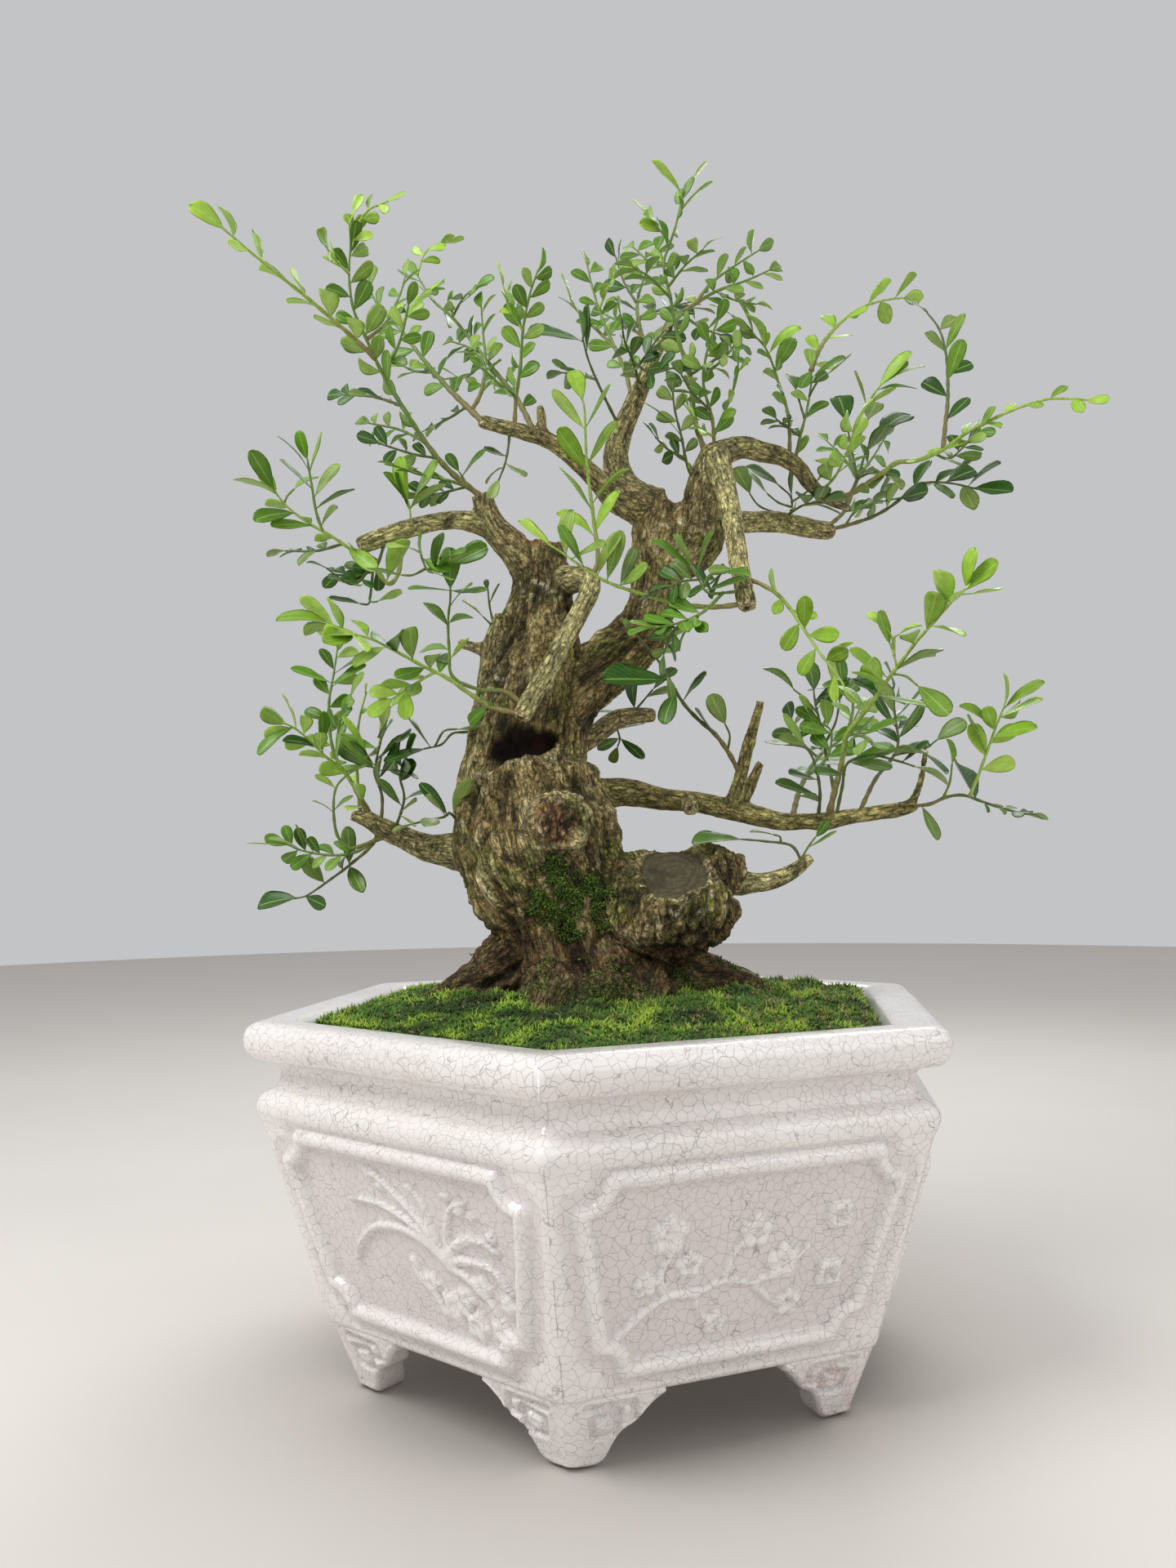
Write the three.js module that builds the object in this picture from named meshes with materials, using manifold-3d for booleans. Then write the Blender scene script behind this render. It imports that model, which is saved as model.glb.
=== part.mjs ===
// Orange jasmine bonsai in a six-sided glazed pot.
// Millimetres, +Z up. The pot's axis is x = y = 0 while the pieces are made; its front corner is towards -Y.
// At the end the whole tree is moved so that the origin is the middle of its footprint, on the ground.

import * as THREE from 'three';
import { mergeVertices } from 'three/addons/utils/BufferGeometryUtils.js';
import Module from 'manifold-3d';

const wasm = await Module();
wasm.setup();

// Driving dimensions of the pot. Radii of a six-sided ring are measured to its corners.
const RIM_RADIUS = 160;
const RIM_TOP = 150;
const RIM_INNER_RADIUS = 135;
const SHOULDER_RADIUS = 154.5;
const SHOULDER_HEIGHT = 116;
const WALL_TOP_RADIUS = 153;
const WALL_TOP = 112;
const NECK_RADIUS = 145;
const BASE_RADIUS = 126;
const BASE_HEIGHT = 28;
const FOOT_RADIUS = 113;
const FOOT_WING = 38;
const FOOT_TOP = 32;
const FOOT_THICKNESS = 15;
const FLOOR_TOP = 37;
const WALL = 13;
const INNER_BASE_RADIUS = BASE_RADIUS - WALL + 2;
const INNER_BEVEL = 4;
const CORNER_ROUNDING = 6;
const CORNER_STEPS = 3;
const CORNER_SWEEP = 0.96 * Math.PI / 3;
const SOFT_CORNER_STEPS = 2;
const DRAIN_RADIUS = 12;
const SIDES = 6;

// Driving dimensions of what fills the pot.
const GAP = 0.3;
const WALL_GAP = 1.2;
const SOIL_TOP = 139;
const SOIL_RISE = 4;
const CROWN_RADIUS = 10;
const MOSS_EDGE_TOP = 147;
const MOSS_CROWN_TOP = 161;
const MESH_SIDE = 40;
const MESH_THICKNESS = 1.2;
const MESH_HOLE = 7;
const MESH_COUNT = 4;

// The tree is drawn as it is seen from one eye point: across to the right and up, in millimetres on an
// upright plane through the pot's axis, and a depth towards the eye. The eye stands turned by EYE_TURN from
// the front corner.
const EYE_DISTANCE = 536;
const EYE_HEIGHT = 211;
const EYE_SIDE = -8.2;
const EYE_TURN = THREE.MathUtils.degToRad(9.19);
const EYE_TILT = THREE.MathUtils.degToRad(3.94);
const EYE_ROLL = THREE.MathUtils.degToRad(-0.9);
const UP = new THREE.Vector3(0, 0, 1);
const RIGHT = new THREE.Vector3(Math.cos(EYE_TURN), Math.sin(EYE_TURN), 0);
const AWAY = new THREE.Vector3(-Math.sin(EYE_TURN), Math.cos(EYE_TURN), 0);
const EYE = new THREE.Vector3()
  .addScaledVector(AWAY, -EYE_DISTANCE)
  .addScaledVector(RIGHT, EYE_SIDE)
  .addScaledVector(UP, EYE_HEIGHT);
const LOOK = new THREE.Vector3()
  .addScaledVector(AWAY, Math.cos(EYE_TILT))
  .addScaledVector(UP, Math.sin(EYE_TILT));
const LOOK_UP = new THREE.Vector3()
  .addScaledVector(UP, Math.cos(EYE_TILT))
  .addScaledVector(AWAY, -Math.sin(EYE_TILT));
const PLANE_DISTANCE = EYE_DISTANCE * Math.cos(EYE_TILT);

// Where a point lands on the picture plane, before the eye's roll is taken out.
function picture(point) {
  const ray = point.clone().sub(EYE);
  const scale = PLANE_DISTANCE / ray.dot(LOOK);
  const x = ray.dot(RIGHT) * scale;
  const y = ray.dot(LOOK_UP) * scale;
  const cos = Math.cos(EYE_ROLL);
  const sin = Math.sin(EYE_ROLL);
  return [cos * x + sin * y, cos * y - sin * x];
}
const AXIS_FOOT = picture(new THREE.Vector3());

// The point that is seen at across, up and lies at the given depth towards the eye.
function sight(across, up, towards) {
  const cos = Math.cos(EYE_ROLL);
  const sin = Math.sin(EYE_ROLL);
  const x = across + AXIS_FOOT[0];
  const y = up + AXIS_FOOT[1];
  const ray = new THREE.Vector3()
    .addScaledVector(LOOK, PLANE_DISTANCE)
    .addScaledVector(RIGHT, cos * x - sin * y)
    .addScaledVector(LOOK_UP, sin * x + cos * y);
  return EYE.clone().addScaledVector(ray, (EYE_DISTANCE - towards) / ray.dot(AWAY));
}

// A repeatable number from 0 to 1 for each whole number.
function chance(seed) {
  const wave = Math.sin(seed * 12.9898 + 4.1414) * 43758.5453;
  return wave - Math.floor(wave);
}

// Solids: every piece starts as a closed three.js geometry and is joined or cut as an exact solid.
function solidFrom(geometry) {
  const bare = geometry.clone();
  bare.deleteAttribute('normal');
  bare.deleteAttribute('uv');
  const merged = mergeVertices(bare, 1e-4);
  return new wasm.Manifold(new wasm.Mesh({
    numProp: 3,
    vertProperties: new Float32Array(merged.attributes.position.array),
    triVerts: new Uint32Array(merged.index.array),
  }));
}

function geometryFrom(solid) {
  const mesh = solid.getMesh();
  const geometry = new THREE.BufferGeometry();
  geometry.setAttribute('position', new THREE.BufferAttribute(mesh.vertProperties, 3));
  geometry.setIndex(new THREE.BufferAttribute(mesh.triVerts, 1));
  return geometry;
}

function join(solids) {
  return solids.reduce((whole, next) => whole.add(next));
}

function largestPiece(solid) {
  return solid.decompose().sort((a, b) => b.volume() - a.volume())[0];
}

// A closed surface through rings of equal point counts. Open ends are closed flat, or a lone last point is
// a tip.
function loft(rings, endless, tip = null) {
  const count = rings[0].length;
  const positions = rings.flat().flatMap((p) => [p.x, p.y, p.z]);
  const index = [];
  const spans = endless ? rings.length : rings.length - 1;
  for (let i = 0; i < spans; i += 1) {
    const low = i * count;
    const high = ((i + 1) % rings.length) * count;
    for (let j = 0; j < count; j += 1) {
      const k = (j + 1) % count;
      index.push(low + j, low + k, high + k, low + j, high + k, high + j);
    }
  }
  const last = (rings.length - 1) * count;
  for (let j = 1; j + 1 < count && !endless; j += 1) {
    index.push(0, j + 1, j);
    if (tip === null) index.push(last, last + j, last + j + 1);
  }
  if (tip !== null) {
    positions.push(tip.x, tip.y, tip.z);
    for (let j = 0; j < count; j += 1) {
      index.push(last + j, last + (j + 1) % count, rings.length * count);
    }
  }
  const geometry = new THREE.BufferGeometry();
  geometry.setAttribute('position', new THREE.Float32BufferAttribute(positions, 3));
  geometry.setIndex(index);
  return geometry;
}

// The pot
function cornerAngle(corner) {
  return THREE.MathUtils.degToRad(-90 + corner * 360 / SIDES);
}

// A six-sided ring whose corners are rounded; a rounding as large as the ring makes it a circle.
function sixSidedRing(radius, height, rounding = CORNER_ROUNDING, steps = CORNER_STEPS) {
  const ring = [];
  const reach = radius - rounding / Math.sin(Math.PI / 3);
  for (let corner = 0; corner < SIDES; corner += 1) {
    const middle = cornerAngle(corner);
    for (let step = 0; step < steps; step += 1) {
      const angle = middle + (step / (steps - 1) - 0.5) * CORNER_SWEEP;
      ring.push(new THREE.Vector3(
        reach * Math.cos(middle) + rounding * Math.cos(angle),
        reach * Math.sin(middle) + rounding * Math.sin(angle),
        height,
      ));
    }
  }
  return ring;
}

// From the underside out to the body, up to the rim, over it and down the inner wall to the floor.
const POT_SECTION = [
  [BASE_RADIUS - 5, BASE_HEIGHT - 2],
  [BASE_RADIUS, BASE_HEIGHT + 2],
  [WALL_TOP_RADIUS, WALL_TOP],
  [SHOULDER_RADIUS, SHOULDER_HEIGHT],
  [SHOULDER_RADIUS - 1.5, 120],
  [SHOULDER_RADIUS - 5.5, 124],
  [NECK_RADIUS, 128],
  [NECK_RADIUS + 2, 133],
  [RIM_RADIUS - 9, 135],
  [RIM_RADIUS - 2, 138],
  [RIM_RADIUS, 143],
  [RIM_RADIUS - 2.5, 148],
  [RIM_RADIUS - 8, RIM_TOP],
  [RIM_INNER_RADIUS + 4, RIM_TOP - 1],
  [RIM_INNER_RADIUS, RIM_TOP - 4],
  [RIM_INNER_RADIUS - 2, 140],
  [SHOULDER_RADIUS - WALL, SHOULDER_HEIGHT],
  [INNER_BASE_RADIUS, FLOOR_TOP + INNER_BEVEL],
  [INNER_BASE_RADIUS - INNER_BEVEL - 2, FLOOR_TOP],
];

function potShell() {
  const drainCorner = DRAIN_RADIUS / Math.cos(Math.PI / SIDES);
  const rings = POT_SECTION.map(([radius, height]) => sixSidedRing(radius, height));
  const drain = (height) => sixSidedRing(drainCorner, height, DRAIN_RADIUS);
  return solidFrom(loft([drain(BASE_HEIGHT - 2), ...rings, drain(FLOOR_TOP)], true));
}

// One wing of a bracket foot: [distance from the corner, height] of its scrolled lower edge.
const WING_OUTLINE = [
  [0, 0], [11, 0], [14, 3], [17, 9], [21, 13], [26, 15], [30, 19],
  [FOOT_WING, 25], [FOOT_WING, FOOT_TOP], [0, FOOT_TOP],
];

// Distance of the foot's corner edge from the axis: it leans in below the body.
function footRadius(height) {
  return FOOT_RADIUS + (BASE_RADIUS - 1 - FOOT_RADIUS) * Math.min(1, height / BASE_HEIGHT);
}

// Carries [along the face from the corner, height, depth into the wall] to the pot's own place.
function onWing(corner, hand, along, height, depth) {
  const middle = cornerAngle(corner);
  const outward = middle + hand * Math.PI / SIDES;
  const along3 = new THREE.Vector3(-Math.sin(outward), Math.cos(outward), 0).multiplyScalar(hand);
  const point = new THREE.Vector3(Math.cos(middle), Math.sin(middle), 0).multiplyScalar(footRadius(height));
  point.addScaledVector(along3, along);
  point.addScaledVector(new THREE.Vector3(Math.cos(outward), Math.sin(outward), 0), -depth);
  point.z = height;
  return point;
}

function footWing(corner, hand) {
  const shape = new THREE.Shape(WING_OUTLINE.map(([along, height]) => new THREE.Vector2(along, height)));
  const geometry = new THREE.ExtrudeGeometry(shape, { depth: FOOT_THICKNESS, bevelEnabled: false, steps: 1 });
  const place = geometry.attributes.position;
  for (let i = 0; i < place.count; i += 1) {
    const point = onWing(corner, hand, place.getX(i), place.getY(i), place.getZ(i));
    place.setXYZ(i, point.x, point.y, point.z);
  }
  return hand > 0 ? mirrored(geometry) : geometry;
}

// Turns every face the other way, for a geometry that was mapped to its mirror image.
function mirrored(geometry) {
  const flat = geometry.index ? geometry.toNonIndexed() : geometry;
  const place = flat.attributes.position.array;
  for (let i = 0; i < place.length; i += 9) {
    for (let k = 0; k < 3; k += 1) {
      [place[i + 3 + k], place[i + 6 + k]] = [place[i + 6 + k], place[i + 3 + k]];
    }
  }
  return flat;
}

// The raised moulding round each side panel, with its corners cut in as quarter rounds.
const FRAME_BOTTOM = 34.5;
const FRAME_TOP = 109.5;
const FRAME_MARGIN = 10.5;
const FRAME_WIDTH = 6;
const FRAME_NOTCH = 10;
const FRAME_RELIEF = 2;
const FRAME_ROOT = 1;

function bodyRadius(height) {
  const wallBottom = BASE_HEIGHT + 2;
  const share = (height - wallBottom) / (WALL_TOP - wallBottom);
  return BASE_RADIUS + (WALL_TOP_RADIUS - BASE_RADIUS) * share;
}

// A closed outline, counter-clockwise, of a panel whose four corners are cut in by the notch.
function notchedOutline(inset) {
  const low = FRAME_BOTTOM + inset;
  const high = FRAME_TOP - inset;
  const notch = FRAME_NOTCH;
  const halfLow = bodyRadius(low) / 2 - FRAME_MARGIN - inset;
  const halfHigh = bodyRadius(high) / 2 - FRAME_MARGIN - inset;
  const corners = [[halfLow, low, 90], [halfHigh, high, 180], [-halfHigh, high, 270], [-halfLow, low, 0]];
  return corners.flatMap(([x, y, start]) => [1, 0.5, 0].map((step) => {
    const angle = THREE.MathUtils.degToRad(start + 90 * step);
    return new THREE.Vector2(x + notch * Math.cos(angle), y + notch * Math.sin(angle));
  }));
}

function panelFrame(side) {
  const shape = new THREE.Shape(notchedOutline(0));
  shape.holes.push(new THREE.Path(notchedOutline(FRAME_WIDTH).reverse()));
  const depth = FRAME_RELIEF + FRAME_ROOT;
  const geometry = new THREE.ExtrudeGeometry(shape, { depth, bevelEnabled: false, steps: 1 });
  const outward = cornerAngle(side) + Math.PI / SIDES;
  const place = geometry.attributes.position;
  for (let i = 0; i < place.count; i += 1) {
    const height = place.getY(i);
    const reach = bodyRadius(height) * Math.cos(Math.PI / SIDES) - FRAME_ROOT + place.getZ(i);
    const across = place.getX(i);
    place.setXYZ(
      i,
      reach * Math.cos(outward) - across * Math.sin(outward),
      reach * Math.sin(outward) + across * Math.cos(outward),
      height,
    );
  }
  return geometry;
}

function potSolid() {
  const pieces = [potShell()];
  for (let corner = 0; corner < SIDES; corner += 1) {
    pieces.push(solidFrom(footWing(corner, 1)));
    pieces.push(solidFrom(footWing(corner, -1)));
    pieces.push(solidFrom(panelFrame(corner)));
  }
  return join(pieces);
}

// The square plastic mesh over the drain hole
function drainMesh() {
  const plate = new THREE.BoxGeometry(MESH_SIDE, MESH_SIDE, MESH_THICKNESS);
  const pitch = MESH_SIDE / MESH_COUNT;
  const holes = [];
  for (let row = 0; row < MESH_COUNT; row += 1) {
    for (let column = 0; column < MESH_COUNT; column += 1) {
      const hole = new THREE.BoxGeometry(MESH_HOLE, MESH_HOLE, 3 * MESH_THICKNESS);
      const middle = (MESH_COUNT - 1) / 2;
      holes.push(solidFrom(hole.translate((column - middle) * pitch, (row - middle) * pitch, 0)));
    }
  }
  const mesh = solidFrom(plate).subtract(join(holes));
  return mesh.translate([0, 0, FLOOR_TOP + GAP + MESH_THICKNESS / 2]);
}

// Limbs of the tree. Each row of points is [across, up, towards, radius].
const LIMBS = {
  main_trunk: [
    [-6, 128, 8, 42], [-8, 150, 8, 46], [-12, 168, 8, 36], [-17, 182, 8, 31], [-22, 198, 6, 33],
    [-31, 215, 5, 37], [-36, 232, 4, 38], [-39, 250, 3, 33], [-41, 264, 2, 27], [-38, 285, 0, 26],
    [-36, 305, 0, 22], [-34, 325, 0, 16], [-33, 345, 0, 13.5], [-34, 363, 1, 10],
  ],
  front_burl: [[-27, 238, 12, 20], [-27, 236, 36, 14], [-27, 236, 46, 8]],
  rear_left_ridge: [[-52, 275, -8, 12], [-54, 295, -10, 9], [-54, 315, -12, 7], [-51, 331, -12, 4]],
  left_root: [
    [-22, 186, 6, 20], [-46, 171, 6, 17], [-60, 164, 6, 12], [-70, 160, 6, 8.5], [-80, 158, 5, 5.5],
    [-90, 155, 4, 2.5],
  ],
  right_root: [[8, 165, 6, 26], [32, 163, 6, 15], [46, 163, 4, 12], [58, 164, 2, 6.5], [67, 161, 0, 3]],
  front_left_root: [[-20, 165, 18, 22], [-30, 153, 42, 12], [-35, 143, 60, 5]],
  front_right_root: [[8, 165, 18, 20], [14, 152, 42, 11], [20, 142, 58, 5]],
  rear_left_root: [[-22, 165, -12, 22], [-34, 158, -42, 12], [-42, 153, -62, 5]],
  rear_right_root: [[12, 165, -12, 20], [24, 158, -40, 11], [32, 153, -58, 5]],
  knob: [[2, 200, 10, 22], [18, 199, 22, 25], [32, 200, 28, 25], [44, 200, 26, 18], [50, 202, 24, 10]],
  knob_crown: [[34, 208, 16, 14], [44, 213, 14, 15], [51, 214, 12, 11], [56, 213, 10, 7]],
  knob_twig: [
    [54, 208, 12, 5.5], [62, 209, 14, 5], [71, 210, 16, 4.5], [80, 214, 18, 3.8], [89, 221, 20, 2.6],
  ],
  left_branch: [
    [-52, 222, 0, 13], [-66, 223, -4, 9.5], [-75, 224, -8, 8], [-85, 225, -12, 6.5], [-95, 229, -14, 5.5],
    [-104, 233, -14, 5], [-112, 238, -14, 4], [-120, 240, -14, 2.4],
  ],
  low_right_branch: [
    [-24, 252, -6, 9], [-8, 250, -14, 7.5], [8, 250, -18, 6.5], [22, 247, -16, 5.4], [36, 246, -12, 5],
    [50, 243, -8, 5], [62, 240, -4, 5], [75, 237, 2, 4.4], [86, 237, 8, 4], [95, 237, 12, 4.6],
    [106, 239, 16, 3.8], [120, 241, 20, 3.6], [131, 243, 24, 3.4], [137, 245, 26, 3],
  ],
  low_right_knot: [[34, 246, -12, 4.4], [34, 243, -3, 4]],
  low_right_stub: [
    [53, 244, -6, 4.4], [56, 254, -3, 3.4], [60, 270, 0, 3], [64, 284, 2, 2.6], [66, 292, 3, 2.2],
  ],
  low_right_dead_stub: [[56, 243, -6, 3.6], [61, 253, -10, 3.2], [66, 264, -14, 2.2]],
  low_right_end_stub: [[134, 244, 25, 2.4], [138, 253, 22, 2], [140, 262, 20, 1.7], [141, 273, 18, 1.2]],
  small_right_limb: [
    [-20, 272, -12, 7], [-10, 276, -20, 5], [0, 283, -26, 4.6], [9, 285, -30, 4], [18, 285, -34, 3.4],
  ],
  small_left_limb: [[-48, 311, -8, 4], [-60, 315, -14, 3.2], [-71, 318, -20, 2.4]],
  crossing_stub: [
    [-30, 345, 2, 8], [-14, 347, 12, 6], [-12, 341, 18, 5], [-20, 325, 26, 4.8], [-30, 307, 33, 4.8],
    [-38, 293, 38, 4.8], [-43, 284, 41, 4.6],
  ],
  left_limb: [[-35, 348, 0, 11], [-46, 361, 4, 8], [-56, 372, 8, 6.4], [-61, 386, 11, 4.8]],
  pale_left_branch: [
    [-58, 371, 8, 5.4], [-70, 374, 13, 4.6], [-82, 373, 18, 4.2], [-94, 370, 22, 4.4],
    [-106, 366, 26, 4.6], [-117, 362, 29, 4],
  ],
  right_limb: [
    [-26, 288, 0, 19], [-13, 301, -2, 15], [0, 311, -4, 13], [11, 321, -6, 12.5], [17, 335, -8, 11.5],
    [20, 350, -8, 12], [22, 366, -8, 13.5], [24, 380, -8, 13],
  ],
  right_crotch: [
    [30, 352, -8, 9], [38, 366, -8, 12], [40, 382, -5, 10], [43, 396, 0, 8.4], [46, 407, 4, 6.4],
  ],
  dark_left_limb: [[20, 378, -8, 11], [8, 382, -6, 9], [-3, 386, -2, 7]],
  left_crown_limb: [
    [-2, 386, -2, 6.4], [-9, 393, 4, 5], [-20, 403, 10, 4.4], [-30, 410, 16, 4], [-42, 414, 22, 3.8],
    [-62, 419, 30, 3.2],
  ],
  left_crown_stub: [[-33, 411, 18, 3], [-34, 426, 20, 2]],
  crown_limb: [
    [12, 382, -10, 9], [4, 390, -14, 7], [0, 401, -18, 6.2], [2, 412, -20, 5.6], [7, 424, -22, 4.8],
    [12, 435, -24, 4.2], [17, 447, -26, 3.4], [22, 457, -28, 2.8], [27, 469, -30, 2],
  ],
  hanging_stub: [
    [46, 404, 4, 6.4], [51, 385, 18, 5.2], [55, 362, 32, 4.8], [58, 345, 41, 4.6], [60, 334, 46, 4.8],
  ],
  right_branch: [
    [45, 403, 2, 7], [57, 407, -4, 5.4], [66, 405, -8, 4.8], [75, 403, -12, 4.4], [83, 398, -15, 4],
    [89, 390, -18, 3.6], [97, 383, -21, 2.8], [107, 379, -24, 1.8],
  ],
  rear_right_branch: [
    [38, 370, -12, 8], [57, 373, -28, 5.4], [75, 373, -42, 5], [90, 370, -52, 4.6], [98, 369, -58, 4.2],
  ],
};

const LIMB_SIDES = 5;
const TRUNK_SIDES = 8;
const TRUNK_RADIUS = 15;
const STEM_SIDES = 3;

// A tube of changing radius along points. Its ends are flat and square to its run, or its last one is a tip.
function tube(points, radii, sides, pointed = false) {
  const rings = [];
  let side = null;
  const whole = pointed ? points.length - 1 : points.length;
  for (let i = 0; i < whole; i += 1) {
    const before = points[Math.max(0, i - 1)];
    const after = points[Math.min(points.length - 1, i + 1)];
    const run = after.clone().sub(before).normalize();
    if (side === null) {
      side = new THREE.Vector3(1, 0, 0).cross(run);
      if (side.length() < 0.3) side = new THREE.Vector3(0, 1, 0).cross(run);
    }
    side.addScaledVector(run, -side.dot(run)).normalize();
    const other = run.clone().cross(side);
    rings.push(Array.from({ length: sides }, (_, j) => {
      const angle = 2 * Math.PI * j / sides;
      return points[i].clone()
        .addScaledVector(side, radii[i] * Math.cos(angle))
        .addScaledVector(other, radii[i] * Math.sin(angle));
    }));
  }
  return loft(rings, false, pointed ? points.at(-1) : null);
}

// Sizes drawn on the picture plane shrink for what stands nearer to the eye than the pot's axis.
function nearness(towards) {
  return (EYE_DISTANCE - towards) / EYE_DISTANCE;
}

function limbPoints(limb) {
  return limb.map(([across, up, towards]) => sight(across, up, towards));
}

// Stump cut and hollow: [across, up, towards] of the middle of each.
const STUMP_CUT = [26, 213, 30];
const STUMP_SLAB = [44, 40, 30];
const STUMP_CUT_LEAN = THREE.MathUtils.degToRad(38);
const STUMP_CUT_TURN = THREE.MathUtils.degToRad(-8);
const HOLLOW = [-38, 274, 30];
const HOLLOW_RADII = [11, 12, 9];

// A slab that takes away the top of the big stump, leaving a flat face that leans towards the eye.
function stumpCutter() {
  const slab = new THREE.BoxGeometry(...STUMP_SLAB);
  slab.translate(0, 0, STUMP_SLAB[2] / 2);
  slab.rotateX(STUMP_CUT_LEAN);
  slab.rotateZ(EYE_TURN + STUMP_CUT_TURN);
  const place = sight(...STUMP_CUT);
  return solidFrom(slab.translate(place.x, place.y, place.z));
}

function hollowCutter() {
  const ball = new THREE.SphereGeometry(1, 10, 6);
  ball.scale(...HOLLOW_RADII);
  const place = sight(...HOLLOW);
  return solidFrom(ball.translate(place.x, place.y, place.z));
}

// The trunk with all its limbs, roots and stubs; swollen is how far its skin is moved out.
function treeSolid(swollen) {
  const tubes = Object.entries(LIMBS).map(([name, limb]) => {
    const radii = limb.map((row) => row[3] * nearness(row[2]) + swollen);
    const sides = Math.max(...radii) > TRUNK_RADIUS ? TRUNK_SIDES : LIMB_SIDES;
    return { name, solid: solidFrom(tube(limbPoints(limb), radii, sides)) };
  });
  const knob = tubes.find(({ name }) => name === 'knob').solid;
  const rest = tubes.filter(({ name }) => name !== 'knob').map(({ solid }) => solid);
  const cutKnob = knob.subtract(stumpCutter().translate([0, 0, swollen]));
  const whole = join([cutKnob, ...rest]);
  return swollen > 0 ? whole : whole.subtract(hollowCutter());
}

// Soil and moss, whose corners are a little softer than the wall that holds them
function softRing(radius, height) {
  return sixSidedRing(radius, height, CORNER_ROUNDING, SOFT_CORNER_STEPS);
}

function layered(section, middle) {
  const rings = section.map(([radius, height]) => softRing(radius, height));
  return solidFrom(loft([...rings, softRing(CROWN_RADIUS, middle)], false));
}

function soilSolid(root) {
  const block = layered([
    [INNER_BASE_RADIUS - INNER_BEVEL - 2 - WALL_GAP, FLOOR_TOP + GAP],
    [INNER_BASE_RADIUS - WALL_GAP, FLOOR_TOP + INNER_BEVEL],
    [SHOULDER_RADIUS - WALL - WALL_GAP, SHOULDER_HEIGHT],
    [RIM_INNER_RADIUS - 2 - WALL_GAP, SOIL_TOP],
  ], SOIL_TOP + SOIL_RISE);
  const lidSide = MESH_SIDE + 2;
  const lid = new THREE.BoxGeometry(lidSide, lidSide, 2 * (MESH_THICKNESS + 2 * GAP));
  return block.subtract(root).subtract(solidFrom(lid.translate(0, 0, FLOOR_TOP)));
}

// Moss lies on the soil as a low mound that is highest round the roots, with an uneven top: its top rings as
// [radius, height], from the rim inwards.
const MOSS_SHOULDER = MOSS_EDGE_TOP + 2;
const MOSS_RISE = MOSS_CROWN_TOP - MOSS_SHOULDER;
const MOSS_TOP = [
  [RIM_INNER_RADIUS - WALL_GAP, MOSS_EDGE_TOP - 1],
  [RIM_INNER_RADIUS - 7, MOSS_SHOULDER],
  [0.72 * RIM_INNER_RADIUS, MOSS_SHOULDER + 0.45 * MOSS_RISE],
  [0.48 * RIM_INNER_RADIUS, MOSS_SHOULDER + 0.85 * MOSS_RISE],
  [0.2 * RIM_INNER_RADIUS, MOSS_CROWN_TOP],
];
const MOSS_UNEVENNESS = 3;
const MOSS_SLOPE = 0.01;

function mossMound() {
  const rings = MOSS_TOP.map(([radius, height], row) => softRing(radius, height)
    .map((point, place) => {
      const lift = row === 0 ? 0 : MOSS_UNEVENNESS * (chance(row * 31 + place) - 0.5);
      return point.setZ(point.z + lift + row * point.x * MOSS_SLOPE);
    }));
  const under = [
    softRing(CROWN_RADIUS, SOIL_TOP + SOIL_RISE + GAP),
    softRing(RIM_INNER_RADIUS - 2 - WALL_GAP, SOIL_TOP + GAP),
  ];
  return solidFrom(loft([...under, ...rings], false));
}

// Tufts of moss that grow on the front of the trunk, as a low pad on its bark.
const TRUNK_MOSS = [[-31, 207, 34, 12], [-24, 200, 36, 12], [-14, 198, 34, 12], [-18, 190, 34, 9]];

function trunkMossSolid() {
  return join(TRUNK_MOSS.map(([across, up, towards, radius]) => {
    const ball = new THREE.SphereGeometry(radius, 7, 5);
    const place = sight(across, up, towards);
    return solidFrom(ball.translate(place.x, place.y, place.z));
  }));
}

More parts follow.
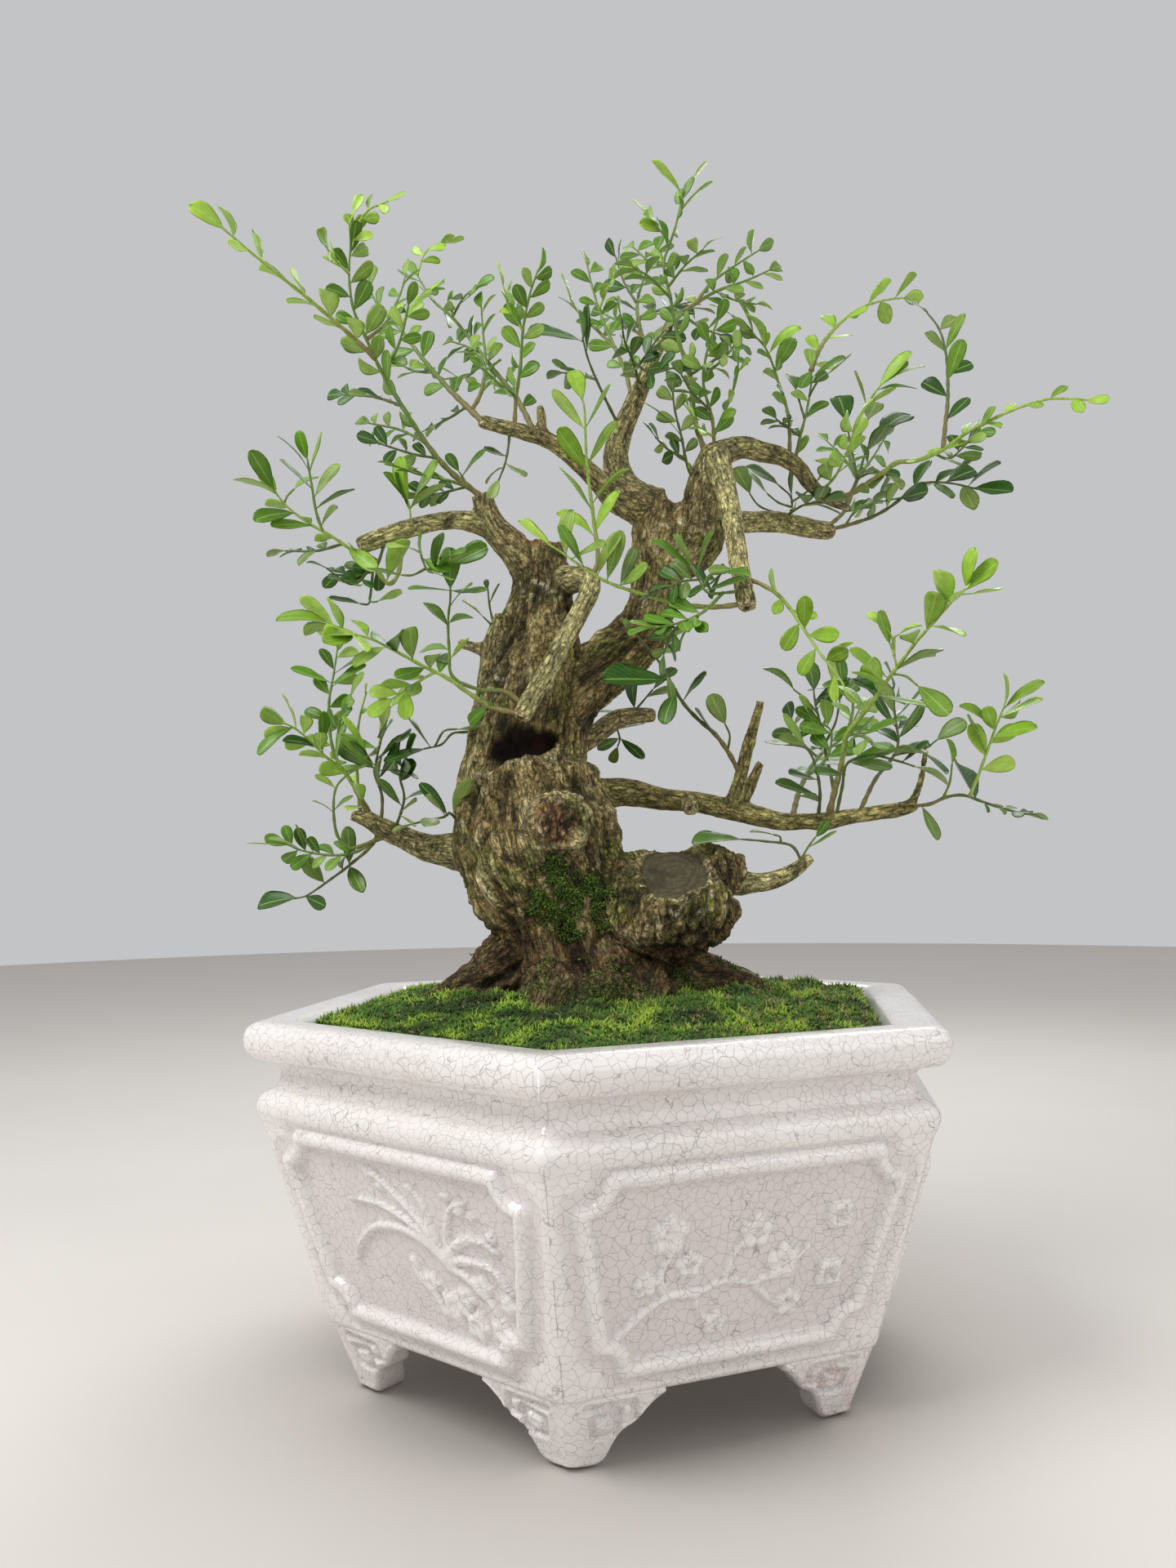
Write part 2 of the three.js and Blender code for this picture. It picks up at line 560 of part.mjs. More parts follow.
// Leafy shoots. Each shoot is one grown piece; its rows are stems: leaf tone, leaf length, leaf count, share
// of the stem that is bare, change of depth towards the eye, then the stem's points as [across, up]. A
// shoot's first stem starts on the nearest limb and each later one on the nearest earlier stem.
const SHOOTS = {
  upper_left_shoot: [
    ['mid', 12, 8, 0.34, 42, [-63, 384], [-75, 396], [-86, 409], [-97, 426], [-106, 441], [-113, 456],
      [-119, 470], [-121, 486], [-120, 500]],
    ['young', 8, 3, 0.1, 6, [-120, 499], [-117, 508], [-112, 515], [-103, 519]],
    ['young', 8, 2, 0.3, 2, [-120, 500], [-121, 507], [-119, 513]],
    ['young', 15, 6, 0.05, 50, [-109, 447], [-118, 456], [-126, 463], [-140, 475], [-155, 487],
      [-166, 496], [-180, 508]],
    ['dark', 9, 4, 0.2, -18, [-97, 426], [-110, 430], [-124, 431]],
    ['mid', 10, 3, 0.2, 20, [-106, 441], [-100, 450], [-96, 462], [-94, 472]],
    ['mid', 9, 4, 0.2, -22, [-86, 409], [-98, 415], [-112, 418]],
    ['dark', 9, 3, 0.2, 12, [-80, 402], [-92, 404], [-108, 409]],
    ['young', 9, 3, 0.15, 20, [-121, 486], [-127, 492], [-132, 499]],
    ['mid', 9, 3, 0.2, -25, [-113, 456], [-104, 464], [-98, 476], [-95, 486]],
    ['mid', 8, 1, 1, 2, [-65, 386.5], [-67, 390], [-71, 396]],
    ['dark', 8, 4, 0.3, 6, [-67, 389], [-80, 386], [-88, 385]],
    ['mid', 10, 1, 1, 6, [-70, 393], [-66, 398]],
    ['mid', 8, 4, 0.3, 30, [-66, 388], [-76, 392], [-90, 395], [-101, 399]],
  ],
  upper_left_inner_shoot: [
    ['mid', 10, 7, 0.2, -52, [-61, 419], [-75, 433], [-88, 448], [-98, 461], [-108, 472], [-114, 484]],
    ['dark', 8, 3, 0.2, -12, [-68, 425], [-76, 420], [-86, 415]],
    ['mid', 9, 3, 0.2, -25, [-82, 441], [-92, 442], [-101, 447]],
    ['young', 9, 3, 0.2, -12, [-98, 461], [-92, 472], [-84, 478]],
    ['mid', 9, 5, 0.15, -38, [-66, 423], [-61, 432], [-59, 445], [-60, 458], [-61, 472]],
    ['mid', 9, 3, 0.2, -28, [-59, 445], [-66, 452], [-74, 455]],
  ],
  upper_left_arch_shoot: [
    ['mid', 10, 7, 0.15, -62, [-36, 412], [-44, 428], [-55, 442], [-65, 455], [-74, 466], [-83, 474],
      [-91, 487]],
    ['young', 8, 3, 0.3, -6, [-91, 487], [-86, 496], [-77, 500]],
    ['mid', 9, 3, 0.2, -32, [-60, 449], [-66, 440], [-78, 438]],
    ['mid', 9, 3, 0.2, 18, [-74, 466], [-69, 475], [-63, 480]],
  ],
  upper_middle_shoot: [
    ['mid', 10, 7, 0.2, 32, [-46, 415], [-45, 430], [-43, 445], [-42, 460], [-39, 476], [-35, 488]],
    ['young', 9, 3, 0.2, 8, [-42, 460], [-48, 470], [-51, 480]],
    ['mid', 9, 3, 0.2, 25, [-45, 430], [-53, 436], [-60, 443]],
  ],
  hanging_left_shoot: [
    ['dark', 8, 1, 1, 0, [-48, 415], [-48.5, 408], [-50, 400], [-53, 392]],
    ['dark', 8, 1, 1, 4, [-50, 400], [-47, 398]],
    ['dark', 8, 1, 1, -4, [-51, 398], [-54, 397]],
    ['dark', 8, 1, 1, 3, [-49.5, 403], [-52, 404]],
  ],
  crown_leader_shoot: [
    ['mid', 10, 9, 0.12, 25, [38, 399], [36, 420], [34, 440], [29, 455], [25, 475], [22, 490], [25, 500],
      [28, 510], [31, 524]],
    ['young', 13, 1, 1, 3, [30, 522], [27, 526]],
    ['young', 14, 1, 1, -2, [31, 522], [35, 526]],
    ['young', 13, 1, 1, 3, [28.5, 513], [33, 517]],
    ['young', 10, 3, 0.3, 4, [25, 500], [20, 506], [16, 511]],
    ['mid', 10, 3, 0.2, 18, [25, 475], [16, 484], [8, 489]],
    ['mid', 10, 3, 0.2, -20, [22, 490], [15, 492], [8, 498]],
    ['mid', 10, 3, 0.2, 22, [24, 480], [32, 490], [40, 497]],
    ['dark', 9, 3, 0.2, 25, [34, 440], [44, 446], [51, 450]],
  ],
  crown_fan_shoot: [
    ['mid', 9, 5, 0.15, 32, [45, 404], [44, 420], [40, 436], [42, 452], [47, 466]],
    ['mid', 9, 4, 0.2, 18, [44, 412], [50, 424], [55, 438], [56, 450]],
    ['dark', 8, 3, 0.2, 25, [43, 424], [35, 432], [30, 440]],
    ['mid', 9, 3, 0.2, -25, [41, 440], [50, 448], [57, 458]],
    ['young', 8, 3, 0.2, 12, [44, 412], [38, 416], [33, 425]],
  ],
  crown_right_shoot: [
    ['mid', 10, 5, 0.15, -42, [26, 466], [36, 472], [46, 478], [60, 483], [71, 488]],
    ['mid', 9, 4, 0.15, -25, [36, 472], [44, 482], [55, 490], [66, 497]],
    ['mid', 8, 3, 0.2, 10, [46, 478], [54, 474], [64, 472]],
    ['dark', 8, 3, 0.2, 32, [30, 468], [38, 462], [48, 458]],
  ],
  crown_left_shoot: [
    ['mid', 9, 6, 0.18, -25, [8, 426], [5, 440], [0, 452], [-5, 463], [-10, 478], [-13, 491]],
    ['mid', 9, 3, 0.2, -28, [0, 452], [-8, 460], [-18, 470], [-22, 480]],
    ['young', 8, 3, 0.2, 10, [-7, 470], [-3, 480], [2, 488]],
  ],
  crown_dark_shoot: [
    ['dark', 11, 1, 1, 30, [3, 414], [-6, 432], [-12, 446], [-15, 457]],
    ['dark', 24, 1, 1, 5, [-14, 455], [-20, 457.5]],
    ['dark', 11, 1, 1, 3, [-13, 450], [-11, 458]],
    ['dark', 9, 3, 0.3, -20, [-8, 438], [-16, 440], [-24, 441]],
  ],
  crown_inner_shoot: [
    ['dark', 10, 5, 0.15, 38, [11, 434], [8, 446], [4, 456], [3, 466]],
    ['dark', 10, 3, 0.2, 10, [9, 442], [16, 452], [22, 460]],
    ['dark', 9, 3, 0.2, 18, [8, 446], [16, 441], [26, 443]],
  ],
  crown_back_shoot: [
    ['mid', 10, 6, 0.2, -95, [16, 446], [12, 458], [10, 472], [14, 486], [20, 498]],
    ['mid', 9, 4, 0.2, -38, [12, 458], [2, 464], [-6, 468]],
    ['dark', 9, 4, 0.2, -42, [11, 466], [22, 470], [34, 473]],
    ['dark', 9, 3, 0.2, -8, [10, 472], [4, 482], [0, 494]],
  ],
  inner_right_shoot: [
    ['dark', 8, 5, 0.2, 30, [34, 384], [33, 398], [30, 412], [27, 424], [26, 433]],
    ['young', 9, 1, 1, 8, [30, 412], [21, 425]],
    ['dark', 8, 3, 0.2, 12, [32, 402], [24, 406], [18, 412]],
  ],
  bright_front_shoot: [
    ['young', 13, 1, 1, 6, [-15, 343], [-8, 356], [-10, 375], [-13, 400], [-14, 424], [-16, 431]],
    ['young', 12, 1, 1, 2, [-13.5, 415], [-20, 423]],
    ['young', 12, 1, 1, 2, [-13.5, 416], [-8, 423]],
    ['young', 20, 1, 1, 4, [-13, 397], [-18, 402]],
    ['young', 15, 1, 1, 3, [-12.5, 399], [-7, 406]],
    ['young', 20, 1, 1, 4, [-11, 378], [-15, 383]],
    ['young', 15, 1, 1, 3, [-10.5, 381], [-4, 388]],
    ['young', 15, 1, 1, 4, [-9.5, 366], [-13, 370]],
    ['young', 14, 1, 1, 3, [-9.5, 368], [-6, 374]],
  ],
  long_stub_shoot: [
    ['young', 16, 1, 1, -6, [59, 336], [45, 334.5], [28, 336], [10, 341], [-4, 346], [-14, 352],
      [-24, 359], [-32, 364]],
    ['mid', 15, 1, 1, 4, [-14, 352], [-17, 359]],
    ['mid', 14, 1, 1, 3, [-8, 349], [-5, 355]],
    ['mid', 15, 1, 1, 2, [-4, 346], [-1, 355]],
    ['dark', 9, 1, 1, -2, [2, 344], [5, 350]],
    ['mid', 13, 1, 1, 4, [2, 344], [7, 346]],
    ['mid', 15, 1, 1, 6, [-20, 356.5], [-14, 357]],
    ['mid', 14, 1, 1, 2, [-22, 358], [-22, 362]],
  ],
  stub_cluster_shoot: [
    ['mid', 14, 1, 1, 6, [58, 342], [50, 341], [42, 341], [38, 347], [34, 353]],
    ['mid', 15, 1, 1, 4, [37, 349], [39, 354]],
    ['mid', 16, 1, 1, 2, [35, 352], [31, 355]],
    ['mid', 10, 1, 1, 2, [40, 344], [43, 349], [50, 350]],
    ['mid', 12, 1, 1, 2, [41, 342], [45, 343]],
    ['dark', 12, 3, 0.2, 2, [38, 347], [30, 346], [24, 343]],
    ['dark', 10, 1, 1, -4, [44, 341], [40, 345]],
    ['mid', 13, 4, 0.4, 18, [49, 341], [44, 336], [38, 331], [28, 327], [18, 325]],
    ['mid', 10, 3, 0.3, 3, [38, 331], [36, 327], [32, 324]],
    ['dark', 9, 3, 0.2, 4, [30, 328], [25, 321], [22, 313]],
  ],
  stub_right_shoot: [
    ['young', 11, 4, 0.3, 25, [58, 348], [66, 345], [74, 340], [80, 333], [86, 324], [92, 315], [98, 307],
      [104, 299]],
    ['young', 12, 1, 1, 2, [86, 324], [86, 327]],
    ['young', 10, 1, 1, 2, [73.5, 340], [73, 342]],
    ['young', 9, 1, 1, 2, [97, 309], [99, 312]],
    ['dark', 10, 3, 0.2, -10, [59, 348], [52, 352], [43, 345]],
  ],
  middle_dark_shoot: [
    ['dark', 5, 1, 1, 42, [57, 258], [51, 269], [45, 277], [37, 284], [30, 292], [23, 304], [18, 312],
      [5, 327]],
    ['dark', 26, 1, 1, 4, [22.5, 300], [17.5, 301.8]],
    ['dark', 14, 1, 1, 3, [30, 291], [32, 294]],
    ['dark', 14, 1, 1, 3, [27.5, 296], [26, 294]],
    ['dark', 15, 1, 1, 4, [46, 276], [44, 279]],
    ['dark', 13, 1, 1, 4, [51, 269], [52, 276], [50, 281]],
    ['dark', 7, 1, 1, 0, [23, 304], [24, 301]],
    ['dark', 9, 3, 0.3, 4, [19, 311], [23, 316], [24, 322]],
  ],
  behind_dark_shoot: [
    ['dark', 12, 1, 1, 6, [6, 284], [12, 291], [17, 297]],
    ['dark', 11, 1, 1, -4, [9, 287.5], [8, 293]],
    ['dark', 8, 1, 1, -6, [3, 284], [-2, 287]],
    ['dark', 9, 1, 1, -2, [14, 293.5], [18, 294]],
  ],
  behind_low_shoot: [
    ['dark', 7, 1, 1, -4, [0, 282], [2, 275], [1, 271]],
    ['dark', 7, 1, 1, 2, [2, 275], [0, 274]],
    ['dark', 9, 1, 1, 3, [2, 275], [5, 272]],
    ['dark', 9, 1, 1, -4, [1, 279], [5, 280]],
  ],
  right_crown_shoot: [
    ['mid', 9, 5, 0.2, 25, [79, 400], [79, 418], [77, 428], [74, 437], [71, 446], [67, 454], [60, 460]],
    ['young', 17, 1, 1, 3, [68, 452], [67, 455]],
    ['young', 14, 1, 1, 2, [69, 449], [71, 451]],
    ['mid', 13, 1, 1, 3, [72.5, 442], [74, 444]],
    ['young', 10, 1, 1, 2, [63, 457.5], [61, 465]],
    ['mid', 10, 1, 1, 2, [64, 457], [60, 462], [53, 467]],
  ],
  right_arch_shoot: [
    ['mid', 10, 3, 0.1, -10, [81, 399], [84, 412], [87, 424], [89, 436], [89, 444]],
    ['young', 11, 5, 0.05, -50, [89, 444], [92, 450], [97, 458], [105, 466], [113, 471], [123, 474],
      [133, 475]],
    ['dark', 12, 1, 1, -8, [86, 420], [83, 430], [82, 433]],
    ['mid', 13, 1, 1, 4, [89, 438], [92, 441]],
    ['dark', 12, 1, 1, 8, [88, 430], [92, 437], [96, 440]],
    ['mid', 10, 1, 1, 3, [89, 442], [88, 441]],
    ['dark', 8, 3, 0.2, 12, [84, 412], [78, 416], [73, 420]],
  ],
  right_long_shoot: [
    ['young', 9, 5, 0.3, 55, [99, 382], [107, 386], [114, 390], [121, 395], [128, 400], [137, 401],
      [145, 404], [152, 408], [160, 414], [168, 418], [176, 422], [186, 426], [197, 429], [209, 429],
      [218, 428]],
    ['dark', 12, 3, 0.2, -30, [149, 406], [150, 418], [151, 428], [151, 440], [150, 451], [147, 461],
      [141, 469]],
    ['mid', 13, 1, 1, 2, [150, 451], [151, 453]],
    ['mid', 13, 1, 1, 2, [151, 437], [152, 440]],
    ['mid', 9, 3, 0.2, 8, [152, 408], [158, 408], [166, 416]],
    ['dark', 9, 3, 0.2, -8, [145, 404], [152, 402], [160, 409]],
  ],
  right_fountain_shoot: [
    ['young', 13, 4, 0.2, 32, [93, 386.5], [100, 394], [104, 402], [107, 410], [109, 418]],
    ['young', 13, 1, 1, 10, [108, 414], [113, 424], [118, 432], [121, 436]],
    ['young', 14, 1, 1, 2, [119, 433.5], [123, 438]],
    ['young', 14, 1, 1, 3, [120, 435], [125, 439]],
    ['mid', 13, 1, 1, 3, [119, 433], [123, 435]],
    ['mid', 9, 1, 1, 2, [114, 426], [113, 430]],
    ['mid', 9, 1, 1, 2, [114, 426], [117, 427]],
    ['young', 12, 1, 1, 6, [103, 398], [98, 399]],
    ['dark', 14, 1, 1, -18, [105, 404], [112, 414], [115, 420]],
  ],
  right_narrow_shoot: [
    ['dark', 26, 1, 1, -18, [104, 380], [110, 393], [114, 405], [120, 413]],
    ['dark', 17, 1, 1, 8, [114, 405], [117, 408]],
    ['dark', 19, 1, 1, -10, [110, 393], [107, 408], [105, 419]],
    ['dark', 10, 3, 0.2, 18, [110, 393], [118, 396], [124, 394]],
  ],
  right_low_arc_shoot: [
    ['dark', 16, 3, 0.5, 25, [98, 372], [110, 373], [120, 377], [129, 383], [137, 390], [150, 391],
      [165, 388]],
    ['dark', 13, 1, 1, 6, [150, 391], [156, 395]],
    ['dark', 13, 1, 1, 4, [160, 389.5], [163, 392]],
    ['dark', 12, 1, 1, 6, [145, 391], [148, 393]],
    ['mid', 12, 1, 1, 4, [123, 379], [124, 382]],
    ['mid', 12, 1, 1, -4, [127, 382], [129, 383], [134, 386]],
    ['mid', 9, 3, 0.2, 6, [104, 373], [110, 379], [120, 382]],
  ],
  right_inner_shoot: [
    ['dark', 16, 1, 1, 6, [74, 373], [79, 376], [80, 384], [74, 390]],
    ['mid', 15, 1, 1, 10, [80, 380], [74, 382], [69, 386]],
    ['mid', 15, 1, 1, 8, [80, 382], [86, 386], [90, 390]],
    ['dark', 12, 3, 0.2, 18, [79, 377], [86, 381], [94, 382]],
    ['dark', 14, 1, 1, -8, [78, 376], [66, 380], [61, 386]],
    ['dark', 13, 1, 1, 12, [80, 384], [82, 392]],
  ],
  right_back_shoot: [
    ['mid', 10, 5, 0.25, -55, [94, 369], [104, 378], [110, 392], [118, 404], [124, 414]],
    ['dark', 9, 3, 0.2, -25, [104, 378], [114, 380], [122, 386]],
    ['mid', 9, 3, 0.2, -32, [110, 392], [104, 402], [96, 410]],
  ],
  pale_branch_shoot: [
    ['young', 10, 3, 0.4, 30, [-98, 369], [-98, 352], [-103, 345], [-110, 353], [-118, 359], [-128, 366],
      [-140, 373], [-150, 381], [-156, 389]],
    ['young', 20, 1, 1, 4, [-104, 346], [-102, 351]],
    ['young', 14, 1, 1, 5, [-122, 362], [-118, 359]],
    ['mid', 14, 1, 1, 3, [-155, 388], [-157, 391]],
    ['mid', 16, 1, 1, 3, [-153, 384.5], [-157, 387]],
    ['mid', 18, 1, 1, 3, [-145, 377], [-148, 377]],
    ['mid', 14, 1, 1, 3, [-137, 371], [-141, 372]],
    ['mid', 12, 1, 1, -3, [-150, 382], [-149, 385], [-146, 388]],
    ['mid', 11, 1, 1, 6, [-133, 369], [-136, 378], [-138, 390], [-140, 402]],
    ['mid', 12, 1, 1, 2, [-139, 396], [-142, 401]],
    ['mid', 12, 1, 1, 2, [-139, 395], [-138, 399]],
    ['mid', 11, 1, 1, 2, [-138, 388], [-141, 391]],
    ['mid', 11, 1, 1, -2, [-137, 384], [-133, 388]],
    ['dark', 14, 1, 1, 2, [-136.5, 379], [-132, 382]],
    ['dark', 9, 1, 1, 2, [-134, 371], [-132, 373]],
    ['dark', 9, 3, 0.3, -12, [-124, 363], [-136, 360], [-150, 360]],
  ],
  pale_branch_low_shoot: [
    ['dark', 9, 5, 0.3, 6, [-104, 367], [-109, 352], [-116, 350], [-126, 349], [-131, 352]],
    ['dark', 12, 1, 1, 4, [-110, 351.5], [-111, 342], [-112, 336], [-116, 336]],
    ['mid', 11, 1, 1, 4, [-111, 342], [-111.5, 337], [-108, 337]],
    ['dark', 8, 3, 0.2, 18, [-112, 351], [-118, 345], [-124, 346]],
  ],
  glossy_pair_shoot: [
    ['young', 19, 1, 1, 4, [-94, 370], [-93, 373], [-93.5, 380], [-94, 382]],
    ['mid', 27, 1, 1, 5, [-93, 379], [-91.5, 383]],
    ['mid', 20, 1, 1, 5, [-93, 379], [-89, 383]],
    ['mid', 9, 1, 1, 1, [-93.5, 380], [-98, 387]],
    ['dark', 8, 1, 1, 1, [-93, 378], [-97, 384]],
  ],
  left_leafy_shoot: [
    ['mid', 15, 1, 1, 32, [-88, 371], [-89, 362], [-86, 352], [-83, 350]],
    ['mid', 16, 1, 1, 8, [-88, 356], [-84, 356]],
    ['mid', 17, 1, 1, 12, [-88, 358], [-94, 363]],
    ['mid', 16, 1, 1, 6, [-86, 352], [-80, 351], [-74, 354]],
    ['mid', 18, 1, 1, 12, [-80, 351], [-76, 357]],
    ['mid', 17, 1, 1, 10, [-77, 352], [-71, 358]],
    ['dark', 16, 1, 1, 8, [-82, 351], [-81, 357]],
    ['mid', 14, 1, 1, 6, [-86, 352], [-92, 349], [-97, 349]],
  ],
  crossing_stub_shoot: [
    ['young', 16, 3, 0.8, 25, [-43, 286], [-56, 289], [-66, 295], [-76, 302], [-88, 308], [-99, 314],
      [-111, 320], [-122, 323], [-131, 328]],
    ['young', 19, 1, 1, 2, [-129, 327], [-134, 329]],
    ['young', 15, 1, 1, 2, [-119, 322], [-118, 321]],
    ['young', 20, 1, 1, 4, [-118, 322], [-121, 321]],
    ['mid', 19, 1, 1, 3, [-99, 314], [-99, 315]],
    ['mid', 19, 1, 1, 4, [-98, 313.5], [-101, 314]],
    ['mid', 16, 1, 1, 3, [-92, 310], [-92, 312]],
    ['mid', 17, 1, 1, 5, [-104, 316], [-108, 314.5]],
    ['mid', 13, 1, 1, 3, [-84, 306], [-84, 308]],
    ['mid', 12, 1, 1, 3, [-86, 307], [-89, 306]],
    ['mid', 12, 1, 1, -6, [-80, 304], [-79, 308]],
    ['young', 12, 3, 0.2, 6, [-82, 305], [-92, 299], [-101, 293]],
    ['mid', 12, 1, 1, 4, [-62, 292], [-60, 293]],
    ['mid', 11, 1, 1, -4, [-57, 290], [-60, 287]],
  ],
  crossing_tall_shoot: [
    ['mid', 16, 1, 1, 12, [-41, 289], [-50, 296], [-62, 297], [-74, 303], [-75.5, 315], [-76, 328],
      [-75, 338], [-75, 345]],
    ['mid', 15, 1, 1, 4, [-76, 326], [-78, 328]],
    ['mid', 10, 1, 1, 3, [-76, 327], [-73, 329]],
    ['mid', 14, 1, 1, 4, [-75.3, 334], [-73, 337]],
    ['mid', 14, 1, 1, 4, [-75, 342], [-70, 341]],
    ['mid', 14, 1, 1, 4, [-75, 342], [-80, 343]],
    ['mid', 14, 1, 1, -4, [-75.5, 315], [-80, 316]],
    ['young', 10, 1, 1, 4, [-75, 311], [-73, 313]],
    ['dark', 9, 1, 1, -4, [-74.5, 308], [-78, 310]],
  ],
  left_ridge_shoot: [
    ['dark', 10, 1, 1, 2, [-53, 322], [-57, 327], [-60, 330]],
    ['dark', 9, 1, 1, 4, [-56, 326], [-55, 328], [-52, 330]],
    ['dark', 4, 1, 1, -2, [-55, 324], [-57, 334], [-58, 343]],
    ['dark', 5, 1, 1, 2, [-57, 336], [-56, 339]],
  ],
  left_middle_shoot: [
    ['dark', 18, 1, 1, 18, [-56, 282], [-66, 278], [-74, 277], [-79, 272], [-87, 270]],
    ['dark', 9, 1, 1, 2, [-84, 271], [-87, 274]],
    ['dark', 16, 1, 1, 4, [-82, 271.5], [-78, 278], [-72, 279]],
  ],
  left_trunk_twig: [
    ['dark', 10, 1, 1, 32, [-60, 238], [-74, 240], [-78, 239], [-92, 236]],
    ['dark', 18, 1, 1, 3, [-74, 240], [-72, 243]],
    ['dark', 10, 1, 1, 2, [-76, 240], [-80, 245]],
    ['dark', 12, 1, 1, 2, [-80, 239], [-81, 237.5]],
    ['dark', 8, 1, 1, 2, [-77, 239.5], [-79, 242]],
  ],
  low_left_shoot: [
    ['young', 12, 4, 0.4, 38, [-112, 238], [-117, 249], [-123, 260], [-131, 266], [-138, 273],
      [-145, 279], [-151, 282]],
    ['young', 14, 1, 1, 3, [-145, 279], [-146, 282]],
    ['mid', 10, 1, 1, 3, [-147, 280], [-153, 277]],
    ['mid', 14, 1, 1, 3, [-133, 268], [-134, 273]],
    ['mid', 11, 1, 1, 2, [-126, 263], [-127, 268]],
    ['dark', 9, 1, 1, 2, [-136, 271], [-139, 272]],
    ['young', 11, 1, 1, 8, [-114, 244], [-117, 243]],
    ['young', 10, 1, 1, 6, [-115, 246], [-116, 249]],
  ],
  low_left_upright_shoot: [
    ['mid', 10, 5, 0.4, -8, [-109, 236], [-118, 252], [-127, 266], [-130, 280], [-130, 292], [-128, 304],
      [-126, 317]],
    ['mid', 11, 3, 0.3, 10, [-127, 266], [-126, 278], [-124, 287], [-120, 294]],
    ['mid', 10, 1, 1, 2, [-129, 298], [-124, 302]],
    ['mid', 11, 1, 1, 2, [-129, 300], [-134, 302]],
    ['dark', 10, 1, 1, 2, [-128, 304], [-124, 307]],
  ],
  low_left_dark_shoot: [
    ['dark', 17, 3, 0.6, 25, [-107, 234], [-106, 248], [-109, 260], [-107, 272], [-105, 278]],
    ['dark', 15, 1, 1, 5, [-108, 256], [-104, 262]],
    ['dark', 14, 1, 1, 6, [-109, 260], [-101, 262]],
    ['dark', 14, 1, 1, 3, [-108, 266], [-101, 269]],
    ['dark', 12, 1, 1, 8, [-107, 252], [-108, 258]],
    ['mid', 13, 1, 1, 4, [-109, 262], [-114, 268]],
    ['mid', 14, 1, 1, -4, [-108, 270], [-116, 273]],
    ['young', 12, 1, 1, 2, [-107, 272], [-106, 284], [-102, 289]],
    ['young', 9, 1, 1, 2, [-112, 265.5], [-119, 277]],
    ['mid', 11, 1, 1, -2, [-110, 263], [-118, 262]],
  ],
  low_left_bud_shoot: [
    ['young', 5, 3, 0.1, 11, [-116, 238], [-117.5, 262], [-117, 278], [-115, 289], [-113, 296]],
  ],
  low_left_right_shoot: [
    ['dark', 12, 3, 0.7, 18, [-101, 231], [-96, 247], [-98, 258], [-95, 265]],
    ['young', 11, 1, 1, 8, [-98, 241], [-95, 243]],
    ['mid', 10, 1, 1, 4, [-96.5, 246], [-94, 248]],
    ['mid', 10, 1, 1, -6, [-97, 244], [-102, 248]],
    ['mid', 8, 1, 1, 6, [-98, 240], [-95, 239]],
  ],
  low_left_thin_shoot: [
    ['mid', 6, 1, 1, 25, [-100, 231], [-110, 228], [-120, 225], [-126, 230], [-128, 241], [-127, 252],
      [-122, 258], [-117, 261]],
    ['mid', 6, 1, 1, 1, [-128, 241], [-130, 243]],
    ['mid', 6, 1, 1, 1, [-128, 242], [-126, 244]],
    ['mid', 6, 1, 1, 1, [-127.5, 252], [-129, 254]],
  ],
  low_left_flat_shoot: [
    ['mid', 9, 5, 0.4, 4, [-104, 232], [-114, 225], [-123, 222], [-133, 222], [-143, 224], [-150, 227]],
    ['mid', 10, 1, 1, 3, [-143, 224], [-146, 226]],
    ['dark', 9, 1, 1, 3, [-137, 223], [-139, 226]],
    ['mid', 10, 1, 1, 3, [-149, 226], [-154, 227]],
  ],
  low_left_hanging_shoot: [
    ['dark', 19, 1, 1, -12, [-108, 236], [-110, 227], [-121, 217], [-129, 211], [-136, 206], [-141, 203],
      [-146, 202]],
    ['dark', 11, 1, 1, 2, [-121, 217], [-121, 221]],
    ['dark', 11, 1, 1, 3, [-121, 217], [-120, 215.5]],
    ['dark', 11, 1, 1, 2, [-124, 215], [-124, 216]],
    ['dark', 12, 1, 1, 2, [-132, 209], [-133, 210]],
    ['dark', 10, 1, 1, 2, [-141, 203], [-139, 202]],
  ],
  knob_shoot: [
    ['dark', 24, 1, 1, 4, [85, 218], [80, 226], [68, 228], [57, 229]],
    ['dark', 9, 1, 1, 1, [75, 227], [75, 230], [72, 231]],
    ['mid', 8, 1, 1, 2, [84, 219.5], [88, 226], [91, 230]],
    ['mid', 7, 1, 1, 1, [88, 225], [92, 227]],
  ],
  low_right_main_shoot: [
    ['young', 17, 3, 0.55, 70, [96, 238], [100, 252], [103, 264], [105, 276], [111, 284], [118, 293],
      [125, 303], [131, 311], [137, 319], [146, 329], [155, 339], [162, 345]],
    ['young', 18, 1, 1, 2, [141, 323.5], [142, 326]],
    ['young', 15, 1, 1, 3, [143, 326], [146, 326]],
    ['young', 19, 1, 1, 2, [151, 334.5], [150, 336]],
    ['young', 16, 1, 1, 3, [156, 340], [159, 340.5]],
    ['young', 12, 1, 1, 2, [159, 343], [160, 346]],
    ['young', 14, 1, 1, 2, [128, 307], [126, 315], [125, 317]],
    ['young', 9, 1, 1, 2, [126, 312], [127, 321], [129, 322]],
    ['young', 9, 1, 1, 2, [126, 316], [126, 320], [123, 325]],
    ['dark', 20, 1, 1, 4, [127, 305.5], [132, 308]],
    ['mid', 18, 1, 1, 6, [126, 304], [132, 303], [137, 299]],
    ['young', 16, 1, 1, 4, [119, 294.5], [128, 293]],
    ['young', 10, 1, 1, 3, [122, 299], [117, 300]],
    ['young', 12, 1, 1, 4, [124, 302], [118, 308]],
    ['mid', 12, 1, 1, -6, [114, 288], [108, 296]],
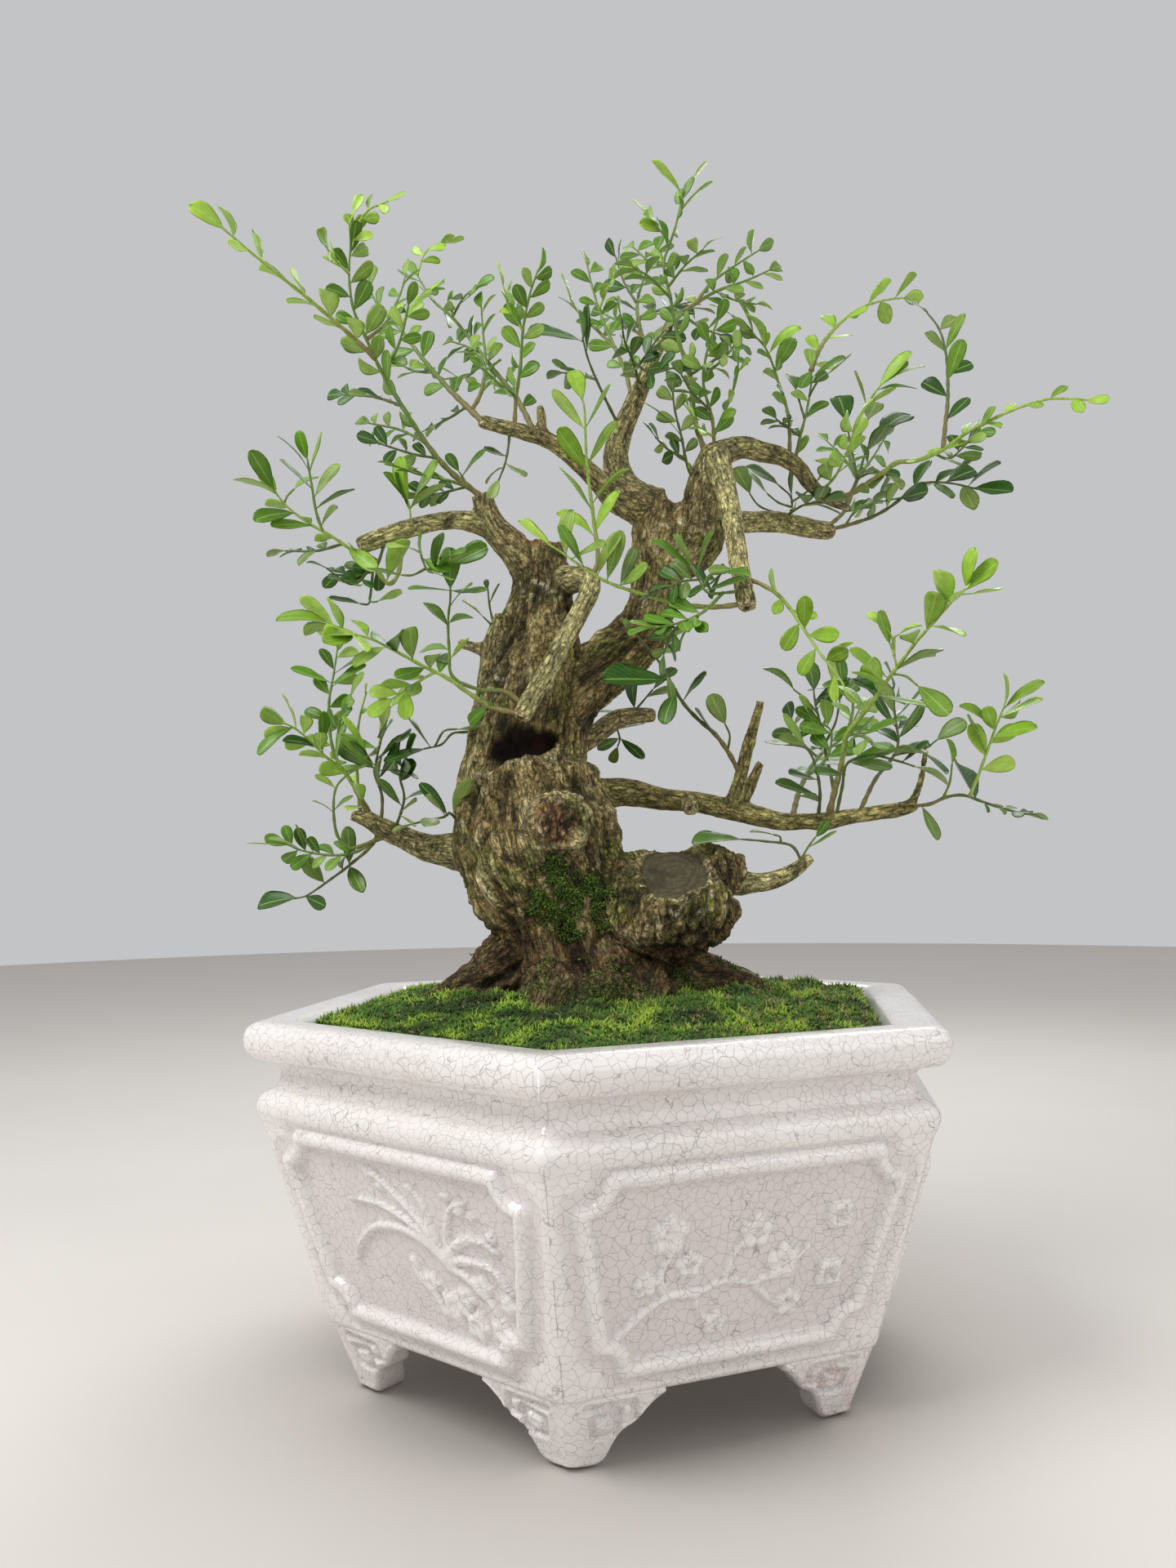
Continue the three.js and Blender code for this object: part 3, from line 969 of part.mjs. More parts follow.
    ['mid', 12, 3, 0.2, -25, [105, 276], [108, 290], [103, 300]],
    ['mid', 12, 3, 0.2, 20, [104, 270], [110, 276], [116, 273]],
  ],
  low_right_left_shoot: [
    ['dark', 11, 1, 1, 18, [92, 237], [93, 250], [91, 262], [87, 270], [79, 272]],
    ['dark', 11, 1, 1, 3, [92, 256], [89, 257]],
    ['dark', 11, 1, 1, 5, [93, 246], [90, 246]],
    ['dark', 12, 1, 1, 4, [93, 248], [85, 252]],
    ['dark', 9, 1, 1, -4, [91, 262], [95, 264]],
    ['mid', 10, 1, 1, 2, [87, 270], [84, 275]],
    ['mid', 11, 3, 0.3, -10, [91.5, 260], [97, 268], [98, 278], [93, 282]],
  ],
  low_right_tall_shoot: [
    ['dark', 17, 2, 0.9, -20, [98, 238], [99, 252], [96, 266], [94, 278], [91, 290], [90, 298]],
    ['mid', 15, 1, 1, 4, [92, 286], [86, 293], [81, 297]],
    ['dark', 13, 1, 1, 6, [92, 288], [97, 293]],
    ['mid', 15, 1, 1, 4, [94, 278], [88, 283]],
    ['mid', 14, 1, 1, -8, [94, 279], [98, 290], [99, 300]],
    ['dark', 12, 1, 1, -6, [95, 272], [100, 282], [102, 292]],
    ['dark', 12, 3, 0.2, -25, [91, 290], [99, 300], [110, 302]],
  ],
  low_right_wide_shoot: [
    ['dark', 18, 1, 1, 30, [100, 238], [103, 252], [106, 264], [120, 268], [124, 268]],
    ['dark', 18, 1, 1, 6, [106, 264], [112, 263]],
    ['dark', 17, 1, 1, 6, [104, 258], [99, 257]],
    ['dark', 14, 1, 1, 4, [118, 267.5], [130, 264], [136, 262]],
    ['dark', 10, 1, 1, 2, [130, 264], [133, 265]],
    ['mid', 11, 1, 1, 2, [106, 264], [114, 266]],
  ],
  low_right_upper_shoot: [
    ['dark', 14, 3, 0.5, -38, [110, 240], [118, 256], [128, 270], [127, 286], [126, 298]],
    ['dark', 14, 1, 1, 6, [128, 280], [122, 287]],
    ['dark', 12, 1, 1, 4, [127.5, 284], [132, 287]],
    ['dark', 15, 1, 1, 6, [128, 274], [133, 281]],
    ['dark', 13, 1, 1, 10, [126, 267], [140, 270], [146, 274]],
    ['dark', 11, 1, 1, 8, [138, 269.5], [144, 266]],
  ],
  low_right_end_shoot: [
    ['dark', 7, 4, 0.6, 18, [134, 244], [143, 245], [150, 248], [158, 249], [167, 246], [176, 243],
      [184, 241], [190, 240]],
    ['dark', 28, 1, 1, -2, [164, 247], [163, 248.5]],
    ['dark', 9, 1, 1, 2, [139, 244.5], [141, 240]],
    ['mid', 10, 1, 1, 6, [149, 247.5], [152, 255], [153, 263]],
    ['young', 13, 3, 0.3, 10, [161, 248.5], [165, 258], [169, 269], [173, 280], [177, 290]],
    ['young', 14, 1, 1, 2, [176.5, 289], [180, 291]],
    ['young', 13, 1, 1, 2, [172.5, 279], [170, 282]],
    ['young', 14, 1, 1, 2, [174.5, 284], [178, 285]],
    ['young', 12, 1, 1, 2, [168.5, 268], [165, 272]],
    ['young', 13, 1, 1, 2, [171, 274.5], [175, 276]],
  ],
  low_right_back_shoot: [
    ['mid', 11, 5, 0.3, -88, [80, 237], [84, 252], [92, 266], [104, 276], [112, 290]],
    ['dark', 10, 3, 0.2, -25, [92, 266], [84, 274], [80, 284]],
    ['mid', 10, 3, 0.2, -30, [104, 276], [116, 278], [126, 284]],
  ],
};

const LEAF_ANGLE = THREE.MathUtils.degToRad(52);
const LEAF_WIDTH = { young: 0.52, mid: 0.5, dark: 0.54 };
const LEAF_THICKNESS = 0.9;
const LAST_LEAF_SHARE = 0.96;
const TIP_LENGTH = 2;
const LEAF_TURNS = [0, 35, -35, 70, -70, 105, -105, 150].map(THREE.MathUtils.degToRad);

// The point of a drawn path that lies nearest to across, up, a little short of its thin tip, and how far off
// it is.
function nearestOn(path, across, up) {
  let best = { off: Infinity, place: path[0] };
  for (let i = 0; i + 1 < path.length; i += 1) {
    const [a, b] = [path[i], path[i + 1]];
    const run = [b[0] - a[0], b[1] - a[1]];
    const share = ((across - a[0]) * run[0] + (up - a[1]) * run[1]) / (run[0] ** 2 + run[1] ** 2);
    const most = i + 2 === path.length ? Math.max(0.5, 1 - TIP_LENGTH / Math.hypot(...run)) : 1;
    const t = Math.min(most, Math.max(0, share));
    const place = a.slice(0, 3).map((value, axis) => value + (b[axis] - value) * t);
    const off = Math.hypot(place[0] - across, place[1] - up);
    if (off < best.off) best = { off, place };
  }
  return best;
}

// Gives a stem's points their depth: it starts on what carries it and then changes evenly with its length.
function graft(points, change, carriers) {
  const start = carriers
    .map((path) => nearestOn(path, ...points[0]))
    .reduce((a, b) => (b.off < a.off ? b : a)).place;
  const drawn = [start.slice(0, 2), ...points.slice(1)];
  const steps = drawn.slice(1).map((point, i) => Math.hypot(point[0] - drawn[i][0], point[1] - drawn[i][1]));
  const length = steps.reduce((a, b) => a + b);
  let gone = 0;
  return drawn.map((point, i) => {
    gone += i > 0 ? steps[i - 1] : 0;
    return [...point, start[2] + change * gone / length];
  });
}

// The stems of one shoot, each with its path, its run in space and the leaves that it is to carry.
function drawnStems(rows) {
  const limbs = Object.values(LIMBS);
  const paths = [];
  return rows.map(([tone, size, count, bare, change, ...points], row) => {
    const path = graft(points, change, row === 0 ? limbs : paths);
    paths.push(path);
    const run = path.map((place) => sight(...place));
    const length = run.slice(1).reduce((sum, point, i) => sum + point.distanceTo(run[i]), 0);
    const loneLeaf = count === 1 && points.length === 2;
    return { tone, size, count, bare, path, run, length, row, loneLeaf };
  });
}

function stemRadius(stem, share) {
  const base = Math.min(1.5, 0.5 + 0.008 * stem.length);
  return base + (0.45 - base) * share;
}

function stemSolid(stem) {
  const radii = stem.run.map((point, i) => stemRadius(stem, i / (stem.run.length - 1)));
  return solidFrom(tube(stem.run, radii, STEM_SIDES, true));
}

// The place, direction and depth at a share of a stem's length.
function along(stem, share) {
  let left = share * stem.length;
  for (let i = 0; i + 1 < stem.run.length; i += 1) {
    const step = stem.run[i + 1].distanceTo(stem.run[i]);
    if (left <= step || i + 2 === stem.run.length) {
      const t = Math.min(1, left / step);
      const towards = stem.path[i][2] + (stem.path[i + 1][2] - stem.path[i][2]) * t;
      return {
        place: stem.run[i].clone().lerp(stem.run[i + 1], t),
        heading: stem.run[i + 1].clone().sub(stem.run[i]).normalize(),
        towards,
      };
    }
    left -= step;
  }
  return null;
}

// The upper side of a spray of leaves: mostly skywards and towards the light in front, square to the stem.
function sprayNormal(heading, seed) {
  const lean = new THREE.Vector3(chance(seed) - 0.5, chance(seed + 1) - 0.5, chance(seed + 2) - 0.5);
  const normal = new THREE.Vector3()
    .addScaledVector(UP, 0.7)
    .addScaledVector(AWAY, -0.6)
    .addScaledVector(lean, 0.9);
  return normal.addScaledVector(heading, -normal.dot(heading)).normalize();
}

// Leaves of one stem: base point, direction, upper side and size. They alternate, and the last one ends the
// stem.
function leavesOf(stem, seed) {
  const leaves = [];
  for (let i = 0; i < stem.count; i += 1) {
    const last = i === stem.count - 1;
    const share = stem.count === 1 ? 1 : stem.bare + (1 - stem.bare) * i / (stem.count - 1);
    const { place, heading, towards } = along(stem, stem.loneLeaf ? 0 : Math.min(share, LAST_LEAF_SHARE));
    const pick = seed + 17 * i;
    const normal = sprayNormal(heading, seed).applyAxisAngle(heading, 0.5 * i * (chance(seed + 3) - 0.5));
    const side = heading.clone().cross(normal).multiplyScalar(i % 2 === 0 ? 1 : -1);
    const angle = last ? 0.12 * (chance(pick) - 0.5) : LEAF_ANGLE * (0.75 + 0.5 * chance(pick));
    const direction = heading.clone().multiplyScalar(Math.cos(angle))
      .addScaledVector(side, Math.sin(angle))
      .addScaledVector(normal, 0.35 * (chance(pick + 5) - 0.4))
      .normalize();
    const blade = stem.size * nearness(towards) * (last ? 1 : 0.75 + 0.35 * chance(pick + 7));
    const length = blade + (stem.loneLeaf ? stem.length : 0);
    const face = normal.clone().applyAxisAngle(direction, 0.9 * (chance(pick + 9) - 0.5));
    face.addScaledVector(direction, -face.dot(direction)).normalize();
    leaves.push({ place, heading, direction, face, length, width: blade * LEAF_WIDTH[stem.tone] });
  }
  return leaves;
}

// One leaf as a folded blade with a keel along its middle, turned about its stem if need be.
function leafSolid(leaf, turn) {
  const direction = leaf.direction.clone().applyAxisAngle(leaf.heading, turn);
  const face = leaf.face.clone().applyAxisAngle(leaf.heading, turn);
  const across = direction.clone().cross(face);
  const widest = leaf.place.clone()
    .addScaledVector(direction, leaf.length * 0.6)
    .addScaledVector(face, LEAF_THICKNESS);
  const base = leaf.place;
  const tip = leaf.place.clone().addScaledVector(direction, leaf.length);
  const left = widest.clone().addScaledVector(across, leaf.width / 2);
  const right = widest.clone().addScaledVector(across, -leaf.width / 2);
  const geometry = new THREE.BufferGeometry().setFromPoints([base, tip, left, right]);
  geometry.setIndex([0, 1, 2, 0, 3, 1, 0, 2, 3, 1, 3, 2]);
  return solidFrom(geometry);
}

function boxesMeet(a, b, margin) {
  return [0, 1, 2].every((axis) => a.min[axis] - margin < b.max[axis] && b.min[axis] - margin < a.max[axis]);
}

// Builds every shoot: first all stems, then the leaves, each turned until it is clear of the rest or left
// out.
function shootSolids(tree, obstacles) {
  const taken = obstacles.map((solid) => ({ owner: '', solid, box: solid.boundingBox() }));
  const shoots = Object.entries(SHOOTS).map(([name, rows], order) => {
    const stems = drawnStems(rows);
    const woody = largestPiece(join(stems.filter((stem) => !stem.loneLeaf).map(stemSolid)).subtract(tree));
    return { name, stems, woody, order };
  });
  for (const { name, woody } of shoots) {
    taken.push({ owner: name, solid: woody, box: woody.boundingBox() });
  }
  return shoots.map(({ name, stems, woody, order }) => {
    const blades = [];
    for (const stem of stems) {
      for (const leaf of leavesOf(stem, 1000 * order + 100 * stem.row)) {
        for (const turn of LEAF_TURNS) {
          const blade = leafSolid(leaf, turn);
          const box = blade.boundingBox();
          const near = taken.filter((other) => other.owner !== name && boxesMeet(other.box, box, 0.1));
          if (near.every((other) => other.solid.intersect(blade).isEmpty())) {
            blades.push(blade);
            taken.push({ owner: name, solid: blade, box });
            break;
          }
        }
      }
    }
    return { name, solid: largestPiece(join([woody, ...blades])), tone: stems[0].tone };
  });
}

// Finishes
const finish = (color, roughness) => new THREE.MeshStandardMaterial({ color, roughness, metalness: 0 });
const GLAZE = finish(0xe9e6e4, 0.18);
const BARK = finish(0xa8946a, 0.9);
const MOSS = finish(0x4c7324, 0.95);
const SOIL = finish(0x3a2c20, 0.97);
const BLACK_PLASTIC = finish(0x202020, 0.6);
const LEAF_FINISH = {
  young: finish(0x86b53c, 0.42),
  mid: finish(0x4f8a30, 0.4),
  dark: finish(0x2f5e2b, 0.36),
};

function piece(name, geometry, material) {
  const mesh = new THREE.Mesh(geometry, material);
  mesh.name = name;
  return mesh;
}

// Assembly
const clearTree = treeSolid(GAP);
const moss = mossMound().subtract(clearTree);
const trunkMoss = largestPiece(trunkMossSolid().subtract(clearTree));
const bonsai = new THREE.Group();
bonsai.add(piece('pot', geometryFrom(potSolid()), GLAZE));
bonsai.add(piece('drain_mesh', geometryFrom(drainMesh()), BLACK_PLASTIC));
bonsai.add(piece('soil', geometryFrom(soilSolid(clearTree)), SOIL));
bonsai.add(piece('moss', geometryFrom(largestPiece(moss)), MOSS));
bonsai.add(piece('trunk', geometryFrom(treeSolid(0)), BARK));
bonsai.add(piece('trunk_moss', geometryFrom(trunkMoss), MOSS));
for (const { name, solid, tone } of shootSolids(clearTree, [clearTree, moss, trunkMoss])) {
  bonsai.add(piece(name, geometryFrom(solid), LEAF_FINISH[tone]));
}

// The origin goes to the middle of the footprint, on the ground.
const extent = new THREE.Box3().setFromObject(bonsai, true);
bonsai.position.set(-(extent.min.x + extent.max.x) / 2, -(extent.min.y + extent.max.y) / 2, -extent.min.z);

export default bonsai;
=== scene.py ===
"""Orange jasmine bonsai in a six-sided, white crackle-glazed pot: glaze, bark, moss and leaves.

Laid out as an add-on with one operator for each piece or group of like pieces. Shapes are drawn in
millimetres about the pot's axis, with +Z up and the pot's front corner towards -Y, and go into the
meshes in metres. Lengths in properties are in millimetres too.
"""

import math
from types import SimpleNamespace

import bpy
import numpy as np
from mathutils import Matrix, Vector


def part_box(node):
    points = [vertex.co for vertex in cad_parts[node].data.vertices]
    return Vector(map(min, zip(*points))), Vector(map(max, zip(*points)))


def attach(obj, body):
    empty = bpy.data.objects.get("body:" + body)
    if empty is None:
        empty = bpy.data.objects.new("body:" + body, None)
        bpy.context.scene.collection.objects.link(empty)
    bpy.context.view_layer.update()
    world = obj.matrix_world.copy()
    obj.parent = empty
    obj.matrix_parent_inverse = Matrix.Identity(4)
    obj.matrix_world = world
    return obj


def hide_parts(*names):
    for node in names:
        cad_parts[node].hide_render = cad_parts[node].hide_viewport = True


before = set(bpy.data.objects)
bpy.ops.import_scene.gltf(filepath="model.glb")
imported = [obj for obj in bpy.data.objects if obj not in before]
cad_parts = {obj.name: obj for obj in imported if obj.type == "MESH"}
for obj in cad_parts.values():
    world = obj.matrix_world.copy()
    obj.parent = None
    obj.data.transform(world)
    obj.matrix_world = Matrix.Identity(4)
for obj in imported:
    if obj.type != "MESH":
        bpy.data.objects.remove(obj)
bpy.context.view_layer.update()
POT_LOW, POT_HIGH = (np.array(corner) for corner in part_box("pot"))

bl_info = {
    "name": "Orange Jasmine Bonsai",
    "version": (1, 0, 0),
    "blender": (4, 5, 0),
    "location": "3D View > Sidebar > Bonsai",
    "description": "Builds a bonsai tree with its glazed pot, bark, moss and leaves",
    "category": "Add Mesh",
}

MM = 0.001
POT_PLACE = np.array([(POT_LOW[0] + POT_HIGH[0]) / 2, (POT_LOW[1] + POT_HIGH[1]) / 2, 0.0])

# The point of view that the tree's limbs and shoots are drawn from: across to the right and up, on an
# upright plane through the pot's axis, with a depth towards the eye.
EYE_DISTANCE = 536.0
EYE_HEIGHT = 211.0
EYE_SIDE = -8.2
EYE_TURN = math.radians(9.19)
EYE_TILT = math.radians(3.94)
EYE_ROLL = math.radians(-0.9)
UP = np.array([0.0, 0.0, 1.0])
RIGHT = np.array([math.cos(EYE_TURN), math.sin(EYE_TURN), 0.0])
AWAY = np.array([-math.sin(EYE_TURN), math.cos(EYE_TURN), 0.0])
EYE = AWAY * -EYE_DISTANCE + RIGHT * EYE_SIDE + UP * EYE_HEIGHT
LOOK = AWAY * math.cos(EYE_TILT) + UP * math.sin(EYE_TILT)
LOOK_UP = UP * math.cos(EYE_TILT) - AWAY * math.sin(EYE_TILT)
PICTURE_RIGHT = RIGHT * math.cos(EYE_ROLL) + LOOK_UP * math.sin(EYE_ROLL)
PICTURE_UP = LOOK_UP * math.cos(EYE_ROLL) - RIGHT * math.sin(EYE_ROLL)
PLANE_DISTANCE = EYE_DISTANCE * math.cos(EYE_TILT)

# Limbs of the tree, each a list of (across, up, towards, radius).
LIMBS = {
    "main_trunk": [(-6, 128, 8, 42), (-8, 150, 8, 46), (-12, 168, 8, 36), (-17, 182, 8, 31),
        (-22, 198, 6, 33), (-31, 215, 5, 37), (-36, 232, 4, 38), (-39, 250, 3, 33), (-41, 264, 2, 27),
        (-38, 285, 0, 26), (-36, 305, 0, 22), (-34, 325, 0, 16), (-33, 345, 0, 13.5), (-34, 363, 1, 10)],
    "front_burl": [(-27, 238, 12, 20), (-27, 236, 36, 14), (-27, 236, 46, 8)],
    "rear_left_ridge": [(-52, 275, -8, 12), (-54, 295, -10, 9), (-54, 315, -12, 7), (-51, 331, -12, 4)],
    "left_root": [(-22, 186, 6, 20), (-46, 171, 6, 17), (-60, 164, 6, 12), (-70, 160, 6, 8.5),
        (-80, 158, 5, 5.5), (-90, 155, 4, 2.5)],
    "right_root": [(8, 165, 6, 26), (32, 163, 6, 15), (46, 163, 4, 12), (58, 164, 2, 6.5), (67, 161, 0, 3)],
    "front_left_root": [(-20, 165, 18, 22), (-30, 153, 42, 12), (-35, 143, 60, 5)],
    "front_right_root": [(8, 165, 18, 20), (14, 152, 42, 11), (20, 142, 58, 5)],
    "rear_left_root": [(-22, 165, -12, 22), (-34, 158, -42, 12), (-42, 153, -62, 5)],
    "rear_right_root": [(12, 165, -12, 20), (24, 158, -40, 11), (32, 153, -58, 5)],
    "knob": [(2, 200, 10, 22), (18, 199, 22, 25), (32, 200, 28, 25), (44, 200, 26, 18), (50, 202, 24, 10)],
    "knob_crown": [(34, 208, 16, 14), (44, 213, 14, 15), (51, 214, 12, 11), (56, 213, 10, 7)],
    "knob_twig": [(54, 208, 12, 5.5), (62, 209, 14, 5), (71, 210, 16, 4.5), (80, 214, 18, 3.8),
        (89, 221, 20, 2.6)],
    "left_branch": [(-52, 222, 0, 13), (-66, 223, -4, 9.5), (-75, 224, -8, 8), (-85, 225, -12, 6.5),
        (-95, 229, -14, 5.5), (-104, 233, -14, 5), (-112, 238, -14, 4), (-120, 240, -14, 2.4)],
    "low_right_branch": [(-24, 252, -6, 9), (-8, 250, -14, 7.5), (8, 250, -18, 6.5), (22, 247, -16, 5.4),
        (36, 246, -12, 5), (50, 243, -8, 5), (62, 240, -4, 5), (75, 237, 2, 4.4), (86, 237, 8, 4),
        (95, 237, 12, 4.6), (106, 239, 16, 3.8), (120, 241, 20, 3.6), (131, 243, 24, 3.4),
        (137, 245, 26, 3)],
    "low_right_knot": [(34, 246, -12, 4.4), (34, 243, -3, 4)],
    "low_right_stub": [(53, 244, -6, 4.4), (56, 254, -3, 3.4), (60, 270, 0, 3), (64, 284, 2, 2.6),
        (66, 292, 3, 2.2)],
    "low_right_dead_stub": [(56, 243, -6, 3.6), (61, 253, -10, 3.2), (66, 264, -14, 2.2)],
    "low_right_end_stub": [(134, 244, 25, 2.4), (138, 253, 22, 2), (140, 262, 20, 1.7),
        (141, 273, 18, 1.2)],
    "small_right_limb": [(-20, 272, -12, 7), (-10, 276, -20, 5), (0, 283, -26, 4.6), (9, 285, -30, 4),
        (18, 285, -34, 3.4)],
    "small_left_limb": [(-48, 311, -8, 4), (-60, 315, -14, 3.2), (-71, 318, -20, 2.4)],
    "crossing_stub": [(-30, 345, 2, 8), (-14, 347, 12, 6), (-12, 341, 18, 5), (-20, 325, 26, 4.8),
        (-30, 307, 33, 4.8), (-38, 293, 38, 4.8), (-43, 284, 41, 4.6)],
    "left_limb": [(-35, 348, 0, 11), (-46, 361, 4, 8), (-56, 372, 8, 6.4), (-61, 386, 11, 4.8)],
    "pale_left_branch": [(-58, 371, 8, 5.4), (-70, 374, 13, 4.6), (-82, 373, 18, 4.2), (-94, 370, 22, 4.4),
        (-106, 366, 26, 4.6), (-117, 362, 29, 4)],
    "right_limb": [(-26, 288, 0, 19), (-13, 301, -2, 15), (0, 311, -4, 13), (11, 321, -6, 12.5),
        (17, 335, -8, 11.5), (20, 350, -8, 12), (22, 366, -8, 13.5), (24, 380, -8, 13)],
    "right_crotch": [(30, 352, -8, 9), (38, 366, -8, 12), (40, 382, -5, 10), (43, 396, 0, 8.4),
        (46, 407, 4, 6.4)],
    "dark_left_limb": [(20, 378, -8, 11), (8, 382, -6, 9), (-3, 386, -2, 7)],
    "left_crown_limb": [(-2, 386, -2, 6.4), (-9, 393, 4, 5), (-20, 403, 10, 4.4), (-30, 410, 16, 4),
        (-42, 414, 22, 3.8), (-62, 419, 30, 3.2)],
    "left_crown_stub": [(-33, 411, 18, 3), (-34, 426, 20, 2)],
    "crown_limb": [(12, 382, -10, 9), (4, 390, -14, 7), (0, 401, -18, 6.2), (2, 412, -20, 5.6),
        (7, 424, -22, 4.8), (12, 435, -24, 4.2), (17, 447, -26, 3.4), (22, 457, -28, 2.8),
        (27, 469, -30, 2)],
    "hanging_stub": [(46, 404, 4, 6.4), (51, 385, 18, 5.2), (55, 362, 32, 4.8), (58, 345, 41, 4.6),
        (60, 334, 46, 4.8)],
    "right_branch": [(45, 403, 2, 7), (57, 407, -4, 5.4), (66, 405, -8, 4.8), (75, 403, -12, 4.4),
        (83, 398, -15, 4), (89, 390, -18, 3.6), (97, 383, -21, 2.8), (107, 379, -24, 1.8)],
    "rear_right_branch": [(38, 370, -12, 8), (57, 373, -28, 5.4), (75, 373, -42, 5), (90, 370, -52, 4.6),
        (98, 369, -58, 4.2)],
}

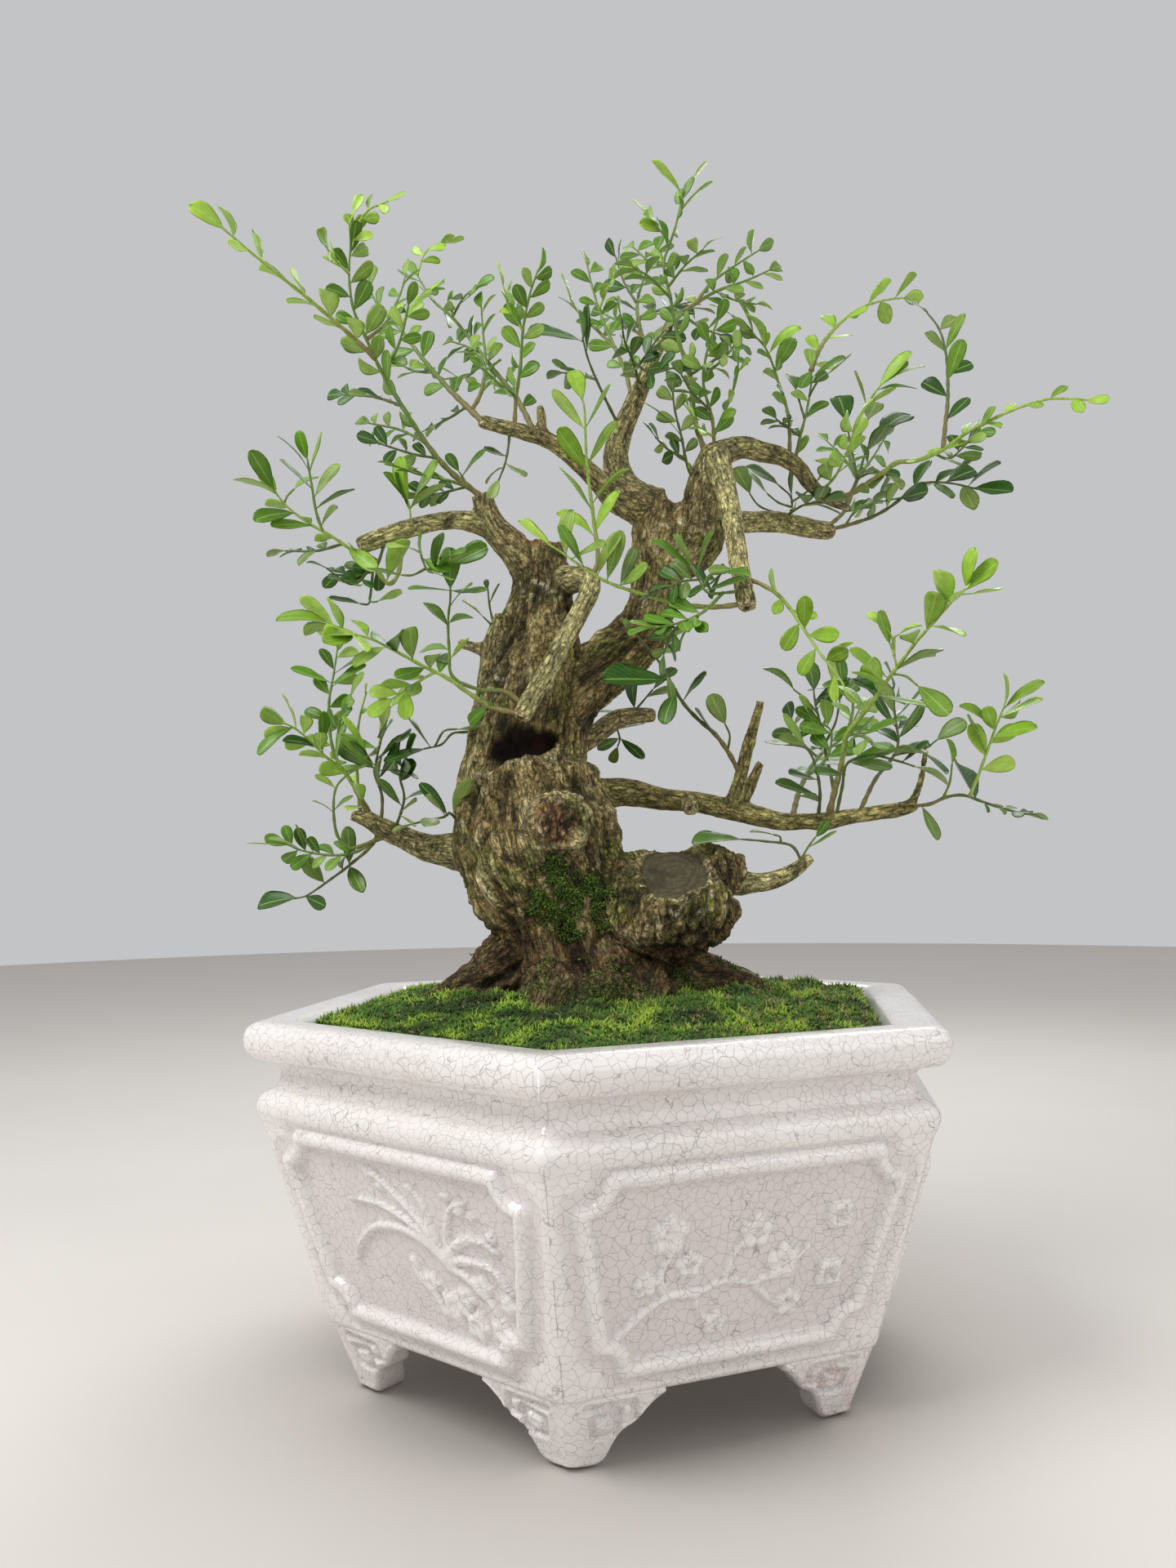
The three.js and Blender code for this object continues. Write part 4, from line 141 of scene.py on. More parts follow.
# Leafy shoots. Each row is a stem: leaf tone, leaf length, number of leaves, share of the stem that is
# bare, change of depth towards the eye, then the stem's points as (across, up). A shoot's first stem
# starts on the nearest limb and each later one on the nearest earlier stem.
SHOOTS = {
    "upper_left_shoot": [
        ("mid", 12, 16, 0.34, 42, (-63, 384), (-75, 396), (-86, 409), (-97, 426), (-106, 441), (-113, 456),
          (-119, 470), (-121, 486), (-120, 500)),
        ("young", 8, 6, 0.1, 6, (-120, 499), (-117, 508), (-112, 515), (-103, 519)),
        ("young", 8, 2, 0.3, 2, (-120, 500), (-121, 507), (-119, 513)),
        ("young", 15, 12, 0.05, 50, (-109, 447), (-118, 456), (-126, 463), (-140, 475), (-155, 487),
          (-166, 496), (-180, 508)),
        ("dark", 9, 8, 0.2, -18, (-97, 426), (-110, 430), (-124, 431)),
        ("mid", 10, 6, 0.2, 20, (-106, 441), (-100, 450), (-96, 462), (-94, 472)),
        ("mid", 9, 8, 0.2, -22, (-86, 409), (-98, 415), (-112, 418)),
        ("dark", 9, 6, 0.2, 12, (-80, 402), (-92, 404), (-108, 409)),
        ("young", 9, 6, 0.15, 20, (-121, 486), (-127, 492), (-132, 499)),
        ("mid", 9, 6, 0.2, -25, (-113, 456), (-104, 464), (-98, 476), (-95, 486)),
        ("mid", 8, 1, 1, 2, (-65, 386.5), (-67, 390), (-71, 396)),
        ("dark", 8, 8, 0.3, 6, (-67, 389), (-80, 386), (-88, 385)),
        ("mid", 10, 1, 1, 6, (-70, 393), (-66, 398)),
        ("mid", 8, 8, 0.3, 30, (-66, 388), (-76, 392), (-90, 395), (-101, 399)),
    ],
    "upper_left_inner_shoot": [
        ("mid", 10, 14, 0.2, -52, (-61, 419), (-75, 433), (-88, 448), (-98, 461), (-108, 472), (-114, 484)),
        ("dark", 8, 6, 0.2, -12, (-68, 425), (-76, 420), (-86, 415)),
        ("mid", 9, 6, 0.2, -25, (-82, 441), (-92, 442), (-101, 447)),
        ("young", 9, 6, 0.2, -12, (-98, 461), (-92, 472), (-84, 478)),
        ("mid", 9, 10, 0.15, -38, (-66, 423), (-61, 432), (-59, 445), (-60, 458), (-61, 472)),
        ("mid", 9, 6, 0.2, -28, (-59, 445), (-66, 452), (-74, 455)),
    ],
    "upper_left_arch_shoot": [
        ("mid", 10, 14, 0.15, -62, (-36, 412), (-44, 428), (-55, 442), (-65, 455), (-74, 466), (-83, 474),
          (-91, 487)),
        ("young", 8, 6, 0.3, -6, (-91, 487), (-86, 496), (-77, 500)),
        ("mid", 9, 6, 0.2, -32, (-60, 449), (-66, 440), (-78, 438)),
        ("mid", 9, 6, 0.2, 18, (-74, 466), (-69, 475), (-63, 480)),
    ],
    "upper_middle_shoot": [
        ("mid", 10, 14, 0.2, 32, (-46, 415), (-45, 430), (-43, 445), (-42, 460), (-39, 476), (-35, 488)),
        ("young", 9, 6, 0.2, 8, (-42, 460), (-48, 470), (-51, 480)),
        ("mid", 9, 6, 0.2, 25, (-45, 430), (-53, 436), (-60, 443)),
    ],
    "hanging_left_shoot": [
        ("dark", 8, 1, 1, 0, (-48, 415), (-48.5, 408), (-50, 400), (-53, 392)),
        ("dark", 8, 1, 1, 4, (-50, 400), (-47, 398)),
        ("dark", 8, 1, 1, -4, (-51, 398), (-54, 397)),
        ("dark", 8, 1, 1, 3, (-49.5, 403), (-52, 404)),
    ],
    "crown_leader_shoot": [
        ("mid", 10, 18, 0.12, 25, (38, 399), (36, 420), (34, 440), (29, 455), (25, 475), (22, 490),
          (25, 500), (28, 510), (31, 524)),
        ("young", 13, 1, 1, 3, (30, 522), (27, 526)),
        ("young", 14, 1, 1, -2, (31, 522), (35, 526)),
        ("young", 13, 1, 1, 3, (28.5, 513), (33, 517)),
        ("young", 10, 6, 0.3, 4, (25, 500), (20, 506), (16, 511)),
        ("mid", 10, 6, 0.2, 18, (25, 475), (16, 484), (8, 489)),
        ("mid", 10, 6, 0.2, -20, (22, 490), (15, 492), (8, 498)),
        ("mid", 10, 6, 0.2, 22, (24, 480), (32, 490), (40, 497)),
        ("dark", 9, 6, 0.2, 25, (34, 440), (44, 446), (51, 450)),
    ],
    "crown_fan_shoot": [
        ("mid", 9, 10, 0.15, 32, (45, 404), (44, 420), (40, 436), (42, 452), (47, 466)),
        ("mid", 9, 8, 0.2, 18, (44, 412), (50, 424), (55, 438), (56, 450)),
        ("dark", 8, 6, 0.2, 25, (43, 424), (35, 432), (30, 440)),
        ("mid", 9, 6, 0.2, -25, (41, 440), (50, 448), (57, 458)),
        ("young", 8, 6, 0.2, 12, (44, 412), (38, 416), (33, 425)),
    ],
    "crown_right_shoot": [
        ("mid", 10, 10, 0.15, -42, (26, 466), (36, 472), (46, 478), (60, 483), (71, 488)),
        ("mid", 9, 8, 0.15, -25, (36, 472), (44, 482), (55, 490), (66, 497)),
        ("mid", 8, 6, 0.2, 10, (46, 478), (54, 474), (64, 472)),
        ("dark", 8, 6, 0.2, 32, (30, 468), (38, 462), (48, 458)),
    ],
    "crown_left_shoot": [
        ("mid", 9, 12, 0.18, -25, (8, 426), (5, 440), (0, 452), (-5, 463), (-10, 478), (-13, 491)),
        ("mid", 9, 6, 0.2, -28, (0, 452), (-8, 460), (-18, 470), (-22, 480)),
        ("young", 8, 6, 0.2, 10, (-7, 470), (-3, 480), (2, 488)),
    ],
    "crown_dark_shoot": [
        ("dark", 11, 1, 1, 30, (3, 414), (-6, 432), (-12, 446), (-15, 457)),
        ("dark", 24, 1, 1, 5, (-14, 455), (-20, 457.5)),
        ("dark", 11, 1, 1, 3, (-13, 450), (-11, 458)),
        ("dark", 9, 6, 0.3, -20, (-8, 438), (-16, 440), (-24, 441)),
    ],
    "crown_inner_shoot": [
        ("dark", 10, 10, 0.15, 38, (11, 434), (8, 446), (4, 456), (3, 466)),
        ("dark", 10, 6, 0.2, 10, (9, 442), (16, 452), (22, 460)),
        ("dark", 9, 6, 0.2, 18, (8, 446), (16, 441), (26, 443)),
    ],
    "crown_back_shoot": [
        ("mid", 10, 12, 0.2, -95, (16, 446), (12, 458), (10, 472), (14, 486), (20, 498)),
        ("mid", 9, 8, 0.2, -38, (12, 458), (2, 464), (-6, 468)),
        ("dark", 9, 8, 0.2, -42, (11, 466), (22, 470), (34, 473)),
        ("dark", 9, 6, 0.2, -8, (10, 472), (4, 482), (0, 494)),
    ],
    "inner_right_shoot": [
        ("dark", 8, 10, 0.2, 30, (34, 384), (33, 398), (30, 412), (27, 424), (26, 433)),
        ("young", 9, 1, 1, 8, (30, 412), (21, 425)),
        ("dark", 8, 6, 0.2, 12, (32, 402), (24, 406), (18, 412)),
    ],
    "bright_front_shoot": [
        ("young", 13, 1, 1, 6, (-15, 343), (-8, 356), (-10, 375), (-13, 400), (-14, 424), (-16, 431)),
        ("young", 12, 1, 1, 2, (-13.5, 415), (-20, 423)),
        ("young", 12, 1, 1, 2, (-13.5, 416), (-8, 423)),
        ("young", 20, 1, 1, 4, (-13, 397), (-18, 402)),
        ("young", 15, 1, 1, 3, (-12.5, 399), (-7, 406)),
        ("young", 20, 1, 1, 4, (-11, 378), (-15, 383)),
        ("young", 15, 1, 1, 3, (-10.5, 381), (-4, 388)),
        ("young", 15, 1, 1, 4, (-9.5, 366), (-13, 370)),
        ("young", 14, 1, 1, 3, (-9.5, 368), (-6, 374)),
    ],
    "long_stub_shoot": [
        ("young", 16, 1, 1, -6, (59, 336), (45, 334.5), (28, 336), (10, 341), (-4, 346), (-14, 352),
          (-24, 359), (-32, 364)),
        ("mid", 15, 1, 1, 4, (-14, 352), (-17, 359)),
        ("mid", 14, 1, 1, 3, (-8, 349), (-5, 355)),
        ("mid", 15, 1, 1, 2, (-4, 346), (-1, 355)),
        ("dark", 9, 1, 1, -2, (2, 344), (5, 350)),
        ("mid", 13, 1, 1, 4, (2, 344), (7, 346)),
        ("mid", 15, 1, 1, 6, (-20, 356.5), (-14, 357)),
        ("mid", 14, 1, 1, 2, (-22, 358), (-22, 362)),
    ],
    "stub_cluster_shoot": [
        ("mid", 14, 1, 1, 6, (58, 342), (50, 341), (42, 341), (38, 347), (34, 353)),
        ("mid", 15, 1, 1, 4, (37, 349), (39, 354)),
        ("mid", 16, 1, 1, 2, (35, 352), (31, 355)),
        ("mid", 10, 1, 1, 2, (40, 344), (43, 349), (50, 350)),
        ("mid", 12, 1, 1, 2, (41, 342), (45, 343)),
        ("dark", 12, 6, 0.2, 2, (38, 347), (30, 346), (24, 343)),
        ("dark", 10, 1, 1, -4, (44, 341), (40, 345)),
        ("mid", 13, 8, 0.4, 18, (49, 341), (44, 336), (38, 331), (28, 327), (18, 325)),
        ("mid", 10, 6, 0.3, 3, (38, 331), (36, 327), (32, 324)),
        ("dark", 9, 6, 0.2, 4, (30, 328), (25, 321), (22, 313)),
    ],
    "stub_right_shoot": [
        ("young", 11, 8, 0.3, 25, (58, 348), (66, 345), (74, 340), (80, 333), (86, 324), (92, 315),
          (98, 307), (104, 299)),
        ("young", 12, 1, 1, 2, (86, 324), (86, 327)),
        ("young", 10, 1, 1, 2, (73.5, 340), (73, 342)),
        ("young", 9, 1, 1, 2, (97, 309), (99, 312)),
        ("dark", 10, 6, 0.2, -10, (59, 348), (52, 352), (43, 345)),
    ],
    "middle_dark_shoot": [
        ("dark", 5, 1, 1, 42, (57, 258), (51, 269), (45, 277), (37, 284), (30, 292), (23, 304), (18, 312),
          (5, 327)),
        ("dark", 26, 1, 1, 4, (22.5, 300), (17.5, 301.8)),
        ("dark", 14, 1, 1, 3, (30, 291), (32, 294)),
        ("dark", 14, 1, 1, 3, (27.5, 296), (26, 294)),
        ("dark", 15, 1, 1, 4, (46, 276), (44, 279)),
        ("dark", 13, 1, 1, 4, (51, 269), (52, 276), (50, 281)),
        ("dark", 7, 1, 1, 0, (23, 304), (24, 301)),
        ("dark", 9, 6, 0.3, 4, (19, 311), (23, 316), (24, 322)),
    ],
    "behind_dark_shoot": [
        ("dark", 12, 1, 1, 6, (6, 284), (12, 291), (17, 297)),
        ("dark", 11, 1, 1, -4, (9, 287.5), (8, 293)),
        ("dark", 8, 1, 1, -6, (3, 284), (-2, 287)),
        ("dark", 9, 1, 1, -2, (14, 293.5), (18, 294)),
    ],
    "behind_low_shoot": [
        ("dark", 7, 1, 1, -4, (0, 282), (2, 275), (1, 271)),
        ("dark", 7, 1, 1, 2, (2, 275), (0, 274)),
        ("dark", 9, 1, 1, 3, (2, 275), (5, 272)),
        ("dark", 9, 1, 1, -4, (1, 279), (5, 280)),
    ],
    "right_crown_shoot": [
        ("mid", 9, 10, 0.2, 25, (79, 400), (79, 418), (77, 428), (74, 437), (71, 446), (67, 454), (60, 460)),
        ("young", 17, 1, 1, 3, (68, 452), (67, 455)),
        ("young", 14, 1, 1, 2, (69, 449), (71, 451)),
        ("mid", 13, 1, 1, 3, (72.5, 442), (74, 444)),
        ("young", 10, 1, 1, 2, (63, 457.5), (61, 465)),
        ("mid", 10, 1, 1, 2, (64, 457), (60, 462), (53, 467)),
    ],
    "right_arch_shoot": [
        ("mid", 10, 6, 0.1, -10, (81, 399), (84, 412), (87, 424), (89, 436), (89, 444)),
        ("young", 11, 10, 0.05, -50, (89, 444), (92, 450), (97, 458), (105, 466), (113, 471), (123, 474),
          (133, 475)),
        ("dark", 12, 1, 1, -8, (86, 420), (83, 430), (82, 433)),
        ("mid", 13, 1, 1, 4, (89, 438), (92, 441)),
        ("dark", 12, 1, 1, 8, (88, 430), (92, 437), (96, 440)),
        ("mid", 10, 1, 1, 3, (89, 442), (88, 441)),
        ("dark", 8, 6, 0.2, 12, (84, 412), (78, 416), (73, 420)),
    ],
    "right_long_shoot": [
        ("young", 9, 10, 0.3, 55, (99, 382), (107, 386), (114, 390), (121, 395), (128, 400), (137, 401),
          (145, 404), (152, 408), (160, 414), (168, 418), (176, 422), (186, 426), (197, 429), (209, 429),
          (218, 428)),
        ("dark", 12, 6, 0.2, -30, (149, 406), (150, 418), (151, 428), (151, 440), (150, 451), (147, 461),
          (141, 469)),
        ("mid", 13, 1, 1, 2, (150, 451), (151, 453)),
        ("mid", 13, 1, 1, 2, (151, 437), (152, 440)),
        ("mid", 9, 6, 0.2, 8, (152, 408), (158, 408), (166, 416)),
        ("dark", 9, 6, 0.2, -8, (145, 404), (152, 402), (160, 409)),
    ],
    "right_fountain_shoot": [
        ("young", 13, 8, 0.2, 32, (93, 386.5), (100, 394), (104, 402), (107, 410), (109, 418)),
        ("young", 13, 1, 1, 10, (108, 414), (113, 424), (118, 432), (121, 436)),
        ("young", 14, 1, 1, 2, (119, 433.5), (123, 438)),
        ("young", 14, 1, 1, 3, (120, 435), (125, 439)),
        ("mid", 13, 1, 1, 3, (119, 433), (123, 435)),
        ("mid", 9, 1, 1, 2, (114, 426), (113, 430)),
        ("mid", 9, 1, 1, 2, (114, 426), (117, 427)),
        ("young", 12, 1, 1, 6, (103, 398), (98, 399)),
        ("dark", 14, 1, 1, -18, (105, 404), (112, 414), (115, 420)),
    ],
    "right_narrow_shoot": [
        ("dark", 26, 1, 1, -18, (104, 380), (110, 393), (114, 405), (120, 413)),
        ("dark", 17, 1, 1, 8, (114, 405), (117, 408)),
        ("dark", 19, 1, 1, -10, (110, 393), (107, 408), (105, 419)),
        ("dark", 10, 6, 0.2, 18, (110, 393), (118, 396), (124, 394)),
    ],
    "right_low_arc_shoot": [
        ("dark", 16, 6, 0.5, 25, (98, 372), (110, 373), (120, 377), (129, 383), (137, 390), (150, 391),
          (165, 388)),
        ("dark", 13, 1, 1, 6, (150, 391), (156, 395)),
        ("dark", 13, 1, 1, 4, (160, 389.5), (163, 392)),
        ("dark", 12, 1, 1, 6, (145, 391), (148, 393)),
        ("mid", 12, 1, 1, 4, (123, 379), (124, 382)),
        ("mid", 12, 1, 1, -4, (127, 382), (129, 383), (134, 386)),
        ("mid", 9, 6, 0.2, 6, (104, 373), (110, 379), (120, 382)),
    ],
    "right_inner_shoot": [
        ("dark", 16, 1, 1, 6, (74, 373), (79, 376), (80, 384), (74, 390)),
        ("mid", 15, 1, 1, 10, (80, 380), (74, 382), (69, 386)),
        ("mid", 15, 1, 1, 8, (80, 382), (86, 386), (90, 390)),
        ("dark", 12, 6, 0.2, 18, (79, 377), (86, 381), (94, 382)),
        ("dark", 14, 1, 1, -8, (78, 376), (66, 380), (61, 386)),
        ("dark", 13, 1, 1, 12, (80, 384), (82, 392)),
    ],
    "right_back_shoot": [
        ("mid", 10, 10, 0.25, -55, (94, 369), (104, 378), (110, 392), (118, 404), (124, 414)),
        ("dark", 9, 6, 0.2, -25, (104, 378), (114, 380), (122, 386)),
        ("mid", 9, 6, 0.2, -32, (110, 392), (104, 402), (96, 410)),
    ],
    "pale_branch_shoot": [
        ("young", 10, 6, 0.4, 30, (-98, 369), (-98, 352), (-103, 345), (-110, 353), (-118, 359),
          (-128, 366), (-140, 373), (-150, 381), (-156, 389)),
        ("young", 20, 1, 1, 4, (-104, 346), (-102, 351)),
        ("young", 14, 1, 1, 5, (-122, 362), (-118, 359)),
        ("mid", 14, 1, 1, 3, (-155, 388), (-157, 391)),
        ("mid", 16, 1, 1, 3, (-153, 384.5), (-157, 387)),
        ("mid", 18, 1, 1, 3, (-145, 377), (-148, 377)),
        ("mid", 14, 1, 1, 3, (-137, 371), (-141, 372)),
        ("mid", 12, 1, 1, -3, (-150, 382), (-149, 385), (-146, 388)),
        ("mid", 11, 1, 1, 6, (-133, 369), (-136, 378), (-138, 390), (-140, 402)),
        ("mid", 12, 1, 1, 2, (-139, 396), (-142, 401)),
        ("mid", 12, 1, 1, 2, (-139, 395), (-138, 399)),
        ("mid", 11, 1, 1, 2, (-138, 388), (-141, 391)),
        ("mid", 11, 1, 1, -2, (-137, 384), (-133, 388)),
        ("dark", 14, 1, 1, 2, (-136.5, 379), (-132, 382)),
        ("dark", 9, 1, 1, 2, (-134, 371), (-132, 373)),
        ("dark", 9, 6, 0.3, -12, (-124, 363), (-136, 360), (-150, 360)),
    ],
    "pale_branch_low_shoot": [
        ("dark", 9, 10, 0.3, 6, (-104, 367), (-109, 352), (-116, 350), (-126, 349), (-131, 352)),
        ("dark", 12, 1, 1, 4, (-110, 351.5), (-111, 342), (-112, 336), (-116, 336)),
        ("mid", 11, 1, 1, 4, (-111, 342), (-111.5, 337), (-108, 337)),
        ("dark", 8, 6, 0.2, 18, (-112, 351), (-118, 345), (-124, 346)),
    ],
    "glossy_pair_shoot": [
        ("young", 19, 1, 1, 4, (-94, 370), (-93, 373), (-93.5, 380), (-94, 382)),
        ("mid", 27, 1, 1, 5, (-93, 379), (-91.5, 383)),
        ("mid", 20, 1, 1, 5, (-93, 379), (-89, 383)),
        ("mid", 9, 1, 1, 1, (-93.5, 380), (-98, 387)),
        ("dark", 8, 1, 1, 1, (-93, 378), (-97, 384)),
    ],
    "left_leafy_shoot": [
        ("mid", 15, 1, 1, 32, (-88, 371), (-89, 362), (-86, 352), (-83, 350)),
        ("mid", 16, 1, 1, 8, (-88, 356), (-84, 356)),
        ("mid", 17, 1, 1, 12, (-88, 358), (-94, 363)),
        ("mid", 16, 1, 1, 6, (-86, 352), (-80, 351), (-74, 354)),
        ("mid", 18, 1, 1, 12, (-80, 351), (-76, 357)),
        ("mid", 17, 1, 1, 10, (-77, 352), (-71, 358)),
        ("dark", 16, 1, 1, 8, (-82, 351), (-81, 357)),
        ("mid", 14, 1, 1, 6, (-86, 352), (-92, 349), (-97, 349)),
    ],
    "crossing_stub_shoot": [
        ("young", 16, 6, 0.8, 25, (-43, 286), (-56, 289), (-66, 295), (-76, 302), (-88, 308), (-99, 314),
          (-111, 320), (-122, 323), (-131, 328)),
        ("young", 19, 1, 1, 2, (-129, 327), (-134, 329)),
        ("young", 15, 1, 1, 2, (-119, 322), (-118, 321)),
        ("young", 20, 1, 1, 4, (-118, 322), (-121, 321)),
        ("mid", 19, 1, 1, 3, (-99, 314), (-99, 315)),
        ("mid", 19, 1, 1, 4, (-98, 313.5), (-101, 314)),
        ("mid", 16, 1, 1, 3, (-92, 310), (-92, 312)),
        ("mid", 17, 1, 1, 5, (-104, 316), (-108, 314.5)),
        ("mid", 13, 1, 1, 3, (-84, 306), (-84, 308)),
        ("mid", 12, 1, 1, 3, (-86, 307), (-89, 306)),
        ("mid", 12, 1, 1, -6, (-80, 304), (-79, 308)),
        ("young", 12, 6, 0.2, 6, (-82, 305), (-92, 299), (-101, 293)),
        ("mid", 12, 1, 1, 4, (-62, 292), (-60, 293)),
        ("mid", 11, 1, 1, -4, (-57, 290), (-60, 287)),
    ],
    "crossing_tall_shoot": [
        ("mid", 16, 1, 1, 12, (-41, 289), (-50, 296), (-62, 297), (-74, 303), (-75.5, 315), (-76, 328),
          (-75, 338), (-75, 345)),
        ("mid", 15, 1, 1, 4, (-76, 326), (-78, 328)),
        ("mid", 10, 1, 1, 3, (-76, 327), (-73, 329)),
        ("mid", 14, 1, 1, 4, (-75.3, 334), (-73, 337)),
        ("mid", 14, 1, 1, 4, (-75, 342), (-70, 341)),
        ("mid", 14, 1, 1, 4, (-75, 342), (-80, 343)),
        ("mid", 14, 1, 1, -4, (-75.5, 315), (-80, 316)),
        ("young", 10, 1, 1, 4, (-75, 311), (-73, 313)),
        ("dark", 9, 1, 1, -4, (-74.5, 308), (-78, 310)),
    ],
    "left_ridge_shoot": [
        ("dark", 10, 1, 1, 2, (-53, 322), (-57, 327), (-60, 330)),
        ("dark", 9, 1, 1, 4, (-56, 326), (-55, 328), (-52, 330)),
        ("dark", 4, 1, 1, -2, (-55, 324), (-57, 334), (-58, 343)),
        ("dark", 5, 1, 1, 2, (-57, 336), (-56, 339)),
    ],
    "left_middle_shoot": [
        ("dark", 18, 1, 1, 18, (-56, 282), (-66, 278), (-74, 277), (-79, 272), (-87, 270)),
        ("dark", 9, 1, 1, 2, (-84, 271), (-87, 274)),
        ("dark", 16, 1, 1, 4, (-82, 271.5), (-78, 278), (-72, 279)),
    ],
    "left_trunk_twig": [
        ("dark", 10, 1, 1, 32, (-60, 238), (-74, 240), (-78, 239), (-92, 236)),
        ("dark", 18, 1, 1, 3, (-74, 240), (-72, 243)),
        ("dark", 10, 1, 1, 2, (-76, 240), (-80, 245)),
        ("dark", 12, 1, 1, 2, (-80, 239), (-81, 237.5)),
        ("dark", 8, 1, 1, 2, (-77, 239.5), (-79, 242)),
    ],
    "low_left_shoot": [
        ("young", 12, 8, 0.4, 38, (-112, 238), (-117, 249), (-123, 260), (-131, 266), (-138, 273),
          (-145, 279), (-151, 282)),
        ("young", 14, 1, 1, 3, (-145, 279), (-146, 282)),
        ("mid", 10, 1, 1, 3, (-147, 280), (-153, 277)),
        ("mid", 14, 1, 1, 3, (-133, 268), (-134, 273)),
        ("mid", 11, 1, 1, 2, (-126, 263), (-127, 268)),
        ("dark", 9, 1, 1, 2, (-136, 271), (-139, 272)),
        ("young", 11, 1, 1, 8, (-114, 244), (-117, 243)),
        ("young", 10, 1, 1, 6, (-115, 246), (-116, 249)),
    ],
    "low_left_upright_shoot": [
        ("mid", 10, 10, 0.4, -8, (-109, 236), (-118, 252), (-127, 266), (-130, 280), (-130, 292),
          (-128, 304), (-126, 317)),
        ("mid", 11, 6, 0.3, 10, (-127, 266), (-126, 278), (-124, 287), (-120, 294)),
        ("mid", 10, 1, 1, 2, (-129, 298), (-124, 302)),
        ("mid", 11, 1, 1, 2, (-129, 300), (-134, 302)),
        ("dark", 10, 1, 1, 2, (-128, 304), (-124, 307)),
    ],
    "low_left_dark_shoot": [
        ("dark", 17, 6, 0.6, 25, (-107, 234), (-106, 248), (-109, 260), (-107, 272), (-105, 278)),
        ("dark", 15, 1, 1, 5, (-108, 256), (-104, 262)),
        ("dark", 14, 1, 1, 6, (-109, 260), (-101, 262)),
        ("dark", 14, 1, 1, 3, (-108, 266), (-101, 269)),
        ("dark", 12, 1, 1, 8, (-107, 252), (-108, 258)),
        ("mid", 13, 1, 1, 4, (-109, 262), (-114, 268)),
        ("mid", 14, 1, 1, -4, (-108, 270), (-116, 273)),
        ("young", 12, 1, 1, 2, (-107, 272), (-106, 284), (-102, 289)),
        ("young", 9, 1, 1, 2, (-112, 265.5), (-119, 277)),
        ("mid", 11, 1, 1, -2, (-110, 263), (-118, 262)),
    ],
    "low_left_bud_shoot": [
        ("young", 5, 6, 0.1, 11, (-116, 238), (-117.5, 262), (-117, 278), (-115, 289), (-113, 296)),
    ],
    "low_left_right_shoot": [
        ("dark", 12, 6, 0.7, 18, (-101, 231), (-96, 247), (-98, 258), (-95, 265)),
        ("young", 11, 1, 1, 8, (-98, 241), (-95, 243)),
        ("mid", 10, 1, 1, 4, (-96.5, 246), (-94, 248)),
        ("mid", 10, 1, 1, -6, (-97, 244), (-102, 248)),
        ("mid", 8, 1, 1, 6, (-98, 240), (-95, 239)),
    ],
    "low_left_thin_shoot": [
        ("mid", 6, 1, 1, 25, (-100, 231), (-110, 228), (-120, 225), (-126, 230), (-128, 241), (-127, 252),
          (-122, 258), (-117, 261)),
        ("mid", 6, 1, 1, 1, (-128, 241), (-130, 243)),
        ("mid", 6, 1, 1, 1, (-128, 242), (-126, 244)),
        ("mid", 6, 1, 1, 1, (-127.5, 252), (-129, 254)),
    ],
    "low_left_flat_shoot": [
        ("mid", 9, 10, 0.4, 4, (-104, 232), (-114, 225), (-123, 222), (-133, 222), (-143, 224), (-150, 227)),
        ("mid", 10, 1, 1, 3, (-143, 224), (-146, 226)),
        ("dark", 9, 1, 1, 3, (-137, 223), (-139, 226)),
        ("mid", 10, 1, 1, 3, (-149, 226), (-154, 227)),
    ],
    "low_left_hanging_shoot": [
        ("dark", 19, 1, 1, -12, (-108, 236), (-110, 227), (-121, 217), (-129, 211), (-136, 206),
          (-141, 203), (-146, 202)),
        ("dark", 11, 1, 1, 2, (-121, 217), (-121, 221)),
        ("dark", 11, 1, 1, 3, (-121, 217), (-120, 215.5)),
        ("dark", 11, 1, 1, 2, (-124, 215), (-124, 216)),
        ("dark", 12, 1, 1, 2, (-132, 209), (-133, 210)),
        ("dark", 10, 1, 1, 2, (-141, 203), (-139, 202)),
    ],
    "knob_shoot": [
        ("dark", 24, 1, 1, 4, (85, 218), (80, 226), (68, 228), (57, 229)),
        ("dark", 9, 1, 1, 1, (75, 227), (75, 230), (72, 231)),
        ("mid", 8, 1, 1, 2, (84, 219.5), (88, 226), (91, 230)),
        ("mid", 7, 1, 1, 1, (88, 225), (92, 227)),
    ],
    "low_right_main_shoot": [
        ("young", 17, 6, 0.55, 70, (96, 238), (100, 252), (103, 264), (105, 276), (111, 284), (118, 293),
          (125, 303), (131, 311), (137, 319), (146, 329), (155, 339), (162, 345)),
        ("young", 18, 1, 1, 2, (141, 323.5), (142, 326)),
        ("young", 15, 1, 1, 3, (143, 326), (146, 326)),
        ("young", 19, 1, 1, 2, (151, 334.5), (150, 336)),
        ("young", 16, 1, 1, 3, (156, 340), (159, 340.5)),
        ("young", 12, 1, 1, 2, (159, 343), (160, 346)),
        ("young", 14, 1, 1, 2, (128, 307), (126, 315), (125, 317)),
        ("young", 9, 1, 1, 2, (126, 312), (127, 321), (129, 322)),
        ("young", 9, 1, 1, 2, (126, 316), (126, 320), (123, 325)),
        ("dark", 20, 1, 1, 4, (127, 305.5), (132, 308)),
        ("mid", 18, 1, 1, 6, (126, 304), (132, 303), (137, 299)),
        ("young", 16, 1, 1, 4, (119, 294.5), (128, 293)),
        ("young", 10, 1, 1, 3, (122, 299), (117, 300)),
        ("young", 12, 1, 1, 4, (124, 302), (118, 308)),
